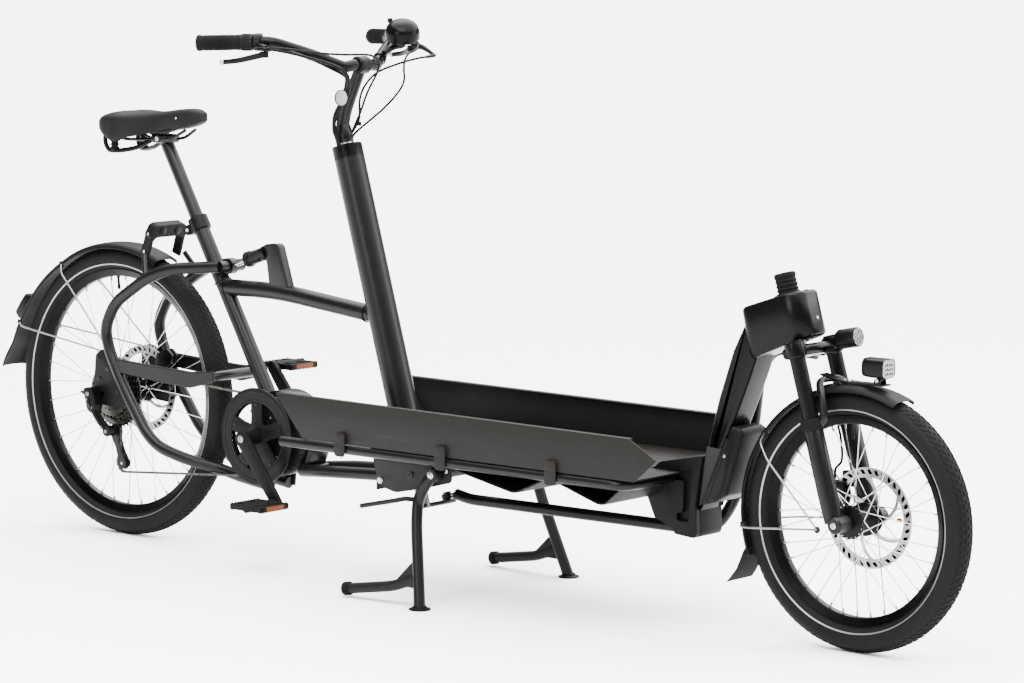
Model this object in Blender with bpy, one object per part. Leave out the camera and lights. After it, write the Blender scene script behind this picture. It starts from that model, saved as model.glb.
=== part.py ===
"""Electric cargo bike with a low front load bay, linked steering and sprung wheels.

Metres, +X forward, +Y to the rider's left, +Z up, ground at zero. Points are counted
from the point of the ground under the rear axle; the root empty then moves the whole
bike so that its origin is the middle of its footprint.
"""

import math

import bmesh
import bpy
from mathutils import Matrix, Vector

# Main dimensions
WHEELBASE = 2.087
REAR_TYRE_RADIUS = 0.3395
FRONT_TYRE_RADIUS = 0.2634
MUDFLAP_REACH = 0.415
TYRE_SECTION = 0.029
REAR_BEAD_RADIUS = 0.2795
FRONT_BEAD_RADIUS = 0.203
RIM_DEPTH = 0.0105
REAR_SIDES = 36
FRONT_SIDES = 32
REAR_X = -(WHEELBASE + FRONT_TYRE_RADIUS - MUDFLAP_REACH) / 2

# Steering
STEERING_TILT = math.radians(16.2)
COLUMN_TOP = Vector((0.7107, 0.0, 0.945))
COLUMN_LENGTH = 0.7393
COLUMN_RADIUS = 0.0335
COLUMN_BORE = 0.0295
SHAFT_RADIUS = 0.014
HEAD = Vector((1.905, 0.0, 0.728))
ARM_LENGTH = 0.08
ARM_DEPTH = 0.7987
ROD_RADIUS = 0.0125
ROD_FRONT_DEPTH = 0.1525
BAR_RADIUS = 0.0127
GRIP_RADIUS = 0.017
CABLE_RADIUS = 0.004
BELL_STALK_RADIUS = 0.006
BELL_CENTRE = Vector((0.757, 0.135, 1.174))
BAR_MIDDLE = Vector((0.755, 0.0, 1.122))

# Fork
LEG_SIDE = 0.062
LEG_FORWARD = 0.032
STANCHION_RADIUS = 0.016
LOWER_RADIUS = 0.020
LOWERS_TOP = 0.283
CROWN_BOTTOM = 0.158
ROTOR_RADIUS = 0.1015
STEERER_RADIUS = 0.0134
FRONT_AXLE_RADIUS = 0.0065
REAR_AXLE_RADIUS = 0.0060
HUB_END_RADIUS = 0.0120
CASSETTE_BODY_RADIUS = 0.0160
UPPER_LIGHT_PIVOT = Vector((2.004, 0.030, 0.592))
LOWER_LIGHT_PIVOT = Vector((2.135, 0.0, 0.5465))

# Drive
CRANK_AXLE = Vector((0.483, 0.0, 0.283))
CRANK_LENGTH = 0.170
CRANK_ANGLE = math.atan2(-0.135, 0.105)
CHAIN_LINE = -0.050
CHAINRING_RADIUS = 0.089
GUARD_RADIUS = 0.110
COG_RADIUS = 0.060
MOTOR_CENTRE = Vector((0.525, 0.0, 0.283))
MOTOR_RADIUS = 0.088
MOTOR_HALF_WIDTH = 0.0375
MOTOR_EDGE = 0.008
CRADLE_GAP = 0.002
CRADLE_DEPTH = 0.014
SPINDLE_RADIUS = 0.0119
BOSS_RADIUS = 0.030
LOWER_PULLEY = Vector((0.042, CHAIN_LINE, 0.178))
UPPER_PULLEY = Vector((0.012, CHAIN_LINE, 0.252))

# Frame
SEAT_TUBE_TOP = Vector((0.2400, 0.0, 0.7606))
SEAT_TUBE_RADIUS = 0.018
POST_RADIUS = 0.0155
LOWER_TUBE_SIDE = 0.050
SWINGARM_SIDE = 0.085
RAIL_SIDE = 0.199
RAIL_RADIUS = 0.011
RAIL_HEIGHT = 0.310
WALL_INNER = 0.2035
WALL_OUTER = 0.2065
STAND_PIVOT = Vector((1.130, 0.0, 0.278))
SHOCK_REAR = Vector((0.347, 0.0, 0.655))
SHOCK_WAY = Vector((0.952, 0.0, 0.3062))
SHOCK_LENGTH = 0.125
SHOCK_ROD_RADIUS = 0.007
SWING_BAR_RADIUS = 0.012
GAP = 0.0003
STAND_BAR_RADIUS = 0.012
STAND_LEG_RADIUS = 0.0125

UP = Vector((-math.sin(STEERING_TILT), 0.0, math.cos(STEERING_TILT)))
FORWARD = Vector((math.cos(STEERING_TILT), 0.0, math.sin(STEERING_TILT)))
LEFT = Vector((0.0, 1.0, 0.0))
SEAT_UP = Vector((-0.5, 0.0, math.sqrt(0.75)))
REAR_AXLE = Vector((0.0, 0.0, REAR_TYRE_RADIUS))
FRONT_AXLE = Vector((WHEELBASE, 0.0, FRONT_TYRE_RADIUS))

# Colours: base colour, metallic, roughness
FRAME_BLACK = ((0.018, 0.018, 0.018), 0.0, 0.42)
WARM_GREY = ((0.060, 0.056, 0.049), 0.0, 0.62)
GLOSS_BLACK = ((0.010, 0.010, 0.010), 0.0, 0.12)
PLASTIC_BLACK = ((0.016, 0.016, 0.016), 0.0, 0.55)
RUBBER_BLACK = ((0.012, 0.012, 0.012), 0.0, 0.85)
BATTERY_GREY = ((0.150, 0.150, 0.150), 0.0, 0.45)
STEEL = ((0.560, 0.560, 0.560), 1.0, 0.30)
DARK_STEEL = ((0.120, 0.120, 0.120), 1.0, 0.35)
SADDLE_BLACK = ((0.014, 0.014, 0.014), 0.0, 0.70)

BODIES = {}


def column_point(height, forward=0.0, side=0.0):
    """Point counted from the top of the steering column, along its axis."""
    return COLUMN_TOP + UP * height + FORWARD * forward + LEFT * side


def head_point(height, forward=0.0, side=0.0):
    """Point counted from the fork head, along the fork's steering axis."""
    return HEAD + UP * height + FORWARD * forward + LEFT * side


def on_side(point, side):
    """The same point at another distance to the left."""
    return Vector((point[0], side, point[-1]))


def clear_scene():
    for old in list(bpy.data.objects):
        bpy.data.objects.remove(old, do_unlink=True)


def solid(vertices, faces):
    """Object from points and faces, with its faces turned outwards."""
    mesh = bpy.data.meshes.new("shape")
    mesh.from_pydata([tuple(point) for point in vertices], [], faces)
    work = bmesh.new()
    work.from_mesh(mesh)
    bmesh.ops.recalc_face_normals(work, faces=work.faces)
    work.to_mesh(mesh)
    work.free()
    shape = bpy.data.objects.new("shape", mesh)
    bpy.context.scene.collection.objects.link(shape)
    return shape


def skin(rings, closed=False):
    """Object whose surface joins rings of equally many points."""
    count = len(rings[0])
    vertices = [point for ring in rings for point in ring]
    faces = []
    pairs = len(rings) if closed else len(rings) - 1
    for row in range(pairs):
        low = row * count
        high = (row + 1) % len(rings) * count
        for k in range(count):
            after = (k + 1) % count
            faces.append((low + k, low + after, high + after, high + k))
    if not closed:
        faces.append(tuple(range(count)))
        faces.append(tuple(range(len(vertices) - count, len(vertices))))
    return solid(vertices, faces)


def spline(points, per_span=4):
    """Smooth path through the points."""
    marks = [Vector(point) for point in points]
    marks = [marks[0] * 2 - marks[1]] + marks + [marks[-1] * 2 - marks[-2]]
    path = []
    for a, b, c, d in zip(marks, marks[1:], marks[2:], marks[3:]):
        for k in range(per_span):
            t = k / per_span
            path.append(0.5 * (2 * b + (c - a) * t + (2 * a - 5 * b + 4 * c - d) * t * t
                               + (3 * b - a - 3 * c + d) * t ** 3))
    path.append(marks[-2])
    return path


def rounded(points, radius, steps=3):
    """Polyline with its corners cut by curves that begin a radius before each corner."""
    marks = [Vector(point) for point in points]
    path = [marks[0]]
    for before, corner, after in zip(marks, marks[1:], marks[2:]):
        reach = min(radius, (before - corner).length * 0.49, (after - corner).length * 0.49)
        start = corner + (before - corner).normalized() * reach
        end = corner + (after - corner).normalized() * reach
        for k in range(steps + 1):
            t = k / steps
            path.append(start * (1 - t) ** 2 + corner * 2 * t * (1 - t) + end * t * t)
    path.append(marks[-1])
    return path


def tube(points, radius, sides=10, depth=1.0, upright=None):
    """Bar of round section along a path; depth flattens it across its upright."""
    path = [Vector(point) for point in points]
    radii = list(radius) if isinstance(radius, (list, tuple)) else [radius] * len(path)
    headings = []
    for k in range(len(path)):
        step = path[min(k + 1, len(path) - 1)] - path[max(k - 1, 0)]
        headings.append(step.normalized())
    normal = Vector(upright) if upright else headings[0].orthogonal()
    rings = []
    for point, heading, size in zip(path, headings, radii):
        normal = (normal - heading * normal.dot(heading)).normalized()
        across = heading.cross(normal)
        ring = []
        for k in range(sides):
            angle = 2 * math.pi * (k + 0.5) / sides
            ring.append(point + normal * size * math.cos(angle)
                        + across * size * depth * math.sin(angle))
        rings.append(ring)
    return skin(rings)


def turned(profile, origin, axis, sides=12):
    """Turned shape: (radius, height) points round an axis, a ring if it never meets it."""
    axis = Vector(axis).normalized()
    across = Vector((0.0, 1.0, 0.0)) if abs(axis.y) < 0.5 else Vector((1.0, 0.0, 0.0))
    across = (across - axis * across.dot(axis)).normalized()
    other = axis.cross(across)
    origin = Vector(origin)
    solid_core = profile[0][0] < 1e-9
    rows = profile[1:-1] if solid_core else profile
    vertices = []
    for radius, height in rows:
        for k in range(sides):
            angle = 2 * math.pi * k / sides
            vertices.append(origin + axis * height + across * radius * math.cos(angle)
                            + other * radius * math.sin(angle))
    faces = []
    pairs = len(rows) - 1 if solid_core else len(rows)
    for row in range(pairs):
        low = row * sides
        high = (row + 1) % len(rows) * sides
        for k in range(sides):
            after = (k + 1) % sides
            faces.append((low + k, low + after, high + after, high + k))
    if solid_core:
        faces.append(tuple(range(sides)))
        faces.append(tuple(range(len(vertices) - sides, len(vertices))))
    return solid(vertices, faces)


def rod(start, end, radius, sides=12):
    """Straight round bar between two points."""
    start = Vector(start)
    axis = Vector(end) - start
    length = axis.length
    profile = [(0, 0), (radius, 0), (radius, length), (0, length)]
    return turned(profile, start, axis, sides)


def sleeve(start, end, outer, inner, sides=12):
    """Straight tube with a bore between two points."""
    start = Vector(start)
    axis = Vector(end) - start
    length = axis.length
    profile = [(inner, 0), (outer, 0), (outer, length), (inner, length)]
    return turned(profile, start, axis, sides)


def box(centre, size, tilt=0.0, turn=0.0, roll=0.0):
    """Block, tilted nose up about Y, turned about Z and rolled about X, in degrees."""
    turning = (Matrix.Rotation(math.radians(turn), 3, "Z")
               @ Matrix.Rotation(math.radians(-tilt), 3, "Y")
               @ Matrix.Rotation(math.radians(roll), 3, "X"))
    corners = []
    for x in (-0.5, 0.5):
        for y in (-0.5, 0.5):
            for z in (-0.5, 0.5):
                local = Vector((x * size[0], y * size[1], z * size[2]))
                corners.append(Vector(centre) + turning @ local)
    faces = [(0, 1, 3, 2), (4, 6, 7, 5), (0, 4, 5, 1), (2, 3, 7, 6), (0, 2, 6, 4), (1, 5, 7, 3)]
    return solid(corners, faces)


def inset(outline, distance):
    """Outline moved inwards by a distance."""
    marks = [Vector((point[0], point[1])) for point in outline]
    area = sum(a.x * b.y - b.x * a.y for a, b in zip(marks, marks[1:] + marks[:1]))
    turn = 1.0 if area > 0 else -1.0
    moved = []
    for before, here, after in zip(marks[-1:] + marks[:-1], marks, marks[1:] + marks[:1]):
        first = (here - before).normalized()
        second = (after - here).normalized()
        inward = Vector((-first.y - second.y, first.x + second.x)) * turn
        inward.normalize()
        lean = max(0.4, inward.dot(Vector((-first.y, first.x)) * turn))
        moved.append(here + inward * (distance / lean))
    return moved


def plate(outline, low, high, chamfer=0.0):
    """Outline of (x, z) points made solid between two distances to the left."""
    if chamfer == 0.0:
        layers = [(outline, low), (outline, high)]
    else:
        small = inset(outline, chamfer)
        layers = [(small, low), (outline, low + chamfer),
                  (outline, high - chamfer), (small, high)]
    rings = [[Vector((point[0], side, point[1])) for point in shape] for shape, side in layers]
    return skin(rings)


def side_plate(hand, outline, near, far):
    """Plate on the left (1) or right (-1), between two distances from the middle."""
    low, high = sorted((near * hand, far * hand))
    return plate(outline, low, high)


def clear(radius, sides=12):
    """Radius of a faceted bore whose flats leave a round bar its running gap."""
    return (radius + GAP) / math.cos(math.pi / sides)


def circle(centre, radius, count=24, start=0.0, stop=360.0):
    """Outline points (x, z) on an arc, in degrees from +X towards +Z."""
    points = []
    whole = abs(stop - start) >= 360.0
    last = count if whole else count - 1
    for k in range(count):
        angle = math.radians(start + (stop - start) * k / last)
        points.append((centre[0] + radius * math.cos(angle),
                       centre[-1] + radius * math.sin(angle)))
    return points


def fused(parts, cuts=()):
    """One object: the union of the parts without the cuts."""
    base = parts[0]
    for operation, tools in (("UNION", parts[1:]), ("DIFFERENCE", cuts)):
        for tool in tools:
            step = base.modifiers.new(operation.title(), "BOOLEAN")
            step.operation = operation
            step.solver = "EXACT"
            step.object = tool
    bpy.context.view_layer.update()
    graph = bpy.context.evaluated_depsgraph_get()
    mesh = bpy.data.meshes.new_from_object(base.evaluated_get(graph))
    work = bmesh.new()
    work.from_mesh(mesh)
    bmesh.ops.remove_doubles(work, verts=work.verts, dist=0.00002)
    bmesh.ops.dissolve_degenerate(work, dist=0.00002, edges=work.edges)
    stray = [edge for edge in work.edges if edge.is_wire]
    bmesh.ops.delete(work, geom=stray, context="EDGES")
    work.to_mesh(mesh)
    work.free()
    for used in list(parts) + list(cuts):
        bpy.data.objects.remove(used, do_unlink=True)
    result = bpy.data.objects.new("shape", mesh)
    bpy.context.scene.collection.objects.link(result)
    return result


def body(name, pivot=(0.0, 0.0, 0.0), parent=None):
    """Empty on a joint's axis, carrying the pieces that move together."""
    empty = bpy.data.objects.new(name + "_axis", None)
    empty.empty_display_size = 0.05
    bpy.context.scene.collection.objects.link(empty)
    pivot = Vector(pivot)
    if parent is None:
        empty.location = pivot
    else:
        carrier, origin = BODIES[parent]
        empty.parent = carrier
        empty.location = pivot - origin
    BODIES[name] = (empty, pivot)


def piece(name, owner, colour, shape):
    """Name a shape, hang it on its body and give it a material."""
    empty, pivot = BODIES[owner]
    shape.name = name
    shape.data.name = name
    shape.data.transform(Matrix.Translation(-pivot))
    shape.parent = empty
    shape.data.shade_smooth()
    shape.data.set_sharp_from_angle(angle=math.radians(32))
    base, metallic, roughness = colour
    surface = bpy.data.materials.new(name)
    surface.use_nodes = True
    shader = surface.node_tree.nodes["Principled BSDF"]
    shader.inputs["Base Color"].default_value = (*base, 1.0)
    shader.inputs["Metallic"].default_value = metallic
    shader.inputs["Roughness"].default_value = roughness
    shape.data.materials.clear()
    shape.data.materials.append(surface)
    return shape


def make_bodies():
    """One empty for each body, on its joint's axis, in the order of the joints."""
    body("frame")
    BODIES["frame"][0].location = (REAR_X, 0.0, 0.0)
    body("column", COLUMN_TOP, "frame")
    body("rod", column_point(-ARM_DEPTH, 0.0, ARM_LENGTH), "column")
    body("fork", HEAD, "frame")
    body("fork_lower", FRONT_AXLE, "fork")
    body("front_wheel", FRONT_AXLE, "fork_lower")
    body("headlight_upper", UPPER_LIGHT_PIVOT, "fork")
    body("headlight_lower", LOWER_LIGHT_PIVOT, "fork_lower")
    body("swingarm", CRANK_AXLE, "frame")
    body("shock_rod", SHOCK_REAR, "swingarm")
    body("rear_wheel", REAR_AXLE, "swingarm")
    body("cassette", REAR_AXLE, "swingarm")
    body("crank", CRANK_AXLE, "frame")
    body("pedal_right", crank_end(-1), "crank")
    body("pedal_left", crank_end(1), "crank")
    body("stand", STAND_PIVOT, "frame")
    body("seat", SEAT_TUBE_TOP, "frame")
    body("twist_shifter", bar_point(-1, 0.115), "column")
    body("bell_knob", BELL_CENTRE, "column")
    body("brake_lever_right", lever_pivot(-1), "column")
    body("brake_lever_left", lever_pivot(1), "column")


# Frame


def build_rear_frame():
    inner = MOTOR_RADIUS + CRADLE_GAP
    cradle = plate(circle(MOTOR_CENTRE, inner + CRADLE_DEPTH, 12, -50, 152)
                   + circle(MOTOR_CENTRE, inner, 12, 152, -50), -0.030, 0.030)
    seat_tube = rod(SEAT_TUBE_TOP - SEAT_UP * 0.455, SEAT_TUBE_TOP, SEAT_TUBE_RADIUS)
    top_tube = tube(rounded([(0.33, 0, 0.606), (0.50, 0, 0.608), (0.806, 0, 0.575)], 0.08, 2),
                    0.019)
    housing = rod(column_point(-COLUMN_LENGTH), column_point(0), COLUMN_RADIUS, 16)
    foot = box((0.905, 0, 0.245), (0.075, 0.104, 0.026))
    shock_end = SHOCK_REAR + SHOCK_WAY * (SHOCK_LENGTH + GAP)
    rise = Vector((-SHOCK_WAY.z, 0.0, SHOCK_WAY.x)) * 0.020
    lug = plate([(0.482, 0.600), (0.545, 0.600), (0.508, 0.7165)]
                + [(mark.x, mark.z) for mark in (shock_end + rise, shock_end - rise)],
                -0.011, 0.011)
    bridge = box((0.612, 0, 0.215), (0.026, 0.088, 0.024))
    parts = [cradle, seat_tube, top_tube, housing, foot, lug, bridge]
    for hand in (-1, 1):
        path = [(0.604, 0.037, 0.2155), (0.68, LOWER_TUBE_SIDE, 0.223),
                (0.83, LOWER_TUBE_SIDE, 0.232), (0.9475, LOWER_TUBE_SIDE, 0.238)]
        parts.append(tube([(x, y * hand, z) for x, y, z in path], 0.0135, 8))
    bore = turned([(0, -0.80), (clear(SHAFT_RADIUS), -0.80), (clear(SHAFT_RADIUS), -0.715),
                   (COLUMN_BORE, -0.715), (COLUMN_BORE, 0.02), (0, 0.02)], COLUMN_TOP, UP)
    post_hole = rod(SEAT_TUBE_TOP - SEAT_UP * 0.27, SEAT_TUBE_TOP + SEAT_UP * 0.02,
                    clear(POST_RADIUS))
    piece("rear_frame", "frame", FRAME_BLACK, fused(parts, [bore, post_hole]))


def build_cargo_frame():
    corners = [(0.70, -RAIL_SIDE, RAIL_HEIGHT), (1.655, -RAIL_SIDE, RAIL_HEIGHT),
               (1.655, RAIL_SIDE, RAIL_HEIGHT), (0.70, RAIL_SIDE, RAIL_HEIGHT)]
    parts = [tube(rounded(corners, 0.04, 3), RAIL_RADIUS, 8)]
    parts.append(box((0.896, 0, 0.3045), (0.132, 0.392, 0.012)))
    for low, tip, high in ((1.165, 1.358, 1.445), (1.462, 1.590, 1.640)):
        parts.append(plate([(low, 0.3005), (tip, 0.2640), (high, 0.3005), (high, 0.3040),
                            (tip, 0.2675), (low, 0.3040)], -0.1925, 0.1925))
    parts.append(plate([(1.575, 0.300), (1.611, 0.222), (1.659, 0.205), (1.662, 0.194),
                        (1.668, 0.190), (1.712, 0.190), (1.7175, 0.198), (1.7155, 0.258),
                        (1.7325, 0.362), (1.625, 0.340)], -0.045, 0.045, 0.004))
    hole = rod(column_point(-0.74), column_point(-0.58), clear(COLUMN_RADIUS, 16), 16)
    recess = plate([(1.668, 0.222), (1.700, 0.222), (1.708, 0.332), (1.650, 0.322),
                    (1.650, 0.306), (1.686, 0.306), (1.684, 0.240), (1.668, 0.240)],
                   -0.060, -0.031)
    piece("cargo_frame", "frame", FRAME_BLACK, fused(parts, [hole, recess]))


def build_front_frame():
    mast = plate([(1.7165, 0.243), (1.7235, 0.2570), (1.7770, 0.379), (1.8000, 0.431),
                  (1.8420, 0.530), (1.8700, 0.605), (1.8300, 0.640), (1.7990, 0.580),
                  (1.7640, 0.480), (1.7420, 0.400), (1.7337, 0.362), (1.7167, 0.258)],
                 -0.036, 0.036, 0.003)
    side = [(-0.0957, -0.0357), (-0.028, -0.029), (0.036, -0.029), (0.050, -0.034),
            (0.056, -0.046), (0.058, -0.104), (0.052, -0.114), (0.0, -0.1255),
            (-0.060, -0.134), (-0.105, -0.140)]
    outline = []
    for forward, height in side:
        point = head_point(height, forward)
        outline.append((point.x, point.z))
    head = plate(outline, -0.045, 0.045, 0.010)
    bore = rod(head_point(-0.16), head_point(-0.030), clear(STEERER_RADIUS))
    piece("front_frame", "frame", GLOSS_BLACK, fused([mast, head], [bore]))
    ribs = [(0, -0.0285), (0.0245, -0.0285), (0.0245, -0.0255), (0.0205, -0.0245)]
    for k in range(3):
        ribs += [(0.0222, -0.0180 + 0.008 * k), (0.0203, -0.0160 + 0.008 * k)]
    ribs += [(0.0218, 0.0110), (0.0190, 0.0145), (0, 0.0145)]
    piece("head_cap", "frame", RUBBER_BLACK, turned(ribs, HEAD, UP))


def build_bay():
    floor = box((1.3225, 0, 0.3230), (0.715, 2 * (WALL_INNER - GAP), 0.003))
    notch = box((1.650, 0, 0.323), (0.104, 0.0915, 0.02))
    piece("cargo_floor", "frame", WARM_GREY, fused([floor], [notch]))
    for name, hand in (("side_wall_right", -1), ("side_wall_left", 1)):
        parts = [side_plate(hand, [(0.687, 0.416), (1.672, 0.409), (1.742, 0.371), (1.686, 0.3225),
                             (0.768, 0.3225)], WALL_INNER, WALL_OUTER)]
        parts.append(side_plate(hand, [(0.690, 0.4158), (1.670, 0.4088), (1.670, 0.4058),
                                 (0.690, 0.4128)], 0.190, 0.205))
        parts.append(side_plate(hand, [(0.6875, 0.4158), (0.6925, 0.4158), (0.7735, 0.3227),
                                 (0.7685, 0.3227)], 0.188, 0.205))
        for start in (0.869, 1.156, 1.457):
            parts.append(side_plate(hand, [(start, 0.322), (start, 0.340), (start + 0.005, 0.346),
                                     (start + 0.025, 0.346), (start + 0.030, 0.340),
                                     (start + 0.030, 0.322)], 0.205, 0.2140))
            parts.append(side_plate(hand, [(start, 0.324), (start, 0.300), (start + 0.004, 0.295),
                                     (start + 0.026, 0.295), (start + 0.030, 0.300),
                                     (start + 0.030, 0.324)], 0.2110, 0.2140))
        piece(name, "frame", WARM_GREY, fused(parts))


def build_drive_unit():
    half = [(0, MOTOR_HALF_WIDTH), (MOTOR_RADIUS - MOTOR_EDGE, MOTOR_HALF_WIDTH),
            (MOTOR_RADIUS, MOTOR_HALF_WIDTH - MOTOR_EDGE)]
    housing = turned([(radius, -side) for radius, side in half] + half[::-1],
                     MOTOR_CENTRE, LEFT, 20)
    boss = rod(on_side(CRANK_AXLE, -0.0445), on_side(CRANK_AXLE, 0.0445), BOSS_RADIUS, 16)
    bore = rod(on_side(CRANK_AXLE, -0.06), on_side(CRANK_AXLE, 0.06), clear(SPINDLE_RADIUS))
    piece("drive_unit", "frame", PLASTIC_BLACK, fused([housing, boss], [bore]))


def build_battery():
    case = plate([(1.7245, 0.2590), (1.766, 0.270), (1.790, 0.285), (1.800, 0.318),
                  (1.8125, 0.362), (1.829, 0.412), (1.8250, 0.425), (1.8000, 0.4285),
                  (1.7785, 0.380)], -0.042, 0.042, 0.005)
    piece("battery", "frame", BATTERY_GREY, case)


def build_stand_bracket():
    outline = [(0.941, 0.298), (1.165, 0.298), (1.165, 0.262), (1.100, 0.245), (1.059, 0.236),
               (1.008, 0.225), (0.966, 0.234), (0.951, 0.262)]
    parts = [box((0.9525, 0, 0.2615), (0.0055, 0.338, 0.072))]
    parts.append(plate(outline, -0.171, -0.165))
    parts.append(plate(outline, 0.165, 0.171))
    parts.append(rod((1.052, -0.168, 0.268), (1.052, 0.168, 0.268), 0.011, 8))
    hole = rod(on_side(STAND_PIVOT, -0.2), on_side(STAND_PIVOT, 0.2), clear(STAND_BAR_RADIUS))
    piece("stand_bracket", "frame", WARM_GREY, fused(parts, [hole]))


def build_small_frame_parts():
    ring = sleeve(SEAT_TUBE_TOP - SEAT_UP * 0.034, SEAT_TUBE_TOP - SEAT_UP * 0.002,
                  0.0235, clear(SEAT_TUBE_RADIUS))
    ear = box((0.221, 0.0, 0.7300), (0.014, 0.026, 0.024), tilt=-30)
    lever = tube([(0.222, 0.010, 0.728), (0.214, 0.030, 0.724), (0.224, 0.050, 0.716)],
                 0.0045, 6)
    keep_out = rod(SEAT_TUBE_TOP - SEAT_UP * 0.06, SEAT_TUBE_TOP + SEAT_UP * 0.02,
                   clear(SEAT_TUBE_RADIUS))
    piece("seat_clamp", "frame", PLASTIC_BLACK, fused([ring, ear, lever], [keep_out]))
    piece("column_bearing", "frame", STEEL,
          sleeve(column_point(-0.100), column_point(-0.085), 0.0282, clear(SHAFT_RADIUS)))
    outer = turned([(0, 0.058), (0.0185, 0.058), (0.0185, 0.068), (0.0150, 0.072),
                    (0.0150, 0.110), (0.0175, 0.114), (0.0175, SHOCK_LENGTH), (0, SHOCK_LENGTH)],
                   SHOCK_REAR, SHOCK_WAY)
    bore = rod(SHOCK_REAR + SHOCK_WAY * 0.04, SHOCK_REAR + SHOCK_WAY * 0.118,
               clear(SHOCK_ROD_RADIUS + 0.0008))
    piece("shock_body", "frame", DARK_STEEL, fused([outer], [bore]))
    eye = sleeve((SHOCK_REAR.x, -0.010, SHOCK_REAR.z), (SHOCK_REAR.x, 0.010, SHOCK_REAR.z),
                 0.0185, clear(SWING_BAR_RADIUS))
    bar = rod(SHOCK_REAR + SHOCK_WAY * 0.016, SHOCK_REAR + SHOCK_WAY * 0.070, SHOCK_ROD_RADIUS)
    piece("shock_rod", "shock_rod", STEEL, fused([eye, bar]))


# Steering and cockpit


def bar_point(hand, distance):
    """Point on the grip's axis, counted inwards from the end of the handlebar."""
    inward = Vector((0.8764, -0.4808 * hand, 0.0233)).normalized()
    return Vector((0.531, 0.279 * hand, 1.172)) + inward * distance


def lever_pivot(hand):
    return Vector((0.690, 0.235 * hand, 1.150))


def build_steering_shaft():
    shaft = rod(column_point(-0.8140), column_point(0.040), SHAFT_RADIUS)
    arm = box(column_point(-0.8103, 0.0, 0.040), (0.026, 0.108, 0.010), tilt=16.2)
    pin = rod(column_point(-0.812, 0, ARM_LENGTH), column_point(-0.790, 0, ARM_LENGTH), 0.005)
    head = rod(column_point(-0.7922, 0, ARM_LENGTH), column_point(-0.7882, 0, ARM_LENGTH),
               0.0095)
    piece("steering_shaft", "column", STEEL, fused([shaft, arm, pin, head]))


def build_stem():
    low = rod(column_point(0.006), column_point(0.046), 0.0178)
    path = spline([column_point(0.040), (0.709, 0, 1.020), (0.729, 0, 1.065),
                   (0.7525, 0, 1.114)], 2)
    neck = tube(path, 0.0135, 10)
    clamp = rod((BAR_MIDDLE.x, -0.024, BAR_MIDDLE.z), (BAR_MIDDLE.x, 0.024, BAR_MIDDLE.z),
                0.021, 14)
    hole = rod(column_point(-0.01), column_point(0.0405), clear(SHAFT_RADIUS))
    seat = rod((BAR_MIDDLE.x, -0.04, BAR_MIDDLE.z), (BAR_MIDDLE.x, 0.04, BAR_MIDDLE.z),
               clear(BAR_RADIUS))
    piece("stem", "column", FRAME_BLACK, fused([low, neck, clamp], [hole, seat]))


def handlebar_path():
    right = [bar_point(-1, 0.002), bar_point(-1, 0.166), (0.716, -0.115, 1.147),
             (0.752, -0.050, 1.118), (0.755, -0.030, 1.122)]
    half = rounded(right, 0.016, 2)
    return half + [on_side(point, -point[1]) for point in reversed(half)]


def build_handlebar():
    piece("handlebar", "column", FRAME_BLACK, tube(handlebar_path(), BAR_RADIUS, 10))
    for name, hand, length in (("grip_right", -1, 0.098), ("grip_left", 1, 0.128)):
        outer = turned([(0, 0), (0.0165, 0), (GRIP_RADIUS + 0.001, 0.004),
                        (GRIP_RADIUS, 0.012), (0.0158, 0.5 * length), (GRIP_RADIUS, length),
                        (0, length)], bar_point(hand, 0), bar_point(hand, 1) - bar_point(hand, 0),
                       12)
        bore = rod(bar_point(hand, 0.0015), bar_point(hand, 0.15), clear(BAR_RADIUS))
        piece(name, "column", RUBBER_BLACK, fused([outer], [bore]))
    collar = sleeve(bar_point(-1, 0.0985), bar_point(-1, 0.1285), 0.0190, clear(BAR_RADIUS))
    piece("twist_shifter", "twist_shifter", PLASTIC_BLACK, collar)


def build_brakes():
    for side, hand in (("right", -1), ("left", 1)):
        pivot = lever_pivot(hand)
        ring = sleeve(bar_point(hand, 0.1295), bar_point(hand, 0.1455), 0.0195,
                      clear(BAR_RADIUS))
        arm = tube([bar_point(hand, 0.138) + Vector((0.010, 0.012 * hand, -0.008)),
                    pivot + Vector((-0.004, 0, 0.015)), pivot + Vector((0.006, 0, 0.013))],
                   0.0065, 6)
        plate_over = box(pivot + Vector((0, 0, 0.0115)), (0.026, 0.024, 0.008))
        keep_out = rod(bar_point(hand, 0.10), bar_point(hand, 0.16), clear(BAR_RADIUS))
        piece("brake_clamp_" + side, "column", PLASTIC_BLACK,
              fused([ring, arm, plate_over], [keep_out]))
        tip = Vector((0.598, 0.270 * hand, 1.132))
        bend = Vector((0.640, 0.262 * hand, 1.137))
        blade = tube(spline([pivot, bend, tip], 2), [0.0072, 0.0066, 0.0060, 0.0056, 0.0060], 8)
        hub = rod(pivot - Vector((0, 0, 0.007)), pivot + Vector((0, 0, 0.0065)), 0.010, 12)
        piece("brake_lever_" + side, "brake_lever_" + side, DARK_STEEL, fused([hub, blade]))


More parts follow.
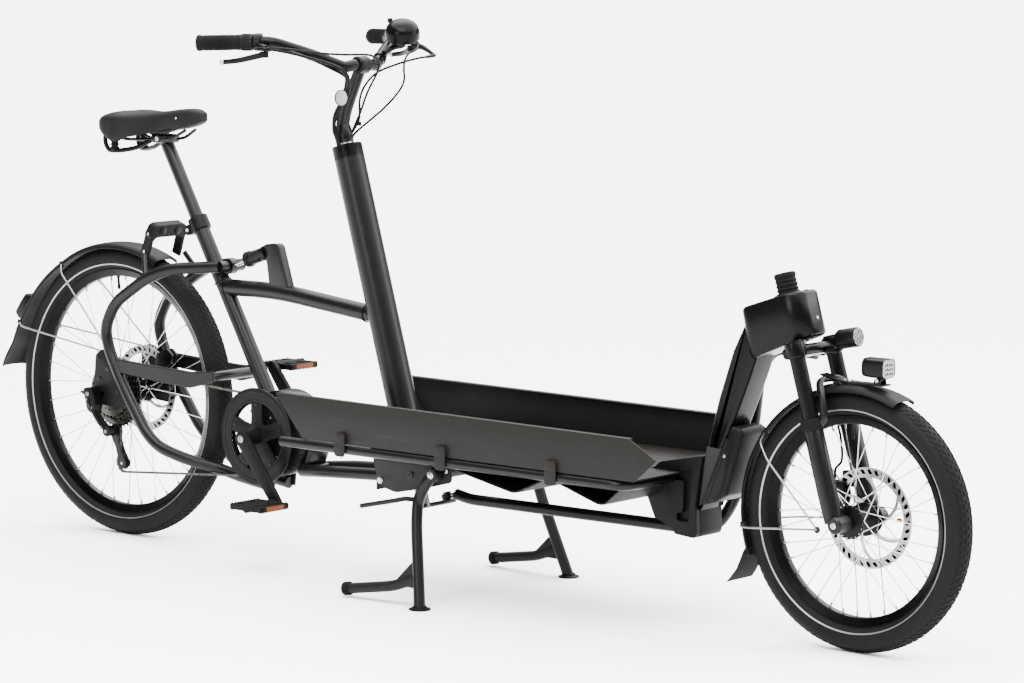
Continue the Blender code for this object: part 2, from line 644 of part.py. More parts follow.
def build_bell():
    grip_spot = Vector((0.7340, 0.0825, 1.1325))
    along = (Vector((0.716, 0.115, 1.147)) - Vector((0.752, 0.050, 1.118))).normalized()
    ring = sleeve(grip_spot - along * 0.007, grip_spot + along * 0.007, 0.0185,
                  clear(BAR_RADIUS))
    stalk = tube([grip_spot + Vector((0.010, 0.004, 0.013)), (0.752, 0.110, 1.157),
                  (BELL_CENTRE.x, BELL_CENTRE.y, 1.162), (BELL_CENTRE.x, BELL_CENTRE.y, 1.183)],
                 BELL_STALK_RADIUS, 6)
    dome = turned([(0, 0), (0.034, 0), (0.037, 0.006), (0.036, 0.017), (0.030, 0.028),
                   (0.017, 0.036), (0, 0.036)], BELL_CENTRE + Vector((0, 0, 0.006)),
                  (0, 0, 1), 16)
    keep_out = rod(grip_spot - along * 0.02, grip_spot + along * 0.02, clear(BAR_RADIUS))
    piece("bell", "column", GLOSS_BLACK, fused([ring, stalk, dome], [keep_out]))
    turn_ring = sleeve(BELL_CENTRE - Vector((0, 0, 0.0025)), BELL_CENTRE + Vector((0, 0, 0.0025)),
                       0.014, clear(BELL_STALK_RADIUS, 10), 10)
    arm = box(BELL_CENTRE + Vector((-0.029, 0.0065, 0)), (0.040, 0.009, 0.005), turn=-13)
    peg = rod(BELL_CENTRE + Vector((-0.050, 0.0115, -0.0005)),
              BELL_CENTRE + Vector((-0.050, 0.0115, 0.047)), 0.0055, 8)
    piece("bell_knob", "bell_knob", GLOSS_BLACK, fused([turn_ring, arm, peg]))


def build_steering_rod():
    start = column_point(-ARM_DEPTH, 0, ARM_LENGTH)
    end = head_point(-ROD_FRONT_DEPTH, 0, ARM_LENGTH)
    side = ARM_LENGTH
    path = [start + FORWARD * 0.028, (1.000, side, 0.1785), (1.600, side, 0.1835),
            (1.672, side, 0.190), (1.716, side, 0.243), (1.744, side, 0.312),
            (1.768, side, 0.400), (1.784, side, 0.530), (1.820, side, 0.578),
            end - FORWARD * 0.024]
    bar = tube(rounded(path, 0.05, 1), ROD_RADIUS, 10)
    eye = sleeve(start - UP * 0.006, start + UP * 0.006, 0.0135, 0.0058)
    rear_neck = rod(start + FORWARD * 0.0095, start + FORWARD * 0.034, 0.0050, 8)
    front_neck = rod(end, end - FORWARD * 0.030, 0.0065, 8)
    cup = rod(end - UP * 0.008, end + UP * 0.008, 0.0125)
    piece("steering_rod", "rod", FRAME_BLACK, fused([bar, eye, cup, rear_neck, front_neck]))


def build_cables():
    right = [lever_pivot(-1) + Vector((0.0149, 0, 0.0115)),
             lever_pivot(-1) + Vector((0.0220, 0, 0.0112)), (0.722, -0.210, 1.155),
             (0.721, -0.178, 1.143), (0.728, -0.132, 1.123), (0.742, -0.080, 1.103),
             (0.757, -0.048, 1.091), (0.752, -0.037, 1.065), (0.728, -0.039, 1.030),
             (0.708, -0.035, 0.995), column_point(0.018, 0.0, -0.0262),
             column_point(-0.004, 0.0, -0.0240), column_point(-0.040, 0.0, -0.0238)]
    left = [lever_pivot(1) + Vector((0.0149, 0, 0.0115)),
            lever_pivot(1) + Vector((0.0220, 0, 0.0112)), (0.724, 0.210, 1.155),
            (0.745, 0.165, 1.130), (0.775, 0.125, 1.095),
            (0.778, 0.104, 1.060), (0.752, 0.075, 1.018), (0.722, 0.043, 0.985),
            column_point(0.018, 0.0, 0.0268), column_point(-0.004, 0.0, 0.0240),
            column_point(-0.040, 0.0, 0.0238)]
    piece("cable_right", "column", RUBBER_BLACK, tube(spline(right, 2), CABLE_RADIUS, 6))
    piece("cable_left", "column", RUBBER_BLACK, tube(spline(left, 2), CABLE_RADIUS, 6))


# Fork, lights and front wheel

def leg_point(depth, hand, forward=0.0, side=0.0):
    """Point on a fork leg's axis, at a depth below the head."""
    return head_point(-depth, LEG_FORWARD + forward, (LEG_SIDE + side) * hand)


def build_fork_crown():
    parts = [rod(head_point(-0.155), head_point(-0.036), STEERER_RADIUS),
             box(head_point(-0.1461, 0.0145), (0.057, 0.100, 0.0238), tilt=16.2)]
    for hand in (-1, 1):
        parts.append(rod(leg_point(CROWN_BOTTOM + 0.002, hand), leg_point(0.128, hand), 0.0210, 12))
        parts.append(rod(leg_point(0.333, hand), leg_point(0.125, hand), STANCHION_RADIUS))
    parts.append(box(head_point(-0.1364, 0, 0.062), (0.024, 0.060, 0.0072), tilt=16.2))
    parts.append(rod(head_point(-0.136, 0, ARM_LENGTH), head_point(-0.1440, 0, ARM_LENGTH),
                     0.0045))
    ear = box((1.9975, 0.0215, 0.5945), (0.026, 0.004, 0.014), tilt=10)
    parts.append(ear)
    piece("fork_crown", "fork", GLOSS_BLACK, fused(parts))


def build_lights():
    way = Vector((0.982, 0.0, 0.189))
    rear = Vector((2.012, 0.030, 0.614))
    barrel = turned([(0, 0), (0.0165, 0), (0.0200, 0.006), (0.0200, 0.046), (0.0185, 0.051),
                     (0, 0.051)], rear, way, 14)
    knuckle = rod(on_side(UPPER_LIGHT_PIVOT, 0.0240), on_side(UPPER_LIGHT_PIVOT, 0.0360),
                  0.0062, 8)
    arm = tube([UPPER_LIGHT_PIVOT, (2.014, 0.030, 0.5945), (2.024, 0.030, 0.606)], 0.0055, 6)
    piece("headlight_upper", "headlight_upper", PLASTIC_BLACK, fused([barrel, knuckle, arm]))

    rings = []
    for x, half_width, low, high in ((2.099, 0.012, 0.5600, 0.5810), (2.103, 0.0185, 0.5535, 0.5870),
                                     (2.112, 0.0215, 0.5515, 0.5895), (2.156, 0.0225, 0.5510, 0.5900)):
        middle, tall = (low + high) / 2, (high - low) / 2
        ring = []
        for k in range(12):
            angle = 2 * math.pi * (k + 0.5) / 12
            c, s = math.cos(angle), math.sin(angle)
            ring.append(Vector((x, half_width * math.copysign(abs(c) ** 0.5, c),
                                middle + tall * math.copysign(abs(s) ** 0.5, s))))
        rings.append(ring)
    lamp = skin(rings)
    neck = box((2.135, 0, 0.5490), (0.008, 0.013, 0.009))
    knuckle = rod(on_side(LOWER_LIGHT_PIVOT, -0.0078), on_side(LOWER_LIGHT_PIVOT, 0.0078),
                  0.0045, 8)
    piece("headlight_lower", "headlight_lower", PLASTIC_BLACK, fused([lamp, neck, knuckle]))


def build_fork_lowers():
    parts = []
    bores = []
    for hand in (-1, 1):
        parts.append(rod(leg_point(0.290, hand), leg_point(0.492, hand), LOWER_RADIUS, 12))
        parts.append(rod(leg_point(LOWERS_TOP, hand), leg_point(0.306, hand), 0.0232, 12))
        inner, outer = sorted((0.0418 * hand, 0.084 * hand))
        parts.append(rod(on_side(FRONT_AXLE, inner), on_side(FRONT_AXLE, outer), 0.0170, 12))
        bores.append(rod(leg_point(0.27, hand), leg_point(0.413, hand),
                         clear(STANCHION_RADIUS)))
    parts.append(rod(on_side(FRONT_AXLE, -0.080), on_side(FRONT_AXLE, 0.080), FRONT_AXLE_RADIUS))
    arch = []
    for depth, forward, side in ((0.297, 0.046, 0.060), (0.283, 0.061, 0.058),
                                 (0.245, 0.062, 0.052), (0.216, 0.052, 0.034),
                                 (0.211, 0.046, 0.0)):
        arch.append(head_point(-depth, forward, -side))
    arch += [on_side(point, -point.y) for point in reversed(arch[:-1])]
    parts.append(tube(arch, 0.0085, 8))
    strip = plate([(2.000, 0.5460), (2.030, 0.5395), (2.060, 0.5360), (2.152, 0.5360),
                   (2.152, 0.5395), (2.062, 0.5395), (2.034, 0.5430), (2.004, 0.5500)],
                  -0.0125, 0.0125)
    parts.append(strip)
    for low, high in ((-0.0122, -0.0081), (0.0081, 0.0122)):
        parts.append(plate([(2.130, 0.538), (2.140, 0.538), (2.140, 0.5485), (2.130, 0.5485)],
                           low, high))
    parts.append(box((2.026, 0.05815, 0.334), (0.034, 0.0117, 0.032)))
    piece("fork_lowers", "fork_lower", FRAME_BLACK, fused(parts, bores))


def fender(centre, radius_at, half_width, drop, start, stop, count):
    """Curved sheet over a tyre; radius_at gives its outer radius at an angle."""
    section = [(0.0, 0.0), (0.70, 0.16), (1.0, 1.0)]
    rings = []
    for k in range(count):
        angle = math.radians(start + (stop - start) * k / (count - 1))
        radius = radius_at(math.degrees(angle))
        way = Vector((math.cos(angle), 0.0, math.sin(angle)))
        ring = []
        for side, fall in [(-a, b) for a, b in reversed(section)] + section[1:]:
            ring.append(centre + way * (radius - drop * fall) + LEFT * side * half_width)
        for side, fall in section[::-1] + [(-a, b) for a, b in section[1:]]:
            ring.append(centre + way * (radius - 0.0018 - drop * fall * 1.04)
                        + LEFT * side * (half_width - 0.0018))
        rings.append(ring)
    return skin(rings)


def around(centre, radius, angle, side):
    """Point at a radius and an angle round an axle, in degrees from +X towards +Z."""
    angle = math.radians(angle)
    return Vector((centre.x + radius * math.cos(angle), side, centre.z + radius * math.sin(angle)))


def build_front_fender():
    sheet = fender(FRONT_AXLE, lambda angle: 0.2706, 0.0365, 0.0115, 66.4, 201.0, 13)
    flap = skin([[around(FRONT_AXLE, radius, angle, side)
                  for radius, side in ((inner, -half), (inner, half), (outer, half), (outer, -half))]
                 for angle, inner, outer, half in ((196.0, 0.2645, 0.2668, 0.022),
                                                   (199.0, 0.2690, 0.2713, 0.036),
                                                   (204.6, 0.2957, 0.2982, 0.038),
                                                   (207.6, 0.3287, 0.3310, 0.043))])
    parts = [sheet, flap]
    for hand in (-1, 1):
        eyelet = Vector((2.050, 0.0875 * hand, 0.252))
        for angle in (142.6, 187.0):
            edge = around(FRONT_AXLE, 0.2588, angle, 0.0352 * hand)
            turn = around(FRONT_AXLE, 0.2400, angle, 0.0700 * hand)
            near = turn + (eyelet - turn) * 0.18
            near.y = 0.0860 * hand
            parts.append(tube([edge, turn, near, eyelet], 0.0026, 4))
        inner, outer = sorted((0.0852 * hand, 0.0892 * hand))
        parts.append(rod(on_side(eyelet, inner), on_side(eyelet, outer), 0.007, 8))
    block = box(head_point(-0.2252, 0.046, 0), (0.018, 0.018, 0.0080), tilt=16.2)
    parts.append(block)
    piece("front_fender", "fork_lower", PLASTIC_BLACK, fused(parts))


def build_front_brake():
    shell = plate([(1.970, 0.285), (1.985, 0.273), (2.030, 0.280), (2.036, 0.300),
                   (2.030, 0.331), (1.985, 0.331), (1.970, 0.318)], 0.027, 0.052, 0.003)
    slot = plate(circle(FRONT_AXLE, ROTOR_RADIUS + 0.003, 20), 0.0350, 0.0410)
    piece("front_caliper", "fork_lower", DARK_STEEL, fused([shell], [slot]))
    route = [(1.998, 0.0450, 0.3321), (1.996, 0.0500, 0.352), leg_point(0.372, 1, -0.036, -0.004),
             leg_point(0.330, 1, -0.0285, -0.002), leg_point(0.296, 1, -0.0285, -0.002)]
    piece("front_hose", "fork_lower", RUBBER_BLACK, tube(spline(route, 2), 0.0026, 6))


def wheel_tyre(centre, radius, bead, side_count):
    middle = radius - TYRE_SECTION
    profile = []
    for angle in (-119, -78, -40, 0, 40, 78, 119):
        turn = math.radians(angle)
        profile.append((middle + TYRE_SECTION * math.cos(turn), TYRE_SECTION * math.sin(turn)))
    profile += [(bead + 0.0082, 0.0130), (bead + 0.0017, 0.0124),
                (bead + 0.0017, -0.0124), (bead + 0.0082, -0.0130)]
    return turned(profile, on_side(centre, 0), LEFT, side_count)


def wheel_rim(centre, bead, side_count):
    half = [(bead - RIM_DEPTH, 0.0080), (bead + 0.0066, 0.0152), (bead + 0.0066, 0.0134),
            (bead + 0.0012, 0.0129)]
    profile = [(radius, -side) for radius, side in half] + half[::-1]
    return turned(profile, on_side(centre, 0), LEFT, side_count)


def wheel_spokes(centre, hub_radius, bead, side_count, flanges, count):
    """Spokes from both flanges; on each flange they all lean the same way."""
    spokes = []
    rim_radius = (bead - RIM_DEPTH) * math.cos(math.pi / side_count) - 2 * GAP
    for flange, side in enumerate(flanges):
        for k in range(count // 2):
            root = 360.0 * (k + 0.5 * flange) / (count // 2)
            lean = 38.0 if flange == 0 else -38.0
            start = around(centre, hub_radius - 0.003, root, side)
            end = around(centre, rim_radius, root + lean, side * 0.12)
            spokes.append(rod(start, end, 0.0013, 3))
    return spokes


def joined(shapes):
    """Shapes that don't touch one another, as one object."""
    work = bmesh.new()
    for shape in shapes:
        work.from_mesh(shape.data)
        bpy.data.objects.remove(shape, do_unlink=True)
    mesh = bpy.data.meshes.new("shape")
    work.to_mesh(mesh)
    work.free()
    result = bpy.data.objects.new("shape", mesh)
    bpy.context.scene.collection.objects.link(result)
    return result


def build_front_wheel():
    piece("front_tyre", "front_wheel", RUBBER_BLACK,
          wheel_tyre(FRONT_AXLE, FRONT_TYRE_RADIUS, FRONT_BEAD_RADIUS, FRONT_SIDES))
    piece("front_rim", "front_wheel", PLASTIC_BLACK,
          wheel_rim(FRONT_AXLE, FRONT_BEAD_RADIUS, FRONT_SIDES))
    profile = [(HUB_END_RADIUS, -0.0414), (HUB_END_RADIUS, -0.034), (0.0340, -0.031), (0.0340, -0.026),
               (0.0240, -0.021), (0.0240, 0.014), (0.0340, 0.019), (0.0340, 0.024),
               (0.0220, 0.027), (0.0220, 0.0365), (HUB_END_RADIUS, 0.0365),
               (HUB_END_RADIUS, 0.0414),
               (clear(FRONT_AXLE_RADIUS), 0.0414), (clear(FRONT_AXLE_RADIUS), -0.0414)]
    core = turned(profile, on_side(FRONT_AXLE, 0), LEFT)
    spokes = wheel_spokes(FRONT_AXLE, 0.034, FRONT_BEAD_RADIUS, FRONT_SIDES, (-0.0285, 0.0215), 24)
    piece("front_hub", "front_wheel", PLASTIC_BLACK, fused([core] + [joined(spokes)]))
    piece("front_rotor", "front_wheel", STEEL, rotor(FRONT_AXLE, 0.0369, 0.0389, clear(HUB_END_RADIUS)))


def rotor(centre, low, high, bore):
    """Brake disc: outer ring on six arms."""
    ring = sleeve(on_side(centre, low), on_side(centre, high), ROTOR_RADIUS, 0.0800, 20)
    core = sleeve(on_side(centre, low), on_side(centre, high), 0.0250, bore, 12)
    arms = []
    for k in range(5):
        start = around(centre, 0.022, 72 * k, 0)
        end = around(centre, 0.0820, 72 * k + 28, 0)
        across = (end - start).cross(LEFT).normalized() * 0.0045
        outline = [start + across, end + across, end - across, start - across]
        arms.append(plate([(point.x, point.z) for point in outline], low, high))
    return fused([ring, core] + arms)


# Swingarm, rear wheel and drive


def build_swingarm():
    parts = []
    for hand in (-1, 1):
        hoop = [(SHOCK_REAR.x, 0.034, SHOCK_REAR.z), (0.225, 0.072, 0.646), (0.162, SWINGARM_SIDE, 0.622),
                (0.053, SWINGARM_SIDE, 0.556), (0.021, SWINGARM_SIDE, 0.495), (0.032, SWINGARM_SIDE, 0.448),
                (0.081, SWINGARM_SIDE, 0.361), (0.155, SWINGARM_SIDE, 0.261), (0.195, 0.082, 0.232),
                (0.262, 0.066, 0.211), (0.315, 0.045, 0.1985), (0.352, 0.0305, 0.190),
                (0.400, 0.0300, 0.181), (0.500, 0.0300, 0.169)]
        hoop = [Vector((x, y * hand, z)) for x, y, z in hoop]
        parts.append(tube(hoop, 0.0135, 8))
        beam = []
        for x, side, middle, tall in ((0.060, 0.085, 0.411, 0.016), (0.300, 0.083, 0.398, 0.0185),
                                      (0.372, 0.078, 0.4105, 0.0125)):
            beam.append([Vector((x, (side - 0.007) * hand, middle - tall)),
                         Vector((x, (side + 0.007) * hand, middle - tall)),
                         Vector((x, (side + 0.007) * hand, middle + tall)),
                         Vector((x, (side - 0.007) * hand, middle + tall))])
        parts.append(skin(beam))
        low, high = sorted((0.0715 * hand, 0.0775 * hand))
        parts.append(plate([(-0.022, 0.430), (0.0, 0.4445), (0.050, 0.430), (0.085, 0.372),
                            (0.100, 0.335), (0.070, 0.309), (-0.020, 0.315), (-0.030, 0.340)],
                           low, high))
        low, high = sorted((0.0382 * hand, 0.0440 * hand))
        parts.append(plate(circle(CRANK_AXLE, 0.041, 10, -50, 230)
                           + [(0.452, 0.215), (0.462, 0.168), (0.506, 0.162), (0.512, 0.215)],
                           low, high))
        parts.append(rod((0.156, 0.084 * hand, 0.624), (0.131, 0.0635 * hand, 0.670), 0.006, 6))
    parts.append(rod(on_side(SHOCK_REAR, -0.036), on_side(SHOCK_REAR, 0.036), SWING_BAR_RADIUS))
    parts.append(rod((0.368, -0.084, 0.4105), (0.368, 0.084, 0.4105), 0.0115, 8))
    parts.append(rod(on_side(REAR_AXLE, -0.0777), on_side(REAR_AXLE, 0.0815), REAR_AXLE_RADIUS))
    pivot = rod(on_side(CRANK_AXLE, -0.06), on_side(CRANK_AXLE, 0.06), clear(BOSS_RADIUS, 16), 16)
    piece("swingarm", "swingarm", FRAME_BLACK, fused(parts, [pivot]))


def rear_fender_radius(angle):
    """Outer radius of the rear fender; it leaves the tyre towards its tail."""
    marks = [(66.0, 0.3480), (122.0, 0.3510), (150.0, 0.3630), (165.0, 0.3760), (176.0, 0.4050)]
    for (a, low), (b, high) in zip(marks, marks[1:]):
        if angle <= b:
            t = max(0.0, (angle - a) / (b - a))
            return low + (high - low) * t * t * (3 - 2 * t) * 0.4 + (high - low) * t * 0.6
    return marks[-1][1]


def build_rear_fender():
    sheet = fender(REAR_AXLE, rear_fender_radius, 0.0375, 0.0125, 66.2, 176.0, 15)
    parts = [sheet]
    for hand in (-1, 1):
        eyelet = Vector((0.020, 0.0686 * hand, 0.4340))
        for angle in (122.0, 157.0):
            edge = around(REAR_AXLE, rear_fender_radius(angle) - 0.0120, angle, 0.0366 * hand)
            turn = around(REAR_AXLE, rear_fender_radius(angle) - 0.0320, angle, 0.0480 * hand)
            parts.append(tube([edge, turn, eyelet], 0.0026, 4))
        inner, outer = sorted((0.0664 * hand, 0.0712 * hand))
        parts.append(rod(on_side(eyelet, inner), on_side(eyelet, outer), 0.006, 8))
    piece("rear_fender", "swingarm", PLASTIC_BLACK, fused(parts))
    light = []
    for angle, low, high, half in ((147.0, 0.0020, 0.018, 0.016), (148.5, 0.0008, 0.030, 0.020),
                                   (156.0, 0.0008, 0.034, 0.021), (157.5, 0.0020, 0.026, 0.017)):
        base = rear_fender_radius(angle)
        light.append([around(REAR_AXLE, base + low, angle, -half),
                      around(REAR_AXLE, base + low, angle, half),
                      around(REAR_AXLE, base + high, angle, half),
                      around(REAR_AXLE, base + high, angle, -half)])
    piece("tail_light", "swingarm", GLOSS_BLACK, skin(light))


def build_ring_lock():
    way = Vector((math.cos(math.radians(70)), 0, math.sin(math.radians(70))))
    across = Vector((math.sin(math.radians(70)), 0, -math.cos(math.radians(70))))
    outline = [(0.345, 0.043), (0.400, 0.043), (0.4085, 0.030), (0.4085, -0.030),
               (0.400, -0.043), (0.345, -0.043), (0.345, -0.0575), (0.412, -0.0575),
               (0.428, -0.040), (0.428, 0.040), (0.412, 0.0575), (0.345, 0.0575)]
    rings = []
    for offset in (-0.013, 0.013):
        rings.append([REAR_AXLE + way * radius + across * offset + LEFT * side
                      for radius, side in outline])
    piece("ring_lock", "swingarm", PLASTIC_BLACK, skin(rings))


def build_rear_brake():
    shell = plate([(0.044, 0.400), (0.062, 0.385), (0.098, 0.405), (0.104, 0.424),
                   (0.084, 0.440), (0.050, 0.424)], 0.0480, 0.0712, 0.003)
    slot = plate(circle(REAR_AXLE, ROTOR_RADIUS + 0.003, 20), 0.0575, 0.0625)
    piece("rear_caliper", "swingarm", DARK_STEEL, fused([shell], [slot]))


def belt(wheels):
    """Closed path of a chain round wheels (centre, radius, turning sense)."""
    contacts = []
    for (c1, r1, s1), (c2, r2, s2) in zip(wheels, wheels[1:] + wheels[:1]):
        span = Vector((c2.x - c1.x, c2.z - c1.z))
        reach = span.length
        ahead = span / reach
        aside = Vector((-ahead.y, ahead.x))
        offset = s2 * r2 - s1 * r1
        along = math.sqrt(reach * reach - offset * offset)
        normal = ahead * (offset / reach) + aside * (along / reach)
        contacts.append((Vector((c1.x, c1.z)) - normal * (s1 * r1),
                         Vector((c2.x, c2.z)) - normal * (s2 * r2)))
    path = []
    for k, (centre, radius, sense) in enumerate(wheels):
        middle = Vector((centre.x, centre.z))
        start = contacts[k - 1][1] - middle
        end = contacts[k][0] - middle
        first = math.atan2(start.y, start.x)
        turn = (math.atan2(end.y, end.x) - first) * sense % (2 * math.pi)
        steps = max(2, round(turn / math.radians(22)))
        for j in range(steps + 1):
            angle = first + sense * turn * j / steps
            path.append((middle.x + radius * math.cos(angle), middle.y + radius * math.sin(angle)))
    return path


def build_chain():
    path = belt([(CRANK_AXLE, CHAINRING_RADIUS + 0.0036, 1), (REAR_AXLE, COG_RADIUS + 0.0036, 1),
                 (UPPER_PULLEY, 0.0215, -1), (LOWER_PULLEY, 0.0215, 1)])
    rings = []
    for before, here, after in zip(path[-1:] + path[:-1], path, path[1:] + path[:1]):
        way = Vector((after[0] - before[0], after[1] - before[1])).normalized()
        inward = Vector((-way.y, way.x)) * 0.0034
        ring = []
        for side, sign in ((-0.0034, -1), (0.0034, -1), (0.0034, 1), (-0.0034, 1)):
            ring.append(Vector((here[0] + inward.x * sign, CHAIN_LINE + side,
                                here[1] + inward.y * sign)))
        rings.append(ring)
    piece("chain", "swingarm", DARK_STEEL, skin(rings, closed=True))


def build_derailleur():
    hanger = plate([(-0.040, 0.352), (-0.014, 0.357), (0.004, 0.318), (-0.004, 0.292),
                    (-0.026, 0.300)], -0.104, -0.0782, 0.003)
    link = tube([(-0.018, -0.094, 0.312), (0.000, -0.084, 0.275), (0.010, -0.072, 0.256)],
                [0.013, 0.012, 0.011], 8)
    knuckle = rod(on_side(UPPER_PULLEY, -0.0800), on_side(UPPER_PULLEY, -0.0581), 0.0125, 10)
    piece("derailleur", "swingarm", PLASTIC_BLACK, fused([hanger, link, knuckle]))
    way = Vector((LOWER_PULLEY.x - UPPER_PULLEY.x, LOWER_PULLEY.z - UPPER_PULLEY.z)).normalized()
    heading = math.degrees(math.atan2(way.y, way.x))
    outline = (circle(LOWER_PULLEY, 0.0125, 8, heading - 90, heading + 90)
               + circle(UPPER_PULLEY, 0.0125, 8, heading + 90, heading + 270))
    parts = [plate(outline, -0.0578, -0.0563), plate(outline, -0.0437, -0.0422)]
    for pulley in (UPPER_PULLEY, LOWER_PULLEY):
        parts.append(rod(on_side(pulley, -0.0570), on_side(pulley, -0.0430), 0.0165, 12))
    piece("derailleur_cage", "swingarm", PLASTIC_BLACK, fused(parts))


def build_rear_wheel():
    piece("rear_tyre", "rear_wheel", RUBBER_BLACK,
          wheel_tyre(REAR_AXLE, REAR_TYRE_RADIUS, REAR_BEAD_RADIUS, REAR_SIDES))
    piece("rear_rim", "rear_wheel", PLASTIC_BLACK,
          wheel_rim(REAR_AXLE, REAR_BEAD_RADIUS, REAR_SIDES))
    profile = [(HUB_END_RADIUS, -0.0708), (HUB_END_RADIUS, -0.0620),
               (CASSETTE_BODY_RADIUS, -0.0610), (CASSETTE_BODY_RADIUS, -0.0290),
               (0.0290, -0.0270), (0.0290, -0.0220), (0.0200, -0.0180), (0.0200, 0.0300),
               (0.0290, 0.0350), (0.0290, 0.0400), (0.0220, 0.0430), (0.0220, 0.0585),
               (HUB_END_RADIUS, 0.0585), (HUB_END_RADIUS, 0.0708),
               (clear(REAR_AXLE_RADIUS), 0.0708), (clear(REAR_AXLE_RADIUS), -0.0708)]
    core = turned(profile, on_side(REAR_AXLE, 0), LEFT)
    spokes = wheel_spokes(REAR_AXLE, 0.029, REAR_BEAD_RADIUS, REAR_SIDES, (-0.0245, 0.0375), 24)
    piece("rear_hub", "rear_wheel", PLASTIC_BLACK, fused([core] + [joined(spokes)]))
    piece("rear_rotor", "rear_wheel", STEEL, rotor(REAR_AXLE, 0.0589, 0.0609, clear(HUB_END_RADIUS)))
    steps = [(0.0850, 0.0305), (0.0850, 0.0342), (0.0790, 0.0342), (0.0790, 0.0382),
             (0.0720, 0.0382), (0.0720, 0.0422), (0.0660, 0.0422), (0.0660, 0.0460),
             (0.0588, 0.0460), (0.0588, 0.0540), (0.0420, 0.0540), (0.0420, 0.0580),
             (0.0260, 0.0580), (0.0260, 0.0604), (clear(CASSETTE_BODY_RADIUS), 0.0604),
             (clear(CASSETTE_BODY_RADIUS), 0.0305)]
    piece("cassette", "cassette", STEEL,
          turned([(radius, -side) for radius, side in steps], on_side(REAR_AXLE, 0), LEFT, 20))


def crank_end(hand):
    """Pedal axle, at a crank's outer end; the left crank points the other way."""
    sign = -hand
    return Vector((CRANK_AXLE.x + sign * CRANK_LENGTH * math.cos(CRANK_ANGLE), 0.157 * hand,
                   CRANK_AXLE.z + sign * CRANK_LENGTH * math.sin(CRANK_ANGLE)))


def crank_arm(hand):
    end = crank_end(hand)
    way = Vector((end.x - CRANK_AXLE.x, end.z - CRANK_AXLE.z)).normalized()
    heading = math.degrees(math.atan2(way.y, way.x))
    outline = (circle(CRANK_AXLE, 0.0185, 6, heading + 80, heading + 280)
               + circle(end, 0.0135, 5, heading - 85, heading + 85))
    low, high = sorted((0.0955 * hand, 0.1085 * hand))
    return plate(outline, low, high, 0.003)


def build_cranks():
    arm = crank_arm(-1)
    boss = rod(on_side(CRANK_AXLE, -0.0975), on_side(CRANK_AXLE, -0.0485), 0.0170, 12)
    ring = sleeve(on_side(CRANK_AXLE, -0.0515), on_side(CRANK_AXLE, -0.0485), 0.0872, 0.0740, 26)
    guard = sleeve(on_side(CRANK_AXLE, -0.0592), on_side(CRANK_AXLE, -0.0566), GUARD_RADIUS,
                   0.0780, 26)
    parts = [arm, boss, ring, guard]
    star = []
    for k in range(5):
        heading = 72 * k + 18
        star += [around(CRANK_AXLE, 0.0240, heading - 36, 0),
                 around(CRANK_AXLE, 0.0800, heading - 8, 0),
                 around(CRANK_AXLE, 0.0800, heading + 8, 0)]
    parts.append(plate([(point.x, point.z) for point in star], -0.0590, -0.0490))
    end = crank_end(-1)
    parts.append(rod(on_side(end, -0.193), on_side(end, -0.100), 0.0050, 8))
    bore = rod(on_side(CRANK_AXLE, -0.0955), on_side(CRANK_AXLE, -0.03), clear(SPINDLE_RADIUS))
    piece("crank_right", "crank", DARK_STEEL, fused(parts, [bore]))
    end = crank_end(1)
    parts = [crank_arm(1), rod(on_side(CRANK_AXLE, -0.0950), on_side(CRANK_AXLE, 0.1000), SPINDLE_RADIUS),
             rod(on_side(CRANK_AXLE, 0.0470), on_side(CRANK_AXLE, 0.0990), 0.0170),
             rod(on_side(end, 0.100), on_side(end, 0.193), 0.0050, 8)]
    piece("crank_left", "crank", DARK_STEEL, fused(parts))
    for name, hand in (("pedal_right", -1), ("pedal_left", 1)):
        end = crank_end(hand)
        low, high = sorted((0.1130 * hand, 0.2010 * hand))
        tread = plate([(end.x - 0.049, end.z - 0.007), (end.x - 0.042, end.z - 0.011),
                       (end.x + 0.042, end.z - 0.011), (end.x + 0.049, end.z - 0.007),
                       (end.x + 0.049, end.z + 0.007), (end.x + 0.042, end.z + 0.011),
                       (end.x - 0.042, end.z + 0.011), (end.x - 0.049, end.z + 0.007)],
                      low, high, 0.002)
        cuts = []
        for sign in (-1, 1):
            cuts.append(box((end.x + 0.024 * sign, 0.157 * hand, end.z), (0.022, 0.062, 0.05)))
        cuts.append(rod(on_side(end, 0.10 * hand), on_side(end, 0.1955 * hand), clear(0.0050, 8), 8))
        piece(name, name, PLASTIC_BLACK, fused([tread], cuts))


# Seat and stand

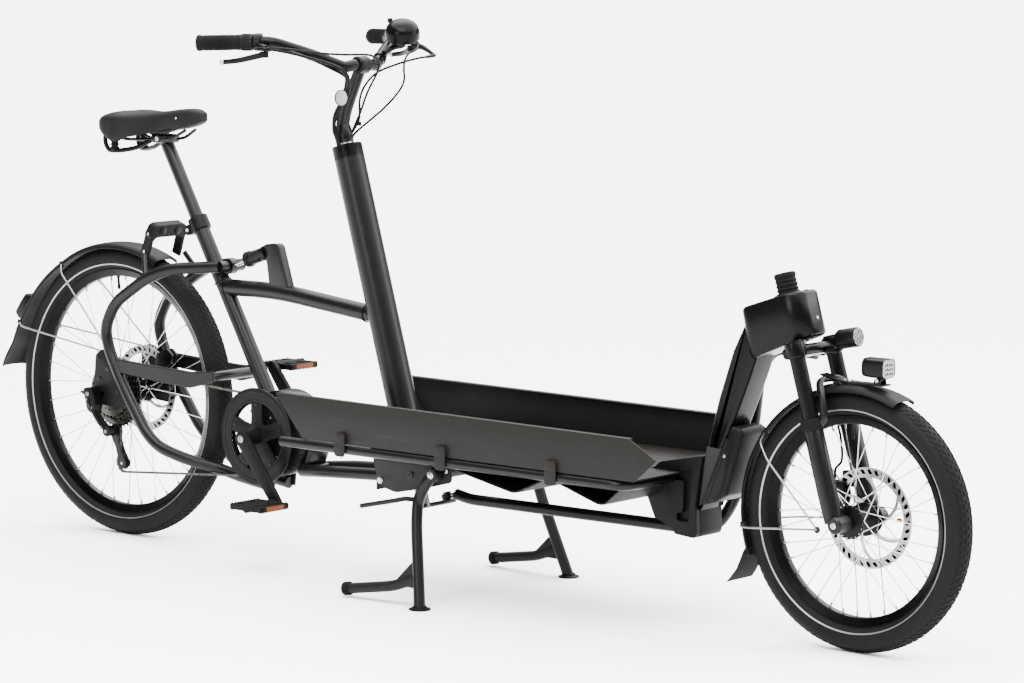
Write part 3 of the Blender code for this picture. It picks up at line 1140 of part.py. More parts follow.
def build_seat():
    head = SEAT_TUBE_TOP + SEAT_UP * 0.205
    parts = [rod(SEAT_TUBE_TOP - SEAT_UP * 0.235, head, POST_RADIUS),
             box(head + Vector((0.002, 0, -0.002)), (0.052, 0.052, 0.022))]
    for hand in (-1, 1):
        rail = [(0.0136, 0.045, 0.9441), (0.0436, 0.040, 0.932), (0.0962, 0.021, 0.933),
                (0.180, 0.021, 0.936), (0.222, 0.016, 0.9585)]
        parts.append(tube(spline([(x, y * hand, z) for x, y, z in rail], 2), 0.0038, 6))
        parts.append(rod((0.0196, 0.046 * hand, 0.905), (0.0196, 0.046 * hand, 0.943), 0.0150, 8))
        parts.append(tube([(0.0196, 0.046 * hand, 0.909), (0.0587, 0.036 * hand, 0.912),
                           (0.1112, 0.020 * hand, 0.930)], 0.0045, 4))
    piece("seat_post", "seat", FRAME_BLACK, fused(parts))
    sections = [(-0.030, 0.040, 0.956, 0.976), (-0.018, 0.064, 0.950, 0.990),
                (0.006, 0.078, 0.9465, 0.9985), (0.0436, 0.080, 0.9460, 1.0020),
                (0.0812, 0.066, 0.9465, 1.0000), (0.115, 0.048, 0.9490, 0.9975),
                (0.160, 0.035, 0.9540, 0.9995), (0.205, 0.029, 0.9600, 1.0040),
                (0.240, 0.025, 0.9670, 1.0055), (0.260, 0.018, 0.9740, 1.0020),
                (0.268, 0.009, 0.9810, 0.9965)]
    rings = []
    for x, half_width, low, high in sections:
        middle, tall = low * 0.55 + high * 0.45, (high - low)
        ring = []
        for k in range(16):
            angle = 2 * math.pi * (k + 0.5) / 16
            c, s = math.cos(angle), math.sin(angle)
            power = 0.62 if s > 0 else 0.45
            height = tall * 0.55 if s > 0 else tall * 0.45
            ring.append(Vector((x, half_width * math.copysign(abs(c) ** 0.75, c),
                                middle + height * math.copysign(abs(s) ** power, s))))
        rings.append(ring)
    piece("saddle", "seat", SADDLE_BLACK, skin(rings))


def build_stand():
    parts = [rod(on_side(STAND_PIVOT, -0.180), on_side(STAND_PIVOT, 0.180), STAND_BAR_RADIUS)]
    for hand in (-1, 1):
        inner, outer = sorted((0.1735 * hand, 0.1960 * hand))
        parts.append(rod(on_side(STAND_PIVOT, inner), on_side(STAND_PIVOT, outer), 0.0155))
        leg = [(1.130, 0.1845, 0.278), (1.1155, 0.1900, 0.262), (1.0925, 0.1930, 0.224),
               (1.1000, 0.206, 0.172), (1.1425, 0.2445, 0.004)]
        leg = [Vector((x, y * hand, z)) for x, y, z in leg]
        parts.append(tube(rounded(leg, 0.028, 1), STAND_LEG_RADIUS, 8))
        parts.append(turned([(0, 0), (0.0235, 0), (0.0235, 0.003), (0.0140, 0.009), (0, 0.009)],
                            (1.1435, 0.245 * hand, 0.0), (0, 0, 1), 12))
        skid = [(1.1270, 0.2310 * hand, 0.0640), (1.060, 0.2350 * hand, 0.0390),
                (0.934, 0.2400 * hand, 0.0190)]
        parts.append(tube(skid, 0.0085, 6))
        parts.append(rod((0.932, 0.240 * hand, 0.0032), (0.926, 0.240 * hand, 0.030), 0.0125, 8))
        low, high = sorted((0.2325 * hand, 0.2370 * hand))
        parts.append(plate([(1.040, 0.033), (1.130, 0.006), (1.134, 0.030), (1.122, 0.066)],
                           low, high))
    lever = [(1.0940, -0.196, 0.222), (1.0850, -0.2265, 0.228), (1.070, -0.232, 0.2235),
             (0.965, -0.232, 0.2000)]
    parts.append(tube(rounded(lever, 0.010, 1), 0.0052, 6))
    piece("stand", "stand", FRAME_BLACK, fused(parts))


def main():
    clear_scene()
    make_bodies()
    build_rear_frame()
    build_cargo_frame()
    build_front_frame()
    build_bay()
    build_drive_unit()
    build_battery()
    build_stand_bracket()
    build_small_frame_parts()
    build_steering_shaft()
    build_stem()
    build_handlebar()
    build_brakes()
    build_bell()
    build_cables()
    build_steering_rod()
    build_fork_crown()
    build_lights()
    build_fork_lowers()
    build_front_fender()
    build_front_brake()
    build_front_wheel()
    build_swingarm()
    build_rear_fender()
    build_ring_lock()
    build_rear_brake()
    build_chain()
    build_derailleur()
    build_rear_wheel()
    build_cranks()
    build_seat()
    build_stand()


main()
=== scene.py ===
import math

import bmesh
import bpy
import numpy as np
from mathutils import Matrix, Vector


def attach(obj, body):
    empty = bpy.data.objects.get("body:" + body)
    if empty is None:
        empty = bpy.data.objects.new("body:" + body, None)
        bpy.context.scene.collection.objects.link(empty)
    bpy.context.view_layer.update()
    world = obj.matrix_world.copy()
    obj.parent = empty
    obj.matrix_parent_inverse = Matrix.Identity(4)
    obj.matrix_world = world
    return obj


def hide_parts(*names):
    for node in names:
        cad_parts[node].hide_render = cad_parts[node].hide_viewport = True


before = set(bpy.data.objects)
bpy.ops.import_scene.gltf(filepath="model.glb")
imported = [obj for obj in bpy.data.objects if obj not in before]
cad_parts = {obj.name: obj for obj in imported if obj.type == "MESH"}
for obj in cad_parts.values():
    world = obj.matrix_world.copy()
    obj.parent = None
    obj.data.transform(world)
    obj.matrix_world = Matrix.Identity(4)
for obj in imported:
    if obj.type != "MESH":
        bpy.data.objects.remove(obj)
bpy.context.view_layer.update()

bl_info = {
    "name": "Cargo Bike Dressing",
    "version": (1, 0, 0),
    "blender": (4, 5, 0),
    "location": "View3D > Sidebar > Cargo Bike",
    "description": "Dresses the frame of an electric cargo bike with detailed pieces and finishes",
    "category": "Object",
}

# Places in the CAD, counted from the ground under the rear axle
SHIFT = Vector((-0.9677, 0.0, 0.0))
HEAD_TILT = 16.2    # degrees that both steering axes lean back
TILT = math.radians(HEAD_TILT)
UP = Vector((-math.sin(TILT), 0.0, math.cos(TILT)))
FORWARD = Vector((math.cos(TILT), 0.0, math.sin(TILT)))
LEFT = Vector((0.0, 1.0, 0.0))
SKY = Vector((0.0, 0.0, 1.0))
COLUMN_TOP = Vector((0.7107, 0.0, 0.945))
HEAD = Vector((1.905, 0.0, 0.728))
REAR_RADIUS = 0.3395
FRONT_RADIUS = 0.2634
WHEELBASE = 2.087
REAR_AXLE = Vector((0.0, 0.0, REAR_RADIUS))
FRONT_AXLE = Vector((WHEELBASE, 0.0, FRONT_RADIUS))
CRANK_AXLE = Vector((0.483, 0.0, 0.283))
MOTOR = Vector((0.525, 0.0, 0.283))
CRANK_WAY = math.atan2(-0.135, 0.105)
SEAT_TOP = Vector((0.24, 0.0, 0.7606))
SEAT_UP = Vector((-0.5, 0.0, math.sqrt(0.75)))
SHOCK_REAR = Vector((0.347, 0.0, 0.655))
SHOCK_WAY = Vector((0.952, 0.0, 0.3062))
STAND_PIVOT = Vector((1.13, 0.0, 0.278))
BAR_MIDDLE = Vector((0.755, 0.0, 1.122))
BELL = Vector((0.757, 0.135, 1.174))
CHAIN_SIDE = -0.05    # the chain's plane
UPPER_PULLEY = Vector((0.012, CHAIN_SIDE, 0.252))
LOWER_PULLEY = Vector((0.042, CHAIN_SIDE, 0.178))
LINK_SIDE = 0.08    # the steering rod's plane


def column_point(height, forward=0.0, side=0.0):
    """Point counted from the top of the steering column, along its axis."""
    return COLUMN_TOP + UP * height + FORWARD * forward + LEFT * side


def head_point(height, forward=0.0, side=0.0):
    """Point counted from the fork head, along the steering axis."""
    return HEAD + UP * height + FORWARD * forward + LEFT * side


def leg_point(depth, hand, forward=0.0, side=0.0):
    """Point on a fork leg's axis, at a depth below the head."""
    return head_point(-depth, 0.032 + forward, (0.062 + side) * hand)


def bar_point(hand, distance):
    """Point on the grip's axis, counted inwards from the end of the handlebar."""
    inward = Vector((0.8764, -0.4808 * hand, 0.0233)).normalized()
    return Vector((0.531, 0.279 * hand, 1.172)) + inward * distance


def lever_pivot(hand):
    """Pivot of a brake lever on its clamp."""
    return Vector((0.69, 0.235 * hand, 1.15))


def crank_end(hand):
    """Pedal axle's place, at the end of a crank arm."""
    turn = CRANK_WAY if hand < 0 else CRANK_WAY + math.pi
    return CRANK_AXLE + Vector((math.cos(turn), 0.0, math.sin(turn))) * 0.17


def on_side(point, side):
    """The same point at another distance to the left."""
    return Vector((point[0], side, point[-1]))


def handed(marks, hand):
    """Marks given for the left side, on the left (1) or on the right (-1)."""
    return [(x, y * hand, z) for x, y, z in marks]


def around(centre, radius, angle, side=0.0):
    """Point at a radius and an angle round an axle, in degrees from +X towards +Z."""
    turn = math.radians(angle)
    return Vector((
        centre[0] + radius * math.cos(turn), side, centre[-1] + radius * math.sin(turn)))


# Materials


class Value:
    """Output socket of a node, written in sums: 1 - mask adds the nodes that it needs."""

    def __init__(self, tree, socket):
        self.tree = tree
        self.socket = socket

    def sum_of(self, operation, *terms):
        return add_node(
            self.tree, "ShaderNodeMath", {"operation": operation}, dict(enumerate(terms)))

    def __add__(self, other):
        return self.sum_of("ADD", self, other)

    def __radd__(self, other):
        return self.sum_of("ADD", other, self)

    def __sub__(self, other):
        return self.sum_of("SUBTRACT", self, other)

    def __rsub__(self, other):
        return self.sum_of("SUBTRACT", other, self)

    def __mul__(self, other):
        return self.sum_of("MULTIPLY", self, other)

    def __truediv__(self, other):
        return self.sum_of("DIVIDE", self, other)

    def root(self):
        return self.sum_of("SQRT", self)

    def turn_to(self, other):
        """Angle of the point (other, self)."""
        return self.sum_of("ARCTAN2", self, other)

    def wave(self):
        return self.sum_of("SINE", self)


def put(tree, socket, value):
    """Feed a socket with a number, a colour or another socket."""
    if isinstance(value, Value):
        tree.links.new(value.socket, socket)
    else:
        socket.default_value = value


def add_node(tree, kind, settings=None, inputs=None, output=0):
    """Any node: its settings first, then its sockets; gives one of its outputs."""
    made = tree.nodes.new(kind)
    for label, value in (settings or {}).items():
        setattr(made, label, value)
    for label, value in (inputs or {}).items():
        put(tree, made.inputs[label], value)
    return Value(tree, made.outputs[output])


class Finish:
    """One material with its nodes, for one kind of surface of the bike."""

    def __init__(self, name, colour, roughness, metallic=0.0, **constants):
        self.material = bpy.data.materials.new(name)
        self.material.use_nodes = True
        self.tree = self.material.node_tree
        self.shader = self.tree.nodes["Principled BSDF"]
        self.material.diffuse_color = (*colour, 1.0)
        self.colour = (*colour, 1.0)
        self.feed("Base Color", self.colour)
        self.feed("Roughness", roughness)
        self.feed("Metallic", metallic)
        for label, value in constants.items():
            self.feed(label.replace("_", " "), value)
        self.place = self.node("ShaderNodeTexCoord", output="Object")

    def feed(self, label, value):
        put(self.tree, self.shader.inputs[label], value)

    def node(self, kind, settings=None, inputs=None, output=0):
        return add_node(self.tree, kind, settings, inputs, output)

    def noise(self, scale, detail=3.0, vector=None):
        """Cloudy value from 0 to 1."""
        return self.node("ShaderNodeTexNoise", inputs={
            "Vector": vector or self.place, "Scale": scale, "Detail": detail})

    def cells(self, scale, vector=None):
        """Distance to the nearest of many scattered points."""
        return self.node("ShaderNodeTexVoronoi", inputs={
            "Vector": vector or self.place, "Scale": scale})

    def stretched(self, factors):
        """Object coordinates stretched along the axes."""
        return self.node("ShaderNodeMapping", inputs={"Vector": self.place, "Scale": factors})

    def along(self, axis):
        return self.node("ShaderNodeSeparateXYZ", inputs={"Vector": self.place}, output=axis)

    def blend(self, factor, first, second):
        """Colour between two colours."""
        return self.node(
            "ShaderNodeMix", {"data_type": "RGBA"}, {0: factor, 6: first, 7: second}, 2)

    def step(self, value, low, high):
        """0 below low, 1 above high, and smooth between."""
        return self.node("ShaderNodeMapRange", {"interpolation_type": "SMOOTHSTEP"},
                         {0: value, 1: low, 2: high})

    def bump(self, height, depth):
        """Relief of a height from 0 to 1, deep at most depth metres."""
        self.feed("Normal", self.node("ShaderNodeBump", inputs={
            "Strength": 1.0, "Distance": depth, "Height": height}))

    def wheel_place(self, centre):
        """Radius and angle round an axle."""
        across = self.along("X") - (centre.x + SHIFT.x)
        rise = self.along("Z") - centre.z
        return (across * across + rise * rise).root(), rise.turn_to(across)


def shade(colour, factor):
    """The colour made lighter or darker, with its fourth number."""
    return (*[min(1.0, part * factor) for part in colour[:3]], 1.0)


def tint(colour, factor):
    """The colour made lighter or darker."""
    return tuple(part * factor for part in colour)


def painted(name, colour, roughness, peel, specular=0.12):
    """Sprayed paint: slight ripple, uneven gloss and a little settled dust."""
    finish = Finish(name, colour, roughness, Specular_IOR_Level=specular)
    cloud = finish.noise(7.0, 4.0)
    dust = finish.step(finish.noise(90.0, 6.0), 0.5, 0.78) * cloud
    finish.feed("Base Color", finish.blend(dust * 0.5, finish.colour, shade(colour, 2.4)))
    finish.feed("Roughness", roughness + cloud * 0.1 - 0.05 + dust * 0.12)
    finish.bump(finish.noise(420.0, 2.0), peel)
    return finish.material


def powder_coated(name, colour, roughness):
    """Fine textured powder coat with faint scuffs along the bike."""
    finish = Finish(name, colour, roughness, Specular_IOR_Level=0.1)
    speckle = finish.noise(1500.0, 2.0)
    scuff = finish.noise(30.0, 5.0, finish.stretched((0.25, 1.0, 3.0)))
    rub = finish.step(scuff, 0.58, 0.8)
    finish.feed("Base Color", finish.blend(
        rub * 0.35 + speckle * 0.25, finish.colour, shade(colour, 1.7)))
    finish.feed("Roughness", roughness + speckle * 0.14 - rub * 0.16)
    finish.bump(speckle, 0.00022)
    return finish.material


def moulded(name, colour, roughness, grain=1100.0, depth=0.00012):
    """Moulded plastic or rubber with a pebbled grain."""
    finish = Finish(name, colour, roughness, Specular_IOR_Level=0.06)
    pebble = finish.cells(grain)
    cloud = finish.noise(12.0, 4.0)
    finish.feed("Base Color", finish.blend(cloud * 0.6, finish.colour, shade(colour, 1.9)))
    finish.feed("Roughness", roughness + cloud * 0.16 - 0.08 + pebble * 0.08)
    finish.bump(pebble, depth)
    return finish.material


def metal(name, colour, roughness, stain=0.35):
    """Drawn or cast metal: fine brushing and darker stains."""
    finish = Finish(name, colour, roughness, 1.0)
    brush = finish.noise(260.0, 3.0)
    cloud = finish.step(finish.noise(26.0, 5.0), 0.42, 0.75)
    finish.feed("Base Color", finish.blend(cloud * stain, finish.colour, shade(colour, 0.55)))
    finish.feed("Roughness", roughness + brush * 0.14 - 0.07 + cloud * 0.1)
    finish.bump(brush, 0.00003)
    return finish.material


def turned_steel(name, colour, centre):
    """Disc steel ground in rings, with darker clouds."""
    finish = Finish(name, colour, 0.26, 1.0)
    radius = finish.wheel_place(centre)[0]
    rings = (radius * 16000.0 + finish.noise(300.0, 2.0) * 4.0).wave() * 0.5 + 0.5
    cloud = finish.noise(60.0, 4.0)
    finish.feed("Base Color", finish.blend(cloud * 0.35, finish.colour, shade(colour, 0.62)))
    finish.feed("Roughness", 0.2 + rings * 0.1 + cloud * 0.12)
    finish.bump(rings, 0.00002)
    return finish.material


def tyre_rubber(name, colour, centre, tread_radius):
    """Tyre: fine ribs round the sidewall and a dusty, duller tread."""
    finish = Finish(name, colour, 0.72, Specular_IOR_Level=0.07)
    radius, angle = finish.wheel_place(centre)
    cloud = finish.noise(16.0, 5.0)
    tread = finish.step(radius, tread_radius - 0.014, tread_radius - 0.003)
    ribs = (radius * 4200.0).wave() * (1 - tread)
    knurl = (angle * 620.0).wave() * finish.step(radius, tread_radius - 0.03, tread_radius - 0.026)
    knurl = knurl * (1 - finish.step(radius, tread_radius - 0.021, tread_radius - 0.017))
    dust = tread * finish.step(cloud, 0.35, 0.7)
    finish.feed("Base Color", finish.blend(
        dust * 0.55 + cloud * 0.25, finish.colour, shade(colour, 3.2)))
    finish.feed("Roughness", 0.6 + dust * 0.22 + cloud * 0.1)
    finish.bump(ribs * 0.3 + knurl * 0.35 + finish.noise(700.0, 3.0), 0.00018)
    return finish.material


def leather_like(name, colour):
    """Saddle cover: small pebbled grain, polished where it is sat on."""
    finish = Finish(name, colour, 0.55, Specular_IOR_Level=0.08)
    grain = finish.cells(620.0, finish.stretched((0.8, 1.0, 1.0)))
    fine = finish.noise(1500.0, 3.0)
    worn = finish.step(finish.noise(14.0, 3.0), 0.4, 0.72)
    finish.feed("Base Color", finish.blend(
        worn * 0.5 + grain * 0.35, finish.colour, shade(colour, 2.1)))
    finish.feed("Roughness", 0.62 - worn * 0.14 + grain * 0.1)
    finish.bump(grain * 0.8 + fine * 0.3, 0.00022)
    return finish.material


def lens(name, colour, ribs, roughness=0.08, shine=0.5):
    """Clear cover of a lamp or reflector with moulded prisms behind it."""
    finish = Finish(name, colour, roughness, Specular_IOR_Level=shine * 0.5, Coat_Weight=shine,
                    Coat_Roughness=0.05)
    prisms = (finish.along("Y") * ribs).wave() * (finish.along("Z") * ribs).wave()
    spread = finish.step(prisms, -0.7, 0.9)
    finish.feed("Base Color", finish.blend(spread, shade(colour, 0.3), finish.colour))
    finish.feed("Roughness", roughness + spread * 0.1)
    finish.bump(prisms * 0.5 + 0.5, 0.0004)
    return finish.material


def studio_floor(name, colour):
    """Seamless pale paper."""
    finish = Finish(name, colour, 0.62)
    cloud = finish.noise(1.3, 3.0)
    fibre = finish.noise(500.0, 2.0)
    finish.feed("Base Color", finish.blend(cloud * 0.3, finish.colour, shade(colour, 0.97)))
    finish.feed("Roughness", 0.58 + fibre * 0.1)
    return finish.material


FINISHES = {}


def make_finishes(colours):
    """Every material of the bike, from the colours that the user may change."""
    black, walls, rubber, steel, battery = map(tuple, (
        colours.paint, colours.bay, colours.rubber, colours.steel, colours.battery))
    for name, make, *settings in (
            ("satin_paint", painted, black, 0.33, 0.00006),
            ("gloss_paint", painted, tint(black, 0.6), 0.27, 0.00004, 0.065),
            ("bay_paint", powder_coated, walls, 0.5),
            ("bracket_paint", powder_coated, tint(walls, 0.62), 0.46),
            ("moulded_black", moulded, black, 0.5),
            ("smooth_black", moulded, tint(black, 0.8), 0.28, 1800.0, 0.00003),
            ("bell_paint", painted, tint(black, 0.6), 0.25, 0.00004, 0.05),
            ("fender_black", moulded, tint(black, 0.9), 0.46, 1600.0, 0.00005),
            ("grip_rubber", moulded, rubber, 0.72, 900.0, 0.00025),
            ("cable_black", moulded, rubber, 0.34, 2200.0, 0.00003),
            ("case_grey", moulded, battery, 0.42, 1400.0, 0.00008),
            ("case_dark", moulded, tint(black, 1.5), 0.4, 1400.0, 0.00008),
            ("front_rubber", tyre_rubber, rubber, FRONT_AXLE, FRONT_RADIUS),
            ("rear_rubber", tyre_rubber, rubber, REAR_AXLE, REAR_RADIUS),
            ("stripe", metal, (0.2, 0.205, 0.21), 0.42, 0.2),
            ("rim_black", metal, (0.004, 0.004, 0.0042), 0.34, 0.3),
            ("bright_steel", metal, steel, 0.2),
            ("dull_steel", metal, tint(steel, 0.55), 0.34),
            ("dark_steel", metal, (0.014, 0.014, 0.0145), 0.36),
            ("chain_steel", metal, (0.045, 0.043, 0.039), 0.34, 0.6),
            ("front_disc", turned_steel, (0.22, 0.217, 0.213), FRONT_AXLE),
            ("rear_disc", turned_steel, (0.18, 0.177, 0.173), REAR_AXLE),
            ("saddle_cover", leather_like, (0.0018, 0.0018, 0.0018)),
            ("lamp_lens", lens, (0.24, 0.25, 0.26), 1100.0),
            ("white_reflector", lens, (0.24, 0.24, 0.235), 1300.0),
            ("amber_reflector", lens, (0.15, 0.038, 0.005), 2600.0, 0.2, 0.08),
            ("red_lens", lens, (0.13, 0.004, 0.003), 1800.0, 0.2, 0.12)):
        FINISHES[name] = make(name, *settings)


# Shapes: each is a list of points and a list of faces


def skin(rings, loop=False, caps=True):
    """Surface through rings of equally many points."""
    count = len(rings[0])
    points = [Vector(point) for ring in rings for point in ring]
    faces = []
    for row in range(len(rings) if loop else len(rings) - 1):
        low = row * count
        high = (row + 1) % len(rings) * count
        for k in range(count):
            after = (k + 1) % count
            faces.append((low + k, low + after, high + after, high + k))
    if caps and not loop:
        faces.append(tuple(range(count))[::-1])
        faces.append(tuple(range(len(points) - count, len(points))))
    return points, faces


def spline(marks, steps=8):
    """Smooth path through the marks."""
    marks = [Vector(mark) for mark in marks]
    marks = [marks[0] * 2 - marks[1]] + marks + [marks[-1] * 2 - marks[-2]]
    path = []
    for a, b, c, d in zip(marks, marks[1:], marks[2:], marks[3:]):
        for k in range(steps):
            t = k / steps
            path.append(0.5 * (2 * b + (c - a) * t + (2 * a - 5 * b + 4 * c - d) * t * t
                               + (3 * b - a - 3 * c + d) * t ** 3))
    path.append(marks[-2])
    return path


def corner_curve(before, corner, after, radius, share, steps):
    """Points of a curve that cuts a corner, using at most a share of its sides."""
    reach = min(radius, (before - corner).length * share, (after - corner).length * share)
    start = corner + (before - corner).normalized() * reach
    end = corner + (after - corner).normalized() * reach
    points = []
    for k in range(steps + 1):
        t = k / steps
        points.append(start * (1 - t) ** 2 + corner * 2 * t * (1 - t) + end * t * t)
    return points


def rounded(marks, radius, steps=8):
    """Line of marks with its corners cut by curves."""
    marks = [Vector(mark) for mark in marks]
    path = [marks[0]]
    for corner in zip(marks, marks[1:], marks[2:]):
        path += corner_curve(*corner, radius, 0.49, steps)
    path.append(marks[-1])
    return path


def tube(path, radius, sides=20, depth=1.0, upright=None, square=1.0):
    """Bar along a path. A square below 1 makes its section boxy, and depth flattens it."""
    path = [Vector(point) for point in path]
    radii = list(radius) if isinstance(radius, (list, tuple)) else [radius] * len(path)
    normal = Vector(upright) if upright else (path[1] - path[0]).orthogonal()
    rings = []
    for k, (point, size) in enumerate(zip(path, radii)):
        heading = (path[min(k + 1, len(path) - 1)] - path[max(k - 1, 0)]).normalized()
        normal = (normal - heading * normal.dot(heading)).normalized()
        across = heading.cross(normal)
        ring = []
        for j in range(sides):
            angle = 2 * math.pi * (j + 0.5) / sides
            c = math.copysign(abs(math.cos(angle)) ** square, math.cos(angle))
            s = math.copysign(abs(math.sin(angle)) ** square, math.sin(angle))
            ring.append(point + normal * size * c + across * size * depth * s)
        rings.append(ring)
    return skin(rings)


def turned(profile, origin, axis, sides=40):
    """Turned shape from (radius, height) points; a profile that leaves the axis is a ring."""
    axis = Vector(axis).normalized()
    across = LEFT if abs(axis.y) < 0.5 else Vector((1.0, 0.0, 0.0))
    across = (across - axis * across.dot(axis)).normalized()
    other = axis.cross(across)
    origin = Vector(origin)
    core = profile[0][0] < 1e-9
    rows = profile[1:-1] if core else profile
    rings = []
    for radius, height in rows:
        rings.append([origin + axis * height + across * radius * math.cos(2 * math.pi * k / sides)
                      + other * radius * math.sin(2 * math.pi * k / sides) for k in range(sides)])
    return skin(rings, loop=not core)


def rod(start, end, radius, sides=24, edge=0.0):
    """Straight round bar; edge breaks its rims."""
    length = (Vector(end) - Vector(start)).length
    if edge:
        profile = [(0, 0), (radius - edge, 0), (radius, edge), (radius, length - edge),
                   (radius - edge, length), (0, length)]
    else:
        profile = [(0, 0), (radius, 0), (radius, length), (0, length)]
    return turned(profile, start, Vector(end) - Vector(start), sides)


def axle_rod(centre, hand, near, far, radius, sides=24, edge=0.0):
    """Round bar across the bike, between two distances from its middle."""
    low, high = sorted((near * hand, far * hand))
    return rod(on_side(centre, low), on_side(centre, high), radius, sides, edge)


def sleeve(start, end, outer, inner, sides=32, edge=0.0006):
    """Straight ring or tube with a bore."""
    length = (Vector(end) - Vector(start)).length
    return turned([
        (inner, 0), (outer - edge, 0), (outer, edge), (outer, length - edge),
        (outer - edge, length), (inner, length)], start, Vector(end) - Vector(start), sides)


def inset(outline, distance):
    """Outline moved inwards."""
    marks = [Vector((point[0], point[1])) for point in outline]
    area = sum(a.x * b.y - b.x * a.y for a, b in zip(marks, marks[1:] + marks[:1]))
    turn = 1.0 if area > 0 else -1.0
    moved = []
    for before, here, after in zip(marks[-1:] + marks[:-1], marks, marks[1:] + marks[:1]):
        first = (here - before).normalized()
        second = (after - here).normalized()
        inward = Vector((-first.y - second.y, first.x + second.x)) * turn
        inward.normalize()
        lean = max(0.4, inward.dot(Vector((-first.y, first.x)) * turn))
        moved.append(here + inward * (distance / lean))
    return moved


def curved(outline, radius, steps=4):
    """Closed outline of (x, z) points with rounded corners."""
    marks = [Vector((point[0], point[1])) for point in outline]
    path = []
    for corner in zip(marks[-1:] + marks[:-1], marks, marks[1:] + marks[:1]):
        path += corner_curve(*corner, radius, 0.45, steps)
    return path


def plate(outline, low, high, edge=0.0008, steps=2):
    """Outline of (x, z) points made solid between two distances to the left, with soft rims."""
    layers = []
    for k in range(steps + 1):
        turn = math.pi / 2 * k / steps
        layers.append((edge * (1 - math.sin(turn)), low + edge * (1 - math.cos(turn))))
    layers += [(shrink, high + low - side) for shrink, side in reversed(layers)]
    rings = []
    for shrink, side in layers:
        shape = inset(outline, shrink) if shrink > 1e-9 else outline
        rings.append([Vector((point[0], side, point[1])) for point in shape])
    return skin(rings)


def side_plate(hand, outline, near, far, edge=0.0008):
    low, high = sorted((near * hand, far * hand))
    return plate(outline, low, high, edge)


def box(centre, size, tilt=0.0, turn=0.0, edge=0.001, steps=3):
    """Block with soft edges, tilted nose up and turned, in degrees."""
    turning = (Matrix.Rotation(math.radians(turn), 3, "Z")
               @ Matrix.Rotation(math.radians(-tilt), 3, "Y"))
    half = [part / 2 for part in size]
    edge = min(edge, min(half) * 0.9)
    corners = [(half[0], half[2]), (-half[0], half[2]), (-half[0], -half[2]), (half[0], -half[2])]
    points, faces = plate(curved(corners, edge * 1.6, steps), -half[1], half[1], edge, steps)
    return [Vector(centre) + turning @ point for point in points], faces


def arc(centre, radius, count, start, stop):
    """Outline points on an arc, in degrees from +X towards +Z."""
    points = []
    for k in range(count):
        angle = math.radians(start + (stop - start) * k / (count - 1))
        points.append((
            centre[0] + radius * math.cos(angle), centre[-1] + radius * math.sin(angle)))
    return points


def toothed(centre, root, tip, teeth):
    """Outline of a sprocket."""
    outline = []
    for k in range(teeth):
        for share, radius in ((0.0, root), (0.26, root), (0.42, tip), (0.58, tip), (0.74, root)):
            turn = 2 * math.pi * (k + share) / teeth
            outline.append((
                centre[0] + radius * math.cos(turn), centre[-1] + radius * math.sin(turn)))
    return outline


def ball(centre, radius, sides):
    """Round knob."""
    rows = sides // 2
    profile = [(0, -radius)]
    for k in range(1, rows):
        turn = math.pi * k / rows
        profile.append((radius * math.sin(turn), -radius * math.cos(turn)))
    profile.append((0, radius))
    return turned(profile, centre, SKY, sides)


def moved(shape, offset):
    points, faces = shape
    return [point + Vector(offset) for point in points], faces


def mirrored(shape):
    """The same shape on the other side of the bike."""
    points, faces = shape
    return [
        Vector((point.x, -point.y, point.z)) for point in points], [face[::-1] for face in faces]


def fender_sheet(centre, radius_at, half_width, drop, start, stop, count, lip=0.0018):
    """Curved mudguard sheet with a rolled edge."""
    section = [(0.0, 0.0), (0.25, 0.012), (0.5, 0.065), (0.7, 0.16), (0.84, 0.34), (0.94, 0.62),
               (1.0, 1.0)]
    rings = []
    for k in range(count):
        angle = start + (stop - start) * k / (count - 1)
        radius = radius_at(angle)
        turn = math.radians(angle)
        way = Vector((math.cos(turn), 0.0, math.sin(turn)))
        ring = []
        for side, fall in [(-a, b) for a, b in reversed(section)] + section[1:]:
            ring.append(Vector(centre) + way * (radius - drop * fall) + LEFT * side * half_width)
        for side, fall in section[::-1] + [(-a, b) for a, b in section[1:]]:
            ring.append(Vector(centre) + way * (radius - lip - drop * fall * 1.03)
                        + LEFT * side * (half_width - lip))
        rings.append(ring)
    return skin(rings)


SHARP_EDGE = 34.0    # degrees between two faces, above which their edge stays sharp


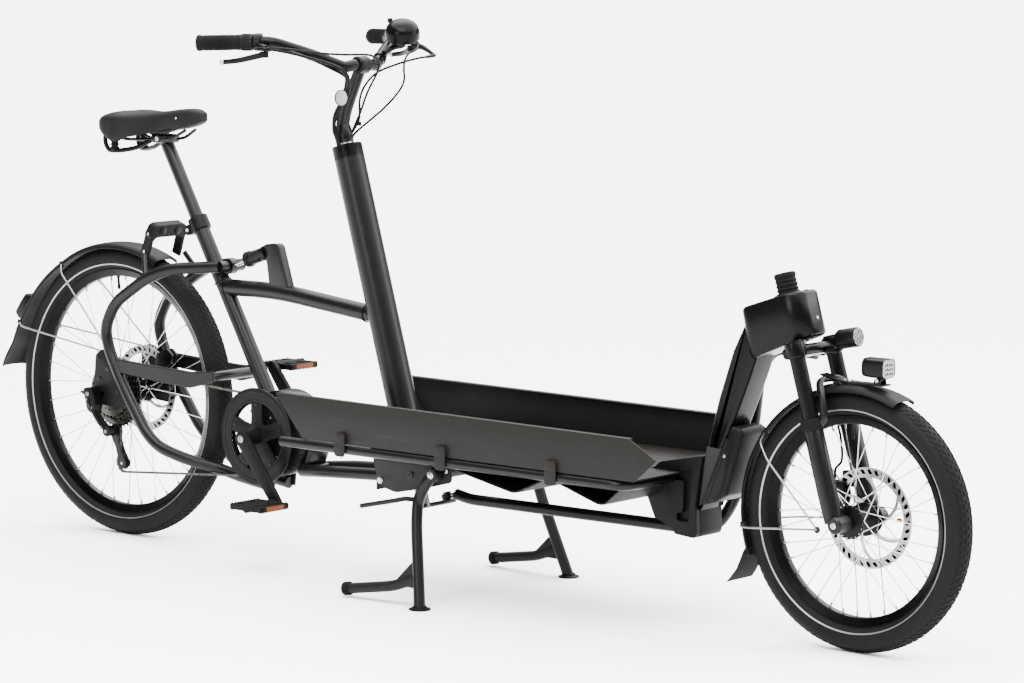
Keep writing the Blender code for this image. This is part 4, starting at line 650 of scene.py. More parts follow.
class Form:
    """One piece of the dressing: shapes gathered with their finishes, then made one mesh."""

    def __init__(self, node, body, slot):
        self.node = node
        self.body = body
        self.slot = slot
        self.points = []
        self.faces = []
        self.marks = []
        self.finishes = []

    def add(self, finish, *shapes):
        material = FINISHES[finish]
        if material not in self.finishes:
            self.finishes.append(material)
        mark = self.finishes.index(material)
        for points, faces in shapes:
            base = len(self.points)
            self.points += [tuple(point) for point in points]
            self.faces += [tuple(base + k for k in face) for face in faces]
            self.marks += [mark] * len(faces)

    def add_ring(self, finish, shape, centre, count, first=0.0):
        """Add a shape repeated evenly round an axle."""
        self.add(finish, ring_of(shape, centre, count, first, finish))

    def add_spots(self, finish, shape, spots):
        """Add a shape at many places."""
        self.add(finish, at_spots(shape, spots, finish))

    def done(self):
        """Make the object, let it ride on its body and stand for its CAD node."""
        name = self.node + "_dressed"
        mesh = bpy.data.meshes.new(name)
        mesh.from_pydata(self.points, [], self.faces)
        for material in self.finishes:
            mesh.materials.append(material)
        mesh.polygons.foreach_set("material_index", self.marks)
        work = bmesh.new()
        work.from_mesh(mesh)
        bmesh.ops.recalc_face_normals(work, faces=work.faces)
        work.to_mesh(mesh)
        work.free()
        mesh.transform(Matrix.Translation(SHIFT))
        mesh.shade_smooth()
        mesh.set_sharp_from_angle(angle=math.radians(SHARP_EDGE))
        made = bpy.data.objects.new(name, mesh)
        bpy.context.scene.collection.objects.link(made)
        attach(made, self.body)
        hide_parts(self.node)
        return made


# Geometry Nodes: what repeats round an axle or stands at many places


def new_tree(name, *inputs):
    """Empty geometry tree with named inputs, and their sockets by name."""
    tree = bpy.data.node_groups.new(name, "GeometryNodeTree")
    for label, kind in (("Geometry", "NodeSocketGeometry"), *inputs):
        tree.interface.new_socket(label, in_out="INPUT", socket_type=kind)
    tree.interface.new_socket("Geometry", in_out="OUTPUT", socket_type="NodeSocketGeometry")
    given = tree.nodes.new("NodeGroupInput")
    return tree, {socket.name: Value(tree, socket) for socket in given.outputs}


def end_tree(tree, copies, material):
    """End a tree in Realize Instances and Set Material."""
    real = add_node(tree, "GeometryNodeRealizeInstances", inputs={0: copies})
    coated = add_node(
        tree, "GeometryNodeSetMaterial", inputs={"Geometry": real, "Material": material})
    put(tree, tree.nodes.new("NodeGroupOutput").inputs[0], coated)
    return tree


def ring_tree():
    """Copies of a piece turned evenly round an axle."""
    tree, given = new_tree(
        "ring_of_pieces", ("Piece", "NodeSocketObject"), ("Count", "NodeSocketInt"),
        ("First Angle", "NodeSocketFloat"), ("Centre", "NodeSocketVector"),
        ("Material", "NodeSocketMaterial"))
    index = add_node(tree, "GeometryNodeInputIndex")
    angle = index / given["Count"] * (-2 * math.pi) - given["First Angle"]
    turn = add_node(tree, "ShaderNodeCombineXYZ", inputs={"Y": angle})
    spots = add_node(tree, "GeometryNodePoints", inputs={"Count": given["Count"]})
    piece = add_node(
        tree, "GeometryNodeObjectInfo", inputs={"Object": given["Piece"]}, output="Geometry")
    copies = add_node(
        tree, "GeometryNodeInstanceOnPoints", inputs={"Points": spots, "Instance": piece})
    ring = add_node(tree, "GeometryNodeRotateInstances", inputs={
        "Instances": copies, "Rotation": turn, "Pivot Point": given["Centre"],
        "Local Space": False})
    return end_tree(tree, ring, given["Material"])


def spot_tree():
    """Copies of a piece at the points of a mesh, turned as its attribute aim says."""
    tree, given = new_tree(
        "pieces_at_spots", ("Piece", "NodeSocketObject"), ("Size", "NodeSocketFloat"),
        ("Material", "NodeSocketMaterial"))
    aim = add_node(tree, "GeometryNodeInputNamedAttribute", {"data_type": "FLOAT_VECTOR"},
                   {"Name": "aim"}, "Attribute")
    stretch = add_node(tree, "GeometryNodeInputNamedAttribute", {"data_type": "FLOAT"},
                       {"Name": "stretch"}, "Attribute")
    size = given["Size"]
    scale = add_node(
        tree, "ShaderNodeCombineXYZ", inputs={"X": size, "Y": size, "Z": stretch * size})
    piece = add_node(
        tree, "GeometryNodeObjectInfo", inputs={"Object": given["Piece"]}, output="Geometry")
    copies = add_node(tree, "GeometryNodeInstanceOnPoints", inputs={
        "Points": given["Geometry"], "Instance": piece, "Rotation": aim, "Scale": scale})
    return end_tree(tree, copies, given["Material"])


def plain_object(name, shape):
    mesh = bpy.data.meshes.new(name)
    mesh.from_pydata([tuple(point) for point in shape[0]], [], [tuple(face) for face in shape[1]])
    made = bpy.data.objects.new(name, mesh)
    bpy.context.scene.collection.objects.link(made)
    return made


TREES = {}


def grown(kind, carrier, settings):
    """Shape that a geometry tree makes on a carrier object, as plain points and faces."""
    if kind not in TREES:
        TREES[kind] = {"ring": ring_tree, "spots": spot_tree}[kind]()
    tree = TREES[kind]
    names = {item.name: item.identifier for item in tree.interface.items_tree
             if item.in_out == "INPUT"}
    growth = carrier.modifiers.new("growth", "NODES")
    growth.node_group = tree
    for label, value in settings.items():
        growth[names[label]] = value
    bpy.context.view_layer.update()
    graph = bpy.context.evaluated_depsgraph_get()
    mesh = bpy.data.meshes.new_from_object(carrier.evaluated_get(graph))
    points = [point.co.copy() for point in mesh.vertices]
    faces = [tuple(face.vertices) for face in mesh.polygons]
    carrier.modifiers.remove(growth)
    bpy.data.meshes.remove(mesh)
    return points, faces


def ring_of(shape, centre, count, first, finish):
    """The shape repeated evenly round an axle."""
    seed = plain_object("seed", shape)
    carrier = plain_object("carrier", ([], []))
    result = grown("ring", carrier, {
        "Piece": seed, "Count": count, "First Angle": math.radians(first),
        "Centre": tuple(Vector(centre)), "Material": FINISHES[finish]})
    bpy.data.objects.remove(seed)
    bpy.data.objects.remove(carrier)
    return result


def at_spots(shape, spots, finish):
    """The shape, which points up its own Z, at each (place, direction, stretch)."""
    seed = plain_object("seed", shape)
    carrier = plain_object("carrier", ([spot[0] for spot in spots], []))
    turns = []
    for spot in spots:
        turns += list(Vector(spot[1]).to_track_quat("Z", "Y").to_euler())
    aim = carrier.data.attributes.new("aim", "FLOAT_VECTOR", "POINT")
    aim.data.foreach_set("vector", turns)
    stretch = carrier.data.attributes.new("stretch", "FLOAT", "POINT")
    stretch.data.foreach_set("value", [spot[2] if len(spot) > 2 else 1.0 for spot in spots])
    result = grown("spots", carrier, {"Piece": seed, "Size": 1.0, "Material": FINISHES[finish]})
    bpy.data.objects.remove(seed)
    bpy.data.objects.remove(carrier)
    return result


def hex_bolt(radius, height):
    """Bolt head with a flange and a six-sided top, standing on the origin."""
    flange = turned([(0, 0), (radius * 1.25, 0), (radius * 1.25, height * 0.22),
                     (radius * 1.05, height * 0.34), (0, height * 0.34)], (0, 0, 0), SKY, 16)
    top = turned([(0, height * 0.3), (radius, height * 0.3), (radius, height * 0.86),
                  (radius * 0.86, height), (0, height)], (0, 0, 0), SKY, 6)
    return joined(flange, top)


def socket_bolt(radius, height):
    """Round bolt head with a six-sided hole, standing on the origin."""
    rings = []
    for size, rise, sides in (
            (1.0, 0.0, 24), (1.0, 0.8, 24), (0.88, 1.0, 24), (0.52, 1.0, 6), (0.5, 0.45, 6)):
        ring = []
        for k in range(24):
            turn = 2 * math.pi * k / 24
            reach = radius * size
            if sides == 6:
                reach *= math.cos(math.pi / 6) / math.cos((turn % (math.pi / 3)) - math.pi / 6)
            ring.append(Vector((reach * math.cos(turn), reach * math.sin(turn), rise * height)))
        rings.append(ring)
    return skin(rings)


def joined(*shapes):
    points = []
    faces = []
    for some_points, some_faces in shapes:
        base = len(points)
        points += list(some_points)
        faces += [tuple(base + k for k in face) for face in some_faces]
    return points, faces


# Wheels


WHEEL_SIDES = 112    # facets round a tyre or a rim
TYRE_SECTION = 0.029
WHEELS = {
    "front": {"centre": FRONT_AXLE, "radius": FRONT_RADIUS, "bead": 0.203, "flange": 0.0335,
              "sides": (-0.0285, 0.0215), "rotor": (0.0369, 0.0389)},
    "rear": {"centre": REAR_AXLE, "radius": REAR_RADIUS, "bead": 0.2795, "flange": 0.0285,
             "sides": (-0.0245, 0.0375), "rotor": (0.0589, 0.0609)},
}


def tread_block(centre, middle, first, last, half, slant):
    """One rubber block of the tread, at the front of the wheel, following the tyre's round."""
    corners = []
    for angle, lean in ((first, -slant), (last, slant)):
        turn = math.radians(angle)
        for reach, shrink in ((0.0268, 1.0), (0.02895, 0.82)):
            for rise in (-half * shrink, half * shrink):
                corners.append(Vector((centre.x + middle + reach * math.cos(turn),
                                       reach * math.sin(turn), centre.z + rise + lean)))
    return corners, [
        (0, 1, 3, 2), (4, 6, 7, 5), (0, 4, 5, 1), (2, 3, 7, 6), (0, 2, 6, 4), (1, 5, 7, 3)]


def make_tyre(name, sizes):
    wheel = WHEELS[name]
    centre, radius, bead = wheel["centre"], wheel["radius"], wheel["bead"]
    middle = radius - TYRE_SECTION
    profile = []
    for angle in range(-119, 120, 7):
        turn = math.radians(angle)
        tread = 0.0016 * max(0.0, min(1.0, (56 - abs(angle)) / 8))
        reach = TYRE_SECTION - tread
        profile.append((middle + reach * math.cos(turn), reach * math.sin(turn)))
    profile += [(bead + 0.0082, 0.013), (bead + 0.0017, 0.0124), (bead + 0.0017, -0.0124),
                (bead + 0.0082, -0.013)]
    form = Form(name + "_tyre", name + "_wheel", "tyre_black")
    rubber = name + "_rubber"
    form.add(rubber, turned(profile, on_side(centre, 0), LEFT, WHEEL_SIDES))
    count = round(2 * math.pi * radius / sizes.tread_pitch)
    step = 360.0 / count
    rows = (
        (-7, 7, 0.004, 0.0012, 0.0), (10, 23, 0.0042, -0.0016, 0.5),
        (-23, -10, 0.0042, 0.0016, 0.5), (27, 41, 0.0044, 0.001, 0.0),
        (-41, -27, 0.0044, -0.001, 0.0), (45, 56, 0.0036, 0.0, 0.5), (-56, -45, 0.0036, 0.0, 0.5))
    for first, last, half, slant, phase in rows:
        block = tread_block(centre, middle, first, last, half, slant)
        form.add_ring(rubber, block, centre, count, phase * step)
    for hand in (-1, 1):
        band = []
        for reach, angles in ((0.02912, range(112, 119)), (0.0284, range(118, 111, -1))):
            for angle in angles:
                turn = math.radians(angle)
                band.append((middle + reach * math.cos(turn), hand * reach * math.sin(turn)))
        form.add("stripe", turned(band, on_side(centre, 0), LEFT, WHEEL_SIDES))
    form.done()


def make_rim(name, sizes):
    wheel = WHEELS[name]
    centre, bead = wheel["centre"], wheel["bead"]
    half = [(bead - 0.0105, 0.005), (bead - 0.01, 0.0074), (bead - 0.008, 0.0092),
            (bead + 0.0042, 0.0142), (bead + 0.0062, 0.0152), (bead + 0.0066, 0.0146),
            (bead + 0.0062, 0.0134), (bead + 0.0012, 0.0129)]
    profile = [(radius, -side) for radius, side in half] + half[::-1]
    form = Form(name + "_rim", name + "_wheel", "alloy_black")
    form.add("rim_black", turned(profile, on_side(centre, 0), LEFT, WHEEL_SIDES))
    nipple = turned([(0, 0), (0.0019, 0), (0.0022, 0.003), (0.0017, 0.004), (0.0015, 0.012),
                     (0, 0.012)], (centre.x + bead - 0.0085, 0, centre.z), (-1, 0, 0), 8)
    form.add_ring("dull_steel", nipple, centre, sizes.spokes)
    root = around(centre, bead - 0.01, 95)
    inward = (centre - root).normalized()
    form.add("moulded_black", turned([
        (0, 0), (0.0042, 0), (0.004, 0.004), (0.003, 0.006), (0.003, 0.02), (0.0038, 0.022),
        (0.0038, 0.03), (0.0026, 0.032), (0, 0.032)], root, inward, 16))
    form.done()


def make_hub(name, sizes):
    wheel = WHEELS[name]
    centre, bead, sides = wheel["centre"], wheel["bead"], wheel["sides"]
    form = Form(name + "_hub", name + "_wheel", "alloy_black")
    if name == "front":
        profile = [(0.012, -0.0412), (0.012, -0.0345), (0.018, -0.0335), (0.034, -0.0305),
                   (0.034, -0.0268), (0.029, -0.0255), (0.0215, -0.02), (0.0195, -0.008),
                   (0.0195, 0.001), (0.0225, 0.013), (0.03, 0.0185), (0.034, 0.0195),
                   (0.034, 0.0236), (0.024, 0.0262), (0.0215, 0.0275), (0.0215, 0.036),
                   (0.012, 0.0364), (0.012, 0.0412), (0.0071, 0.0412), (0.0071, -0.0412)]
    else:
        profile = [
            (0.012, -0.0706), (0.012, -0.062), (0.016, -0.061), (0.016, -0.029), (0.0288, -0.0266),
            (0.0288, -0.0226), (0.021, -0.019), (0.0185, -0.004), (0.0185, 0.016), (0.021, 0.03),
            (0.0288, 0.0352), (0.0288, 0.0396), (0.022, 0.043), (0.022, 0.058), (0.012, 0.0584),
            (0.012, 0.0706), (0.0066, 0.0706), (0.0066, -0.0706)]
    form.add("smooth_black", turned(profile, on_side(centre, 0), LEFT, 48))
    spots = []
    for k in range(sizes.spokes):
        side = sides[k % 2]
        lean = 60.0 if k % 4 < 2 else -60.0
        rim_turn = 360.0 * k / sizes.spokes
        start = around(centre, wheel["flange"] - 0.003, rim_turn + lean, side)
        end = around(centre, bead - 0.0112, rim_turn, side * 0.1)
        spots.append((start, end - start, (end - start).length))
    wire = rod((0, 0, 0), (0, 0, 1), sizes.spoke_width / 2, 6)
    form.add_spots("bright_steel", wire, spots)
    heads = [(spot[0], LEFT if spot[0].y > 0 else -LEFT) for spot in spots]
    head = turned([(0, -0.0024), (0.0022, -0.0024), (0.0024, 0.0012), (0.0016, 0.0026),
                   (0, 0.0026)], (0, 0, 0), SKY, 8)
    form.add_spots("bright_steel", head, heads)
    if name == "front":
        lamp = around(centre, 0.092, 6.0, 0.009)
        form.add("amber_reflector", box(lamp, (0.011, 0.006, 0.008), tilt=6.0, edge=0.002))
    form.done()


def vent_cell(centre, low, high, inner, outer, span):
    """Piece of a brake disc's outer ring, with one slanted slot."""
    edge = []
    for share, radius in (
            (-0.5, inner), (-0.17, inner), (0.17, inner), (0.5, inner),
            (0.5, inner + (outer - inner) / 3), (0.5, inner + (outer - inner) * 2 / 3),
            (0.5, outer), (0.17, outer), (-0.17, outer), (-0.5, outer),
            (-0.5, inner + (outer - inner) * 2 / 3), (-0.5, inner + (outer - inner) / 3)):
        edge.append(around(centre, radius, span * share))
    middle = around(centre, (inner + outer) / 2, 0.0)
    hole = []
    for k in range(12):
        turn = math.radians(-135 + 30 * k)
        along, across = 0.0064 * math.cos(turn), 0.0038 * math.sin(turn)
        lean = math.radians(38)
        hole.append(middle + Vector((along * math.cos(lean) - across * math.sin(lean), 0,
                                     along * math.sin(lean) + across * math.cos(lean))))
    layers = []
    for ring, side in ((edge, low), (edge, high), (hole, high), (hole, low)):
        layers.append([on_side(point, side) for point in ring])
    return skin(layers, loop=True)


def make_rotor(name, sizes):
    wheel = WHEELS[name]
    centre = wheel["centre"]
    low, high = wheel["rotor"]
    disc = name + "_disc"
    form = Form(name + "_rotor", name + "_wheel", "steel")
    count = sizes.rotor_slots
    cell = vent_cell(centre, low, high, 0.0842, 0.1014, 360.0 / count)
    form.add_ring(disc, cell, centre, count)
    form.add(disc, sleeve(on_side(centre, low), on_side(centre, high), 0.0843, 0.0818, 72, 0.0002))
    arm = []
    for k in range(9):
        t = k / 8
        arm.append((around(centre, 0.03 + 0.0515 * t, 34 * t ** 1.2),
                    0.0052 - 0.0014 * math.sin(math.pi * t)))
    outline = []
    for sign in (1, -1):
        marks = arm if sign > 0 else arm[::-1]
        for point, wide in marks:
            out = (point - on_side(centre, 0)).normalized()
            aside = out.cross(LEFT)
            outline.append((point.x + aside.x * wide * sign, point.z + aside.z * wide * sign))
    form.add_ring(disc, plate(outline, low, high, 0.0002, 1), centre, 6)
    form.add("smooth_black", sleeve(
        on_side(centre, low - 0.0006), on_side(centre, high + 0.0006), 0.033, 0.0124, 48, 0.0004))
    bolt = moved(
        turn_to_side(hex_bolt(0.0032, 0.0022), 1), on_side(centre, high) + Vector((0.0245, 0, 0)))
    form.add_ring("bright_steel", bolt, centre, 6, 30.0)
    form.done()


def turn_to_side(shape, hand):
    """A shape that stands on the origin, laid over so that it points to the left or the right."""
    points, faces = shape
    return [Vector((point.x, point.z * hand, -point.y * hand)) for point in points], faces


def set_bolt(place, way, radius, height, head=socket_bolt):
    """A bolt head on a face, pointing along way."""
    turning = Vector(way).to_track_quat("Z", "Y")
    points, faces = head(radius, height)
    return [Vector(place) + turning @ point for point in points], faces


# Frame and bay


def make_rear_frame():
    form = Form("rear_frame", "frame", "alloy_black")
    cradle = plate(
        arc(MOTOR, 0.104, 44, -50, 152) + arc(MOTOR, 0.09, 44, 152, -50), -0.03, 0.03, 0.0022, 3)
    seat_tube = sleeve(SEAT_TOP - SEAT_UP * 0.455, SEAT_TOP, 0.018, 0.0158, 36)
    top_tube = tube(rounded([
        (0.33, 0, 0.606), (0.5, 0, 0.608), (0.806, 0, 0.575)], 0.08, 12), 0.019, 28)
    housing = sleeve(column_point(-0.7393), column_point(0), 0.0335, 0.0295, 48, 0.0012)
    lug = plate(curved([(0.482, 0.6), (0.545, 0.6), (0.508, 0.7165), (0.46, 0.712),
                        (0.471, 0.674)], 0.012), -0.011, 0.011, 0.002, 3)
    form.add("satin_paint", cradle, seat_tube, top_tube, housing, lug,
             box((0.905, 0, 0.245), (0.075, 0.104, 0.026), edge=0.005),
             box((0.612, 0, 0.215), (0.026, 0.088, 0.024), edge=0.004))
    for hand in (-1, 1):
        path = [(0.604, 0.037, 0.2155), (0.68, 0.05, 0.223), (0.83, 0.05, 0.232),
                (0.9475, 0.05, 0.238)]
        form.add("satin_paint", tube(rounded(handed(path, hand), 0.03, 6), 0.0135, 20))
    bead = [(0.0178, -0.0022), (0.0202, -0.0012), (0.0202, 0.0012), (0.0178, 0.0022)]
    wide = [(radius + 0.001, rise) for radius, rise in bead]
    form.add("satin_paint", turned(bead, SEAT_TOP - SEAT_UP * 0.165, SEAT_UP, 36),
             turned(wide, (0.3385, 0, 0.606), (1, 0, 0), 36),
             turned(wide, (0.771, 0, 0.5787), (0.994, 0, -0.107), 36),
             sleeve(column_point(-0.03), column_point(-0.0004), 0.0335, 0.03, 48))
    for height in (-0.117, -0.151):
        place = column_point(height, -0.033, -0.004)
        form.add("bright_steel", set_bolt(place, -FORWARD, 0.0046, 0.0022))
    form.add("moulded_black", box(
        column_point(-0.48, -0.033), (0.006, 0.016, 0.04), tilt=HEAD_TILT, edge=0.002))
    form.done()


def make_cargo_frame():
    form = Form("cargo_frame", "frame", "alloy_black")
    corners = [
        (0.7, -0.199, 0.31), (1.655, -0.199, 0.31), (1.655, 0.199, 0.31), (0.7, 0.199, 0.31)]
    form.add("satin_paint", tube(rounded(corners, 0.04, 10), 0.011, 20),
             box((0.896, 0, 0.3045), (0.132, 0.392, 0.012), edge=0.003))
    for low, tip, high in ((1.165, 1.358, 1.445), (1.462, 1.59, 1.64)):
        outline = [(low, 0.3005), (tip - 0.012, 0.2648), (tip, 0.264), (tip + 0.01, 0.266),
                   (high, 0.3005), (high, 0.304), (tip + 0.01, 0.27), (tip, 0.2675),
                   (tip - 0.012, 0.2683), (low, 0.304)]
        form.add("bracket_paint", plate(outline, -0.1925, 0.1925, 0.0008))
        for hand in (-1, 1):
            for x in (low + 0.012, high - 0.01):
                form.add("dull_steel", set_bolt(
                    (x, 0.17 * hand, 0.3036), SKY, 0.0045, 0.003, hex_bolt))
    block = curved([
        (1.575, 0.3), (1.611, 0.222), (1.659, 0.205), (1.662, 0.194), (1.668, 0.19), (1.712, 0.19),
        (1.7175, 0.198), (1.7155, 0.258), (1.7325, 0.362), (1.625, 0.34)], 0.005)
    form.add("moulded_black", plate(block, -0.031, 0.045, 0.002))
    recess = curved([(1.668, 0.222), (1.7, 0.222), (1.708, 0.332), (1.65, 0.322), (1.65, 0.306),
                     (1.686, 0.306), (1.684, 0.24), (1.668, 0.24)], 0.008, 4)
    cover = [(1.575, 0.3), (1.611, 0.222), (1.659, 0.205), (1.662, 0.194), (1.712, 0.19),
             (1.7175, 0.198), (1.7155, 0.258), (1.7325, 0.362), (1.625, 0.34)]
    form.add("moulded_black", recessed_plate(cover, recess, -0.045, -0.0305))
    form.done()


def recessed_plate(outline, recess, low, high):
    """Plate whose face on the right has a sunken figure."""
    work = bmesh.new()
    base = plain_object("base", plate(curved(outline, 0.004), low, high, 0.0015))
    tool = plain_object("tool", plate(curved(recess, 0.003), low - 0.01, low + 0.011, 0.0))
    for item in (base, tool):
        work.clear()
        work.from_mesh(item.data)
        bmesh.ops.remove_doubles(work, verts=work.verts, dist=1e-6)
        bmesh.ops.recalc_face_normals(work, faces=work.faces)
        work.to_mesh(item.data)
    cut = base.modifiers.new("recess", "BOOLEAN")
    cut.operation = "DIFFERENCE"
    cut.solver = "EXACT"
    cut.object = tool
    bpy.context.view_layer.update()
    graph = bpy.context.evaluated_depsgraph_get()
    result = bpy.data.meshes.new_from_object(base.evaluated_get(graph))
    shape = ([point.co.copy() for point in result.vertices],
             [tuple(face.vertices) for face in result.polygons])
    work.free()
    bpy.data.objects.remove(base)
    bpy.data.objects.remove(tool)
    return shape


def make_front_frame():
    form = Form("front_frame", "frame", "gloss_black")
    mast = curved([(1.7165, 0.243), (1.7235, 0.257), (1.777, 0.379), (1.8, 0.431), (1.842, 0.53),
                   (1.87, 0.605), (1.83, 0.64), (1.799, 0.58), (1.764, 0.48), (1.742, 0.4),
                   (1.7337, 0.362), (1.7167, 0.258)], 0.01)
    form.add("gloss_paint", plate(mast, -0.036, 0.036, 0.009, 6))
    strip = curved([
        (1.719, 0.256), (1.723, 0.259), (1.776, 0.379), (1.7385, 0.381), (1.7345, 0.362)], 0.002)
    for hand in (-1, 1):
        form.add("case_grey", side_plate(hand, strip, 0.033, 0.0366, 0.0008))
    plan = curved([(-0.104, -0.045), (0.026, -0.045), (0.053, -0.027), (0.053, 0.027),
                   (0.026, 0.045), (-0.104, 0.045)], 0.024, 8)
    rings = []
    for share, shrink in ((0.0, 0.012), (0.006, 0.006), (0.03, 0.002), (0.07, 0.0), (0.93, 0.0),
                          (0.97, 0.002), (0.994, 0.006), (1.0, 0.012)):
        ring = []
        for forward, across in inset(plan, shrink) if shrink else plan:
            top = -0.029 + 0.065 * min(0.0, forward + 0.028) - 0.2 * max(0.0, forward - 0.04)
            low = -0.1275 + 0.115 * min(0.0, forward) + 0.1 * max(0.0, forward)
            back = 1.0 - 0.06 * (1.0 - share) * (forward < -0.06)
            ring.append(head_point(top + (low - top) * share, forward * back, across))
        rings.append(ring)
    form.add("gloss_paint", skin(rings))
    form.add("bright_steel", set_bolt(head_point(-0.088, 0.0526, 0.004), FORWARD, 0.003, 0.0014))
    rim = [
        (0.0262, -0.0305), (0.03, -0.03), (0.0305, -0.0288), (0.0296, -0.0278), (0.0262, -0.0276)]
    form.add("smooth_black", turned(rim, HEAD, UP, 48))
    for forward in (-0.07, 0.043):
        form.add("dark_steel", set_bolt(
            head_point(-0.033 if forward < 0 else -0.03, forward), UP, 0.0038, 0.0016))
    form.done()
    cap = Form("head_cap", "frame", "rubber_black")
    ribs = [(0, -0.0285), (0.024, -0.0285), (0.0245, -0.028), (0.0245, -0.0262), (0.024, -0.0255),
            (0.0206, -0.0245)]
    for k in range(3):
        base = -0.0225 + 0.0085 * k
        ribs += [(0.0204, base), (0.0218, base + 0.0014), (0.0223, base + 0.0032),
                 (0.0218, base + 0.005), (0.0204, base + 0.0064)]
    ribs += [(0.0206, 0.004), (0.0222, 0.0052), (0.0222, 0.0108), (0.0212, 0.0134),
             (0.018, 0.0145), (0, 0.0145)]
    cap.add("grip_rubber", turned(ribs, HEAD, UP, 56))
    cap.done()


def make_bay():
    floor = Form("cargo_floor", "frame", "warm_grey")
    outline = [(0.965, -0.203), (1.598, -0.203), (1.598, -0.0457), (1.598, 0.0457), (1.598, 0.203),
               (0.965, 0.203)]
    under, top = 0.3216, 0.3244
    sheet = [[Vector((x, y, z)) for x, y in outline] for z in (under, top)]
    floor.add("bay_paint", skin(sheet))
    for hand in (-1, 1):
        floor.add("bay_paint", side_plate(hand, [
            (1.5975, under), (1.6798, under), (1.6798, top), (1.5975, top)], 0.046, 0.203, 0.0003))
    rib = plate([
        (0.985, 0.324), (1.585, 0.324), (1.58, 0.325), (0.99, 0.325)], -0.006, 0.006, 0.0008)
    floor.add("bay_paint", *[moved(rib, (0, 0.03 + 0.048 * k, 0)) for k in range(-4, 4)])
    floor.done()
    for name, hand in (("side_wall_right", -1), ("side_wall_left", 1)):
        form = Form(name, "frame", "warm_grey")
        wall = curved([(0.687, 0.416), (1.672, 0.409), (1.742, 0.371), (1.686, 0.3225),
                       (0.768, 0.3225)], 0.004)
        lip = [(0.69, 0.4158), (1.67, 0.4088), (1.67, 0.406), (0.69, 0.413)]
        fold = [(0.6875, 0.4156), (0.6925, 0.4156), (0.7735, 0.3227), (0.7685, 0.3227)]
        form.add(
            "bay_paint", side_plate(hand, wall, 0.2035, 0.2065),
            side_plate(hand, lip, 0.19, 0.205, 0.001), side_plate(hand, fold, 0.188, 0.205, 0.001))
        for start in (0.869, 1.156, 1.457):
            hook = curved([
                (start, 0.323), (start, 0.34), (start + 0.005, 0.346), (start + 0.025, 0.346),
                (start + 0.03, 0.34), (start + 0.03, 0.323)], 0.003)
            form.add("bay_paint", side_plate(hand, hook, 0.205, 0.214, 0.0018))
            tongue = curved([
                (start, 0.33), (start, 0.3), (start + 0.004, 0.295), (start + 0.026, 0.295),
                (start + 0.03, 0.3), (start + 0.03, 0.33)], 0.003)
            form.add("bay_paint", side_plate(hand, tongue, 0.2112, 0.2139, 0.0008))
        form.done()


def make_drive_unit():
    form = Form("drive_unit", "frame", "plastic_black")
    half = [(0, 0.0368), (0.05, 0.0372), (0.07, 0.0374), (0.078, 0.0362), (0.085, 0.033),
            (0.0878, 0.029), (0.088, 0.02), (0.0872, 0.006)]
    profile = [(radius, -side) for radius, side in half] + half[::-1]
    form.add("case_dark", turned(profile, MOTOR, LEFT, 72))
    form.add("smooth_black", axle_rod(CRANK_AXLE, 1, -0.0444, 0.0444, 0.03, 48, 0.002))
    rib = plate([(MOTOR.x + 0.052, MOTOR.z - 0.0016), (MOTOR.x + 0.084, MOTOR.z - 0.0012),
                 (MOTOR.x + 0.084, MOTOR.z + 0.0012), (MOTOR.x + 0.052, MOTOR.z + 0.0016)],
                -0.0375, -0.034, 0.0005, 1)
    form.add_ring("case_dark", rib, MOTOR, 30)
    form.add_ring("case_dark", mirrored(rib), MOTOR, 30)
    for hand in (-1, 1):
        bolt = set_bolt(
            on_side(MOTOR + Vector((0.0455, 0, 0)), 0.0366 * hand), LEFT * hand, 0.0034, 0.0018)
        form.add_ring("dull_steel", bolt, MOTOR, 7, 12.0)
    form.done()


def make_battery():
    form = Form("battery", "frame", "battery_grey")
    case = curved([(1.7245, 0.259), (1.766, 0.27), (1.79, 0.285), (1.8, 0.318), (1.8125, 0.362),
                   (1.829, 0.412), (1.825, 0.425), (1.8, 0.4285), (1.7785, 0.38)], 0.006, 5)
    form.add("case_dark", plate(case, -0.0405, 0.0405, 0.008, 5))
    for hand in (-1, 1):
        front = [
            (1.806, 0.42), (1.794, 0.378), (1.786, 0.328), (1.776, 0.293), (1.758, 0.277),
            (1.764, 0.2705), (1.788, 0.2845), (1.7985, 0.318), (1.811, 0.362), (1.8275, 0.412)]
        form.add("moulded_black", side_plate(hand, curved(front, 0.0025), 0.038, 0.042, 0.0012))
        back = [(1.726, 0.2605), (1.74, 0.2645), (1.75, 0.284), (1.78, 0.36), (1.796, 0.4),
                (1.79, 0.404), (1.7785, 0.38)]
        form.add("case_dark", side_plate(hand, curved(back, 0.003), 0.038, 0.0418, 0.0012))
        form.add("bright_steel", set_bolt(
            (1.7862, 0.0418 * hand, 0.367), LEFT * hand, 0.0036, 0.0014))
    form.done()


def make_stand_bracket():
    form = Form("stand_bracket", "frame", "warm_grey")
    outline = curved([(0.941, 0.298), (1.165, 0.298), (1.165, 0.262), (1.1, 0.245), (1.059, 0.236),
                      (1.008, 0.225), (0.966, 0.234), (0.951, 0.262)], 0.01, 5)
    form.add("bracket_paint", box((0.9525, 0, 0.2615), (0.0055, 0.338, 0.072), edge=0.002))
    for hand in (-1, 1):
        form.add("bracket_paint", side_plate(hand, outline, 0.165, 0.1708))
        face = 0.1706 * hand
        for x, z, radius, height in ((0.963, 0.248, 0.0062, 0.0038), (1.15, 0.286, 0.005, 0.003)):
            form.add("bright_steel", set_bolt((x, face, z), LEFT * hand, radius, height, hex_bolt))
        form.add("dark_steel", set_bolt((1.052, face, 0.268), LEFT * hand, 0.007, 0.003))
    form.add("satin_paint", rod((1.052, -0.168, 0.268), (1.052, 0.168, 0.268), 0.011, 24))
    form.done()


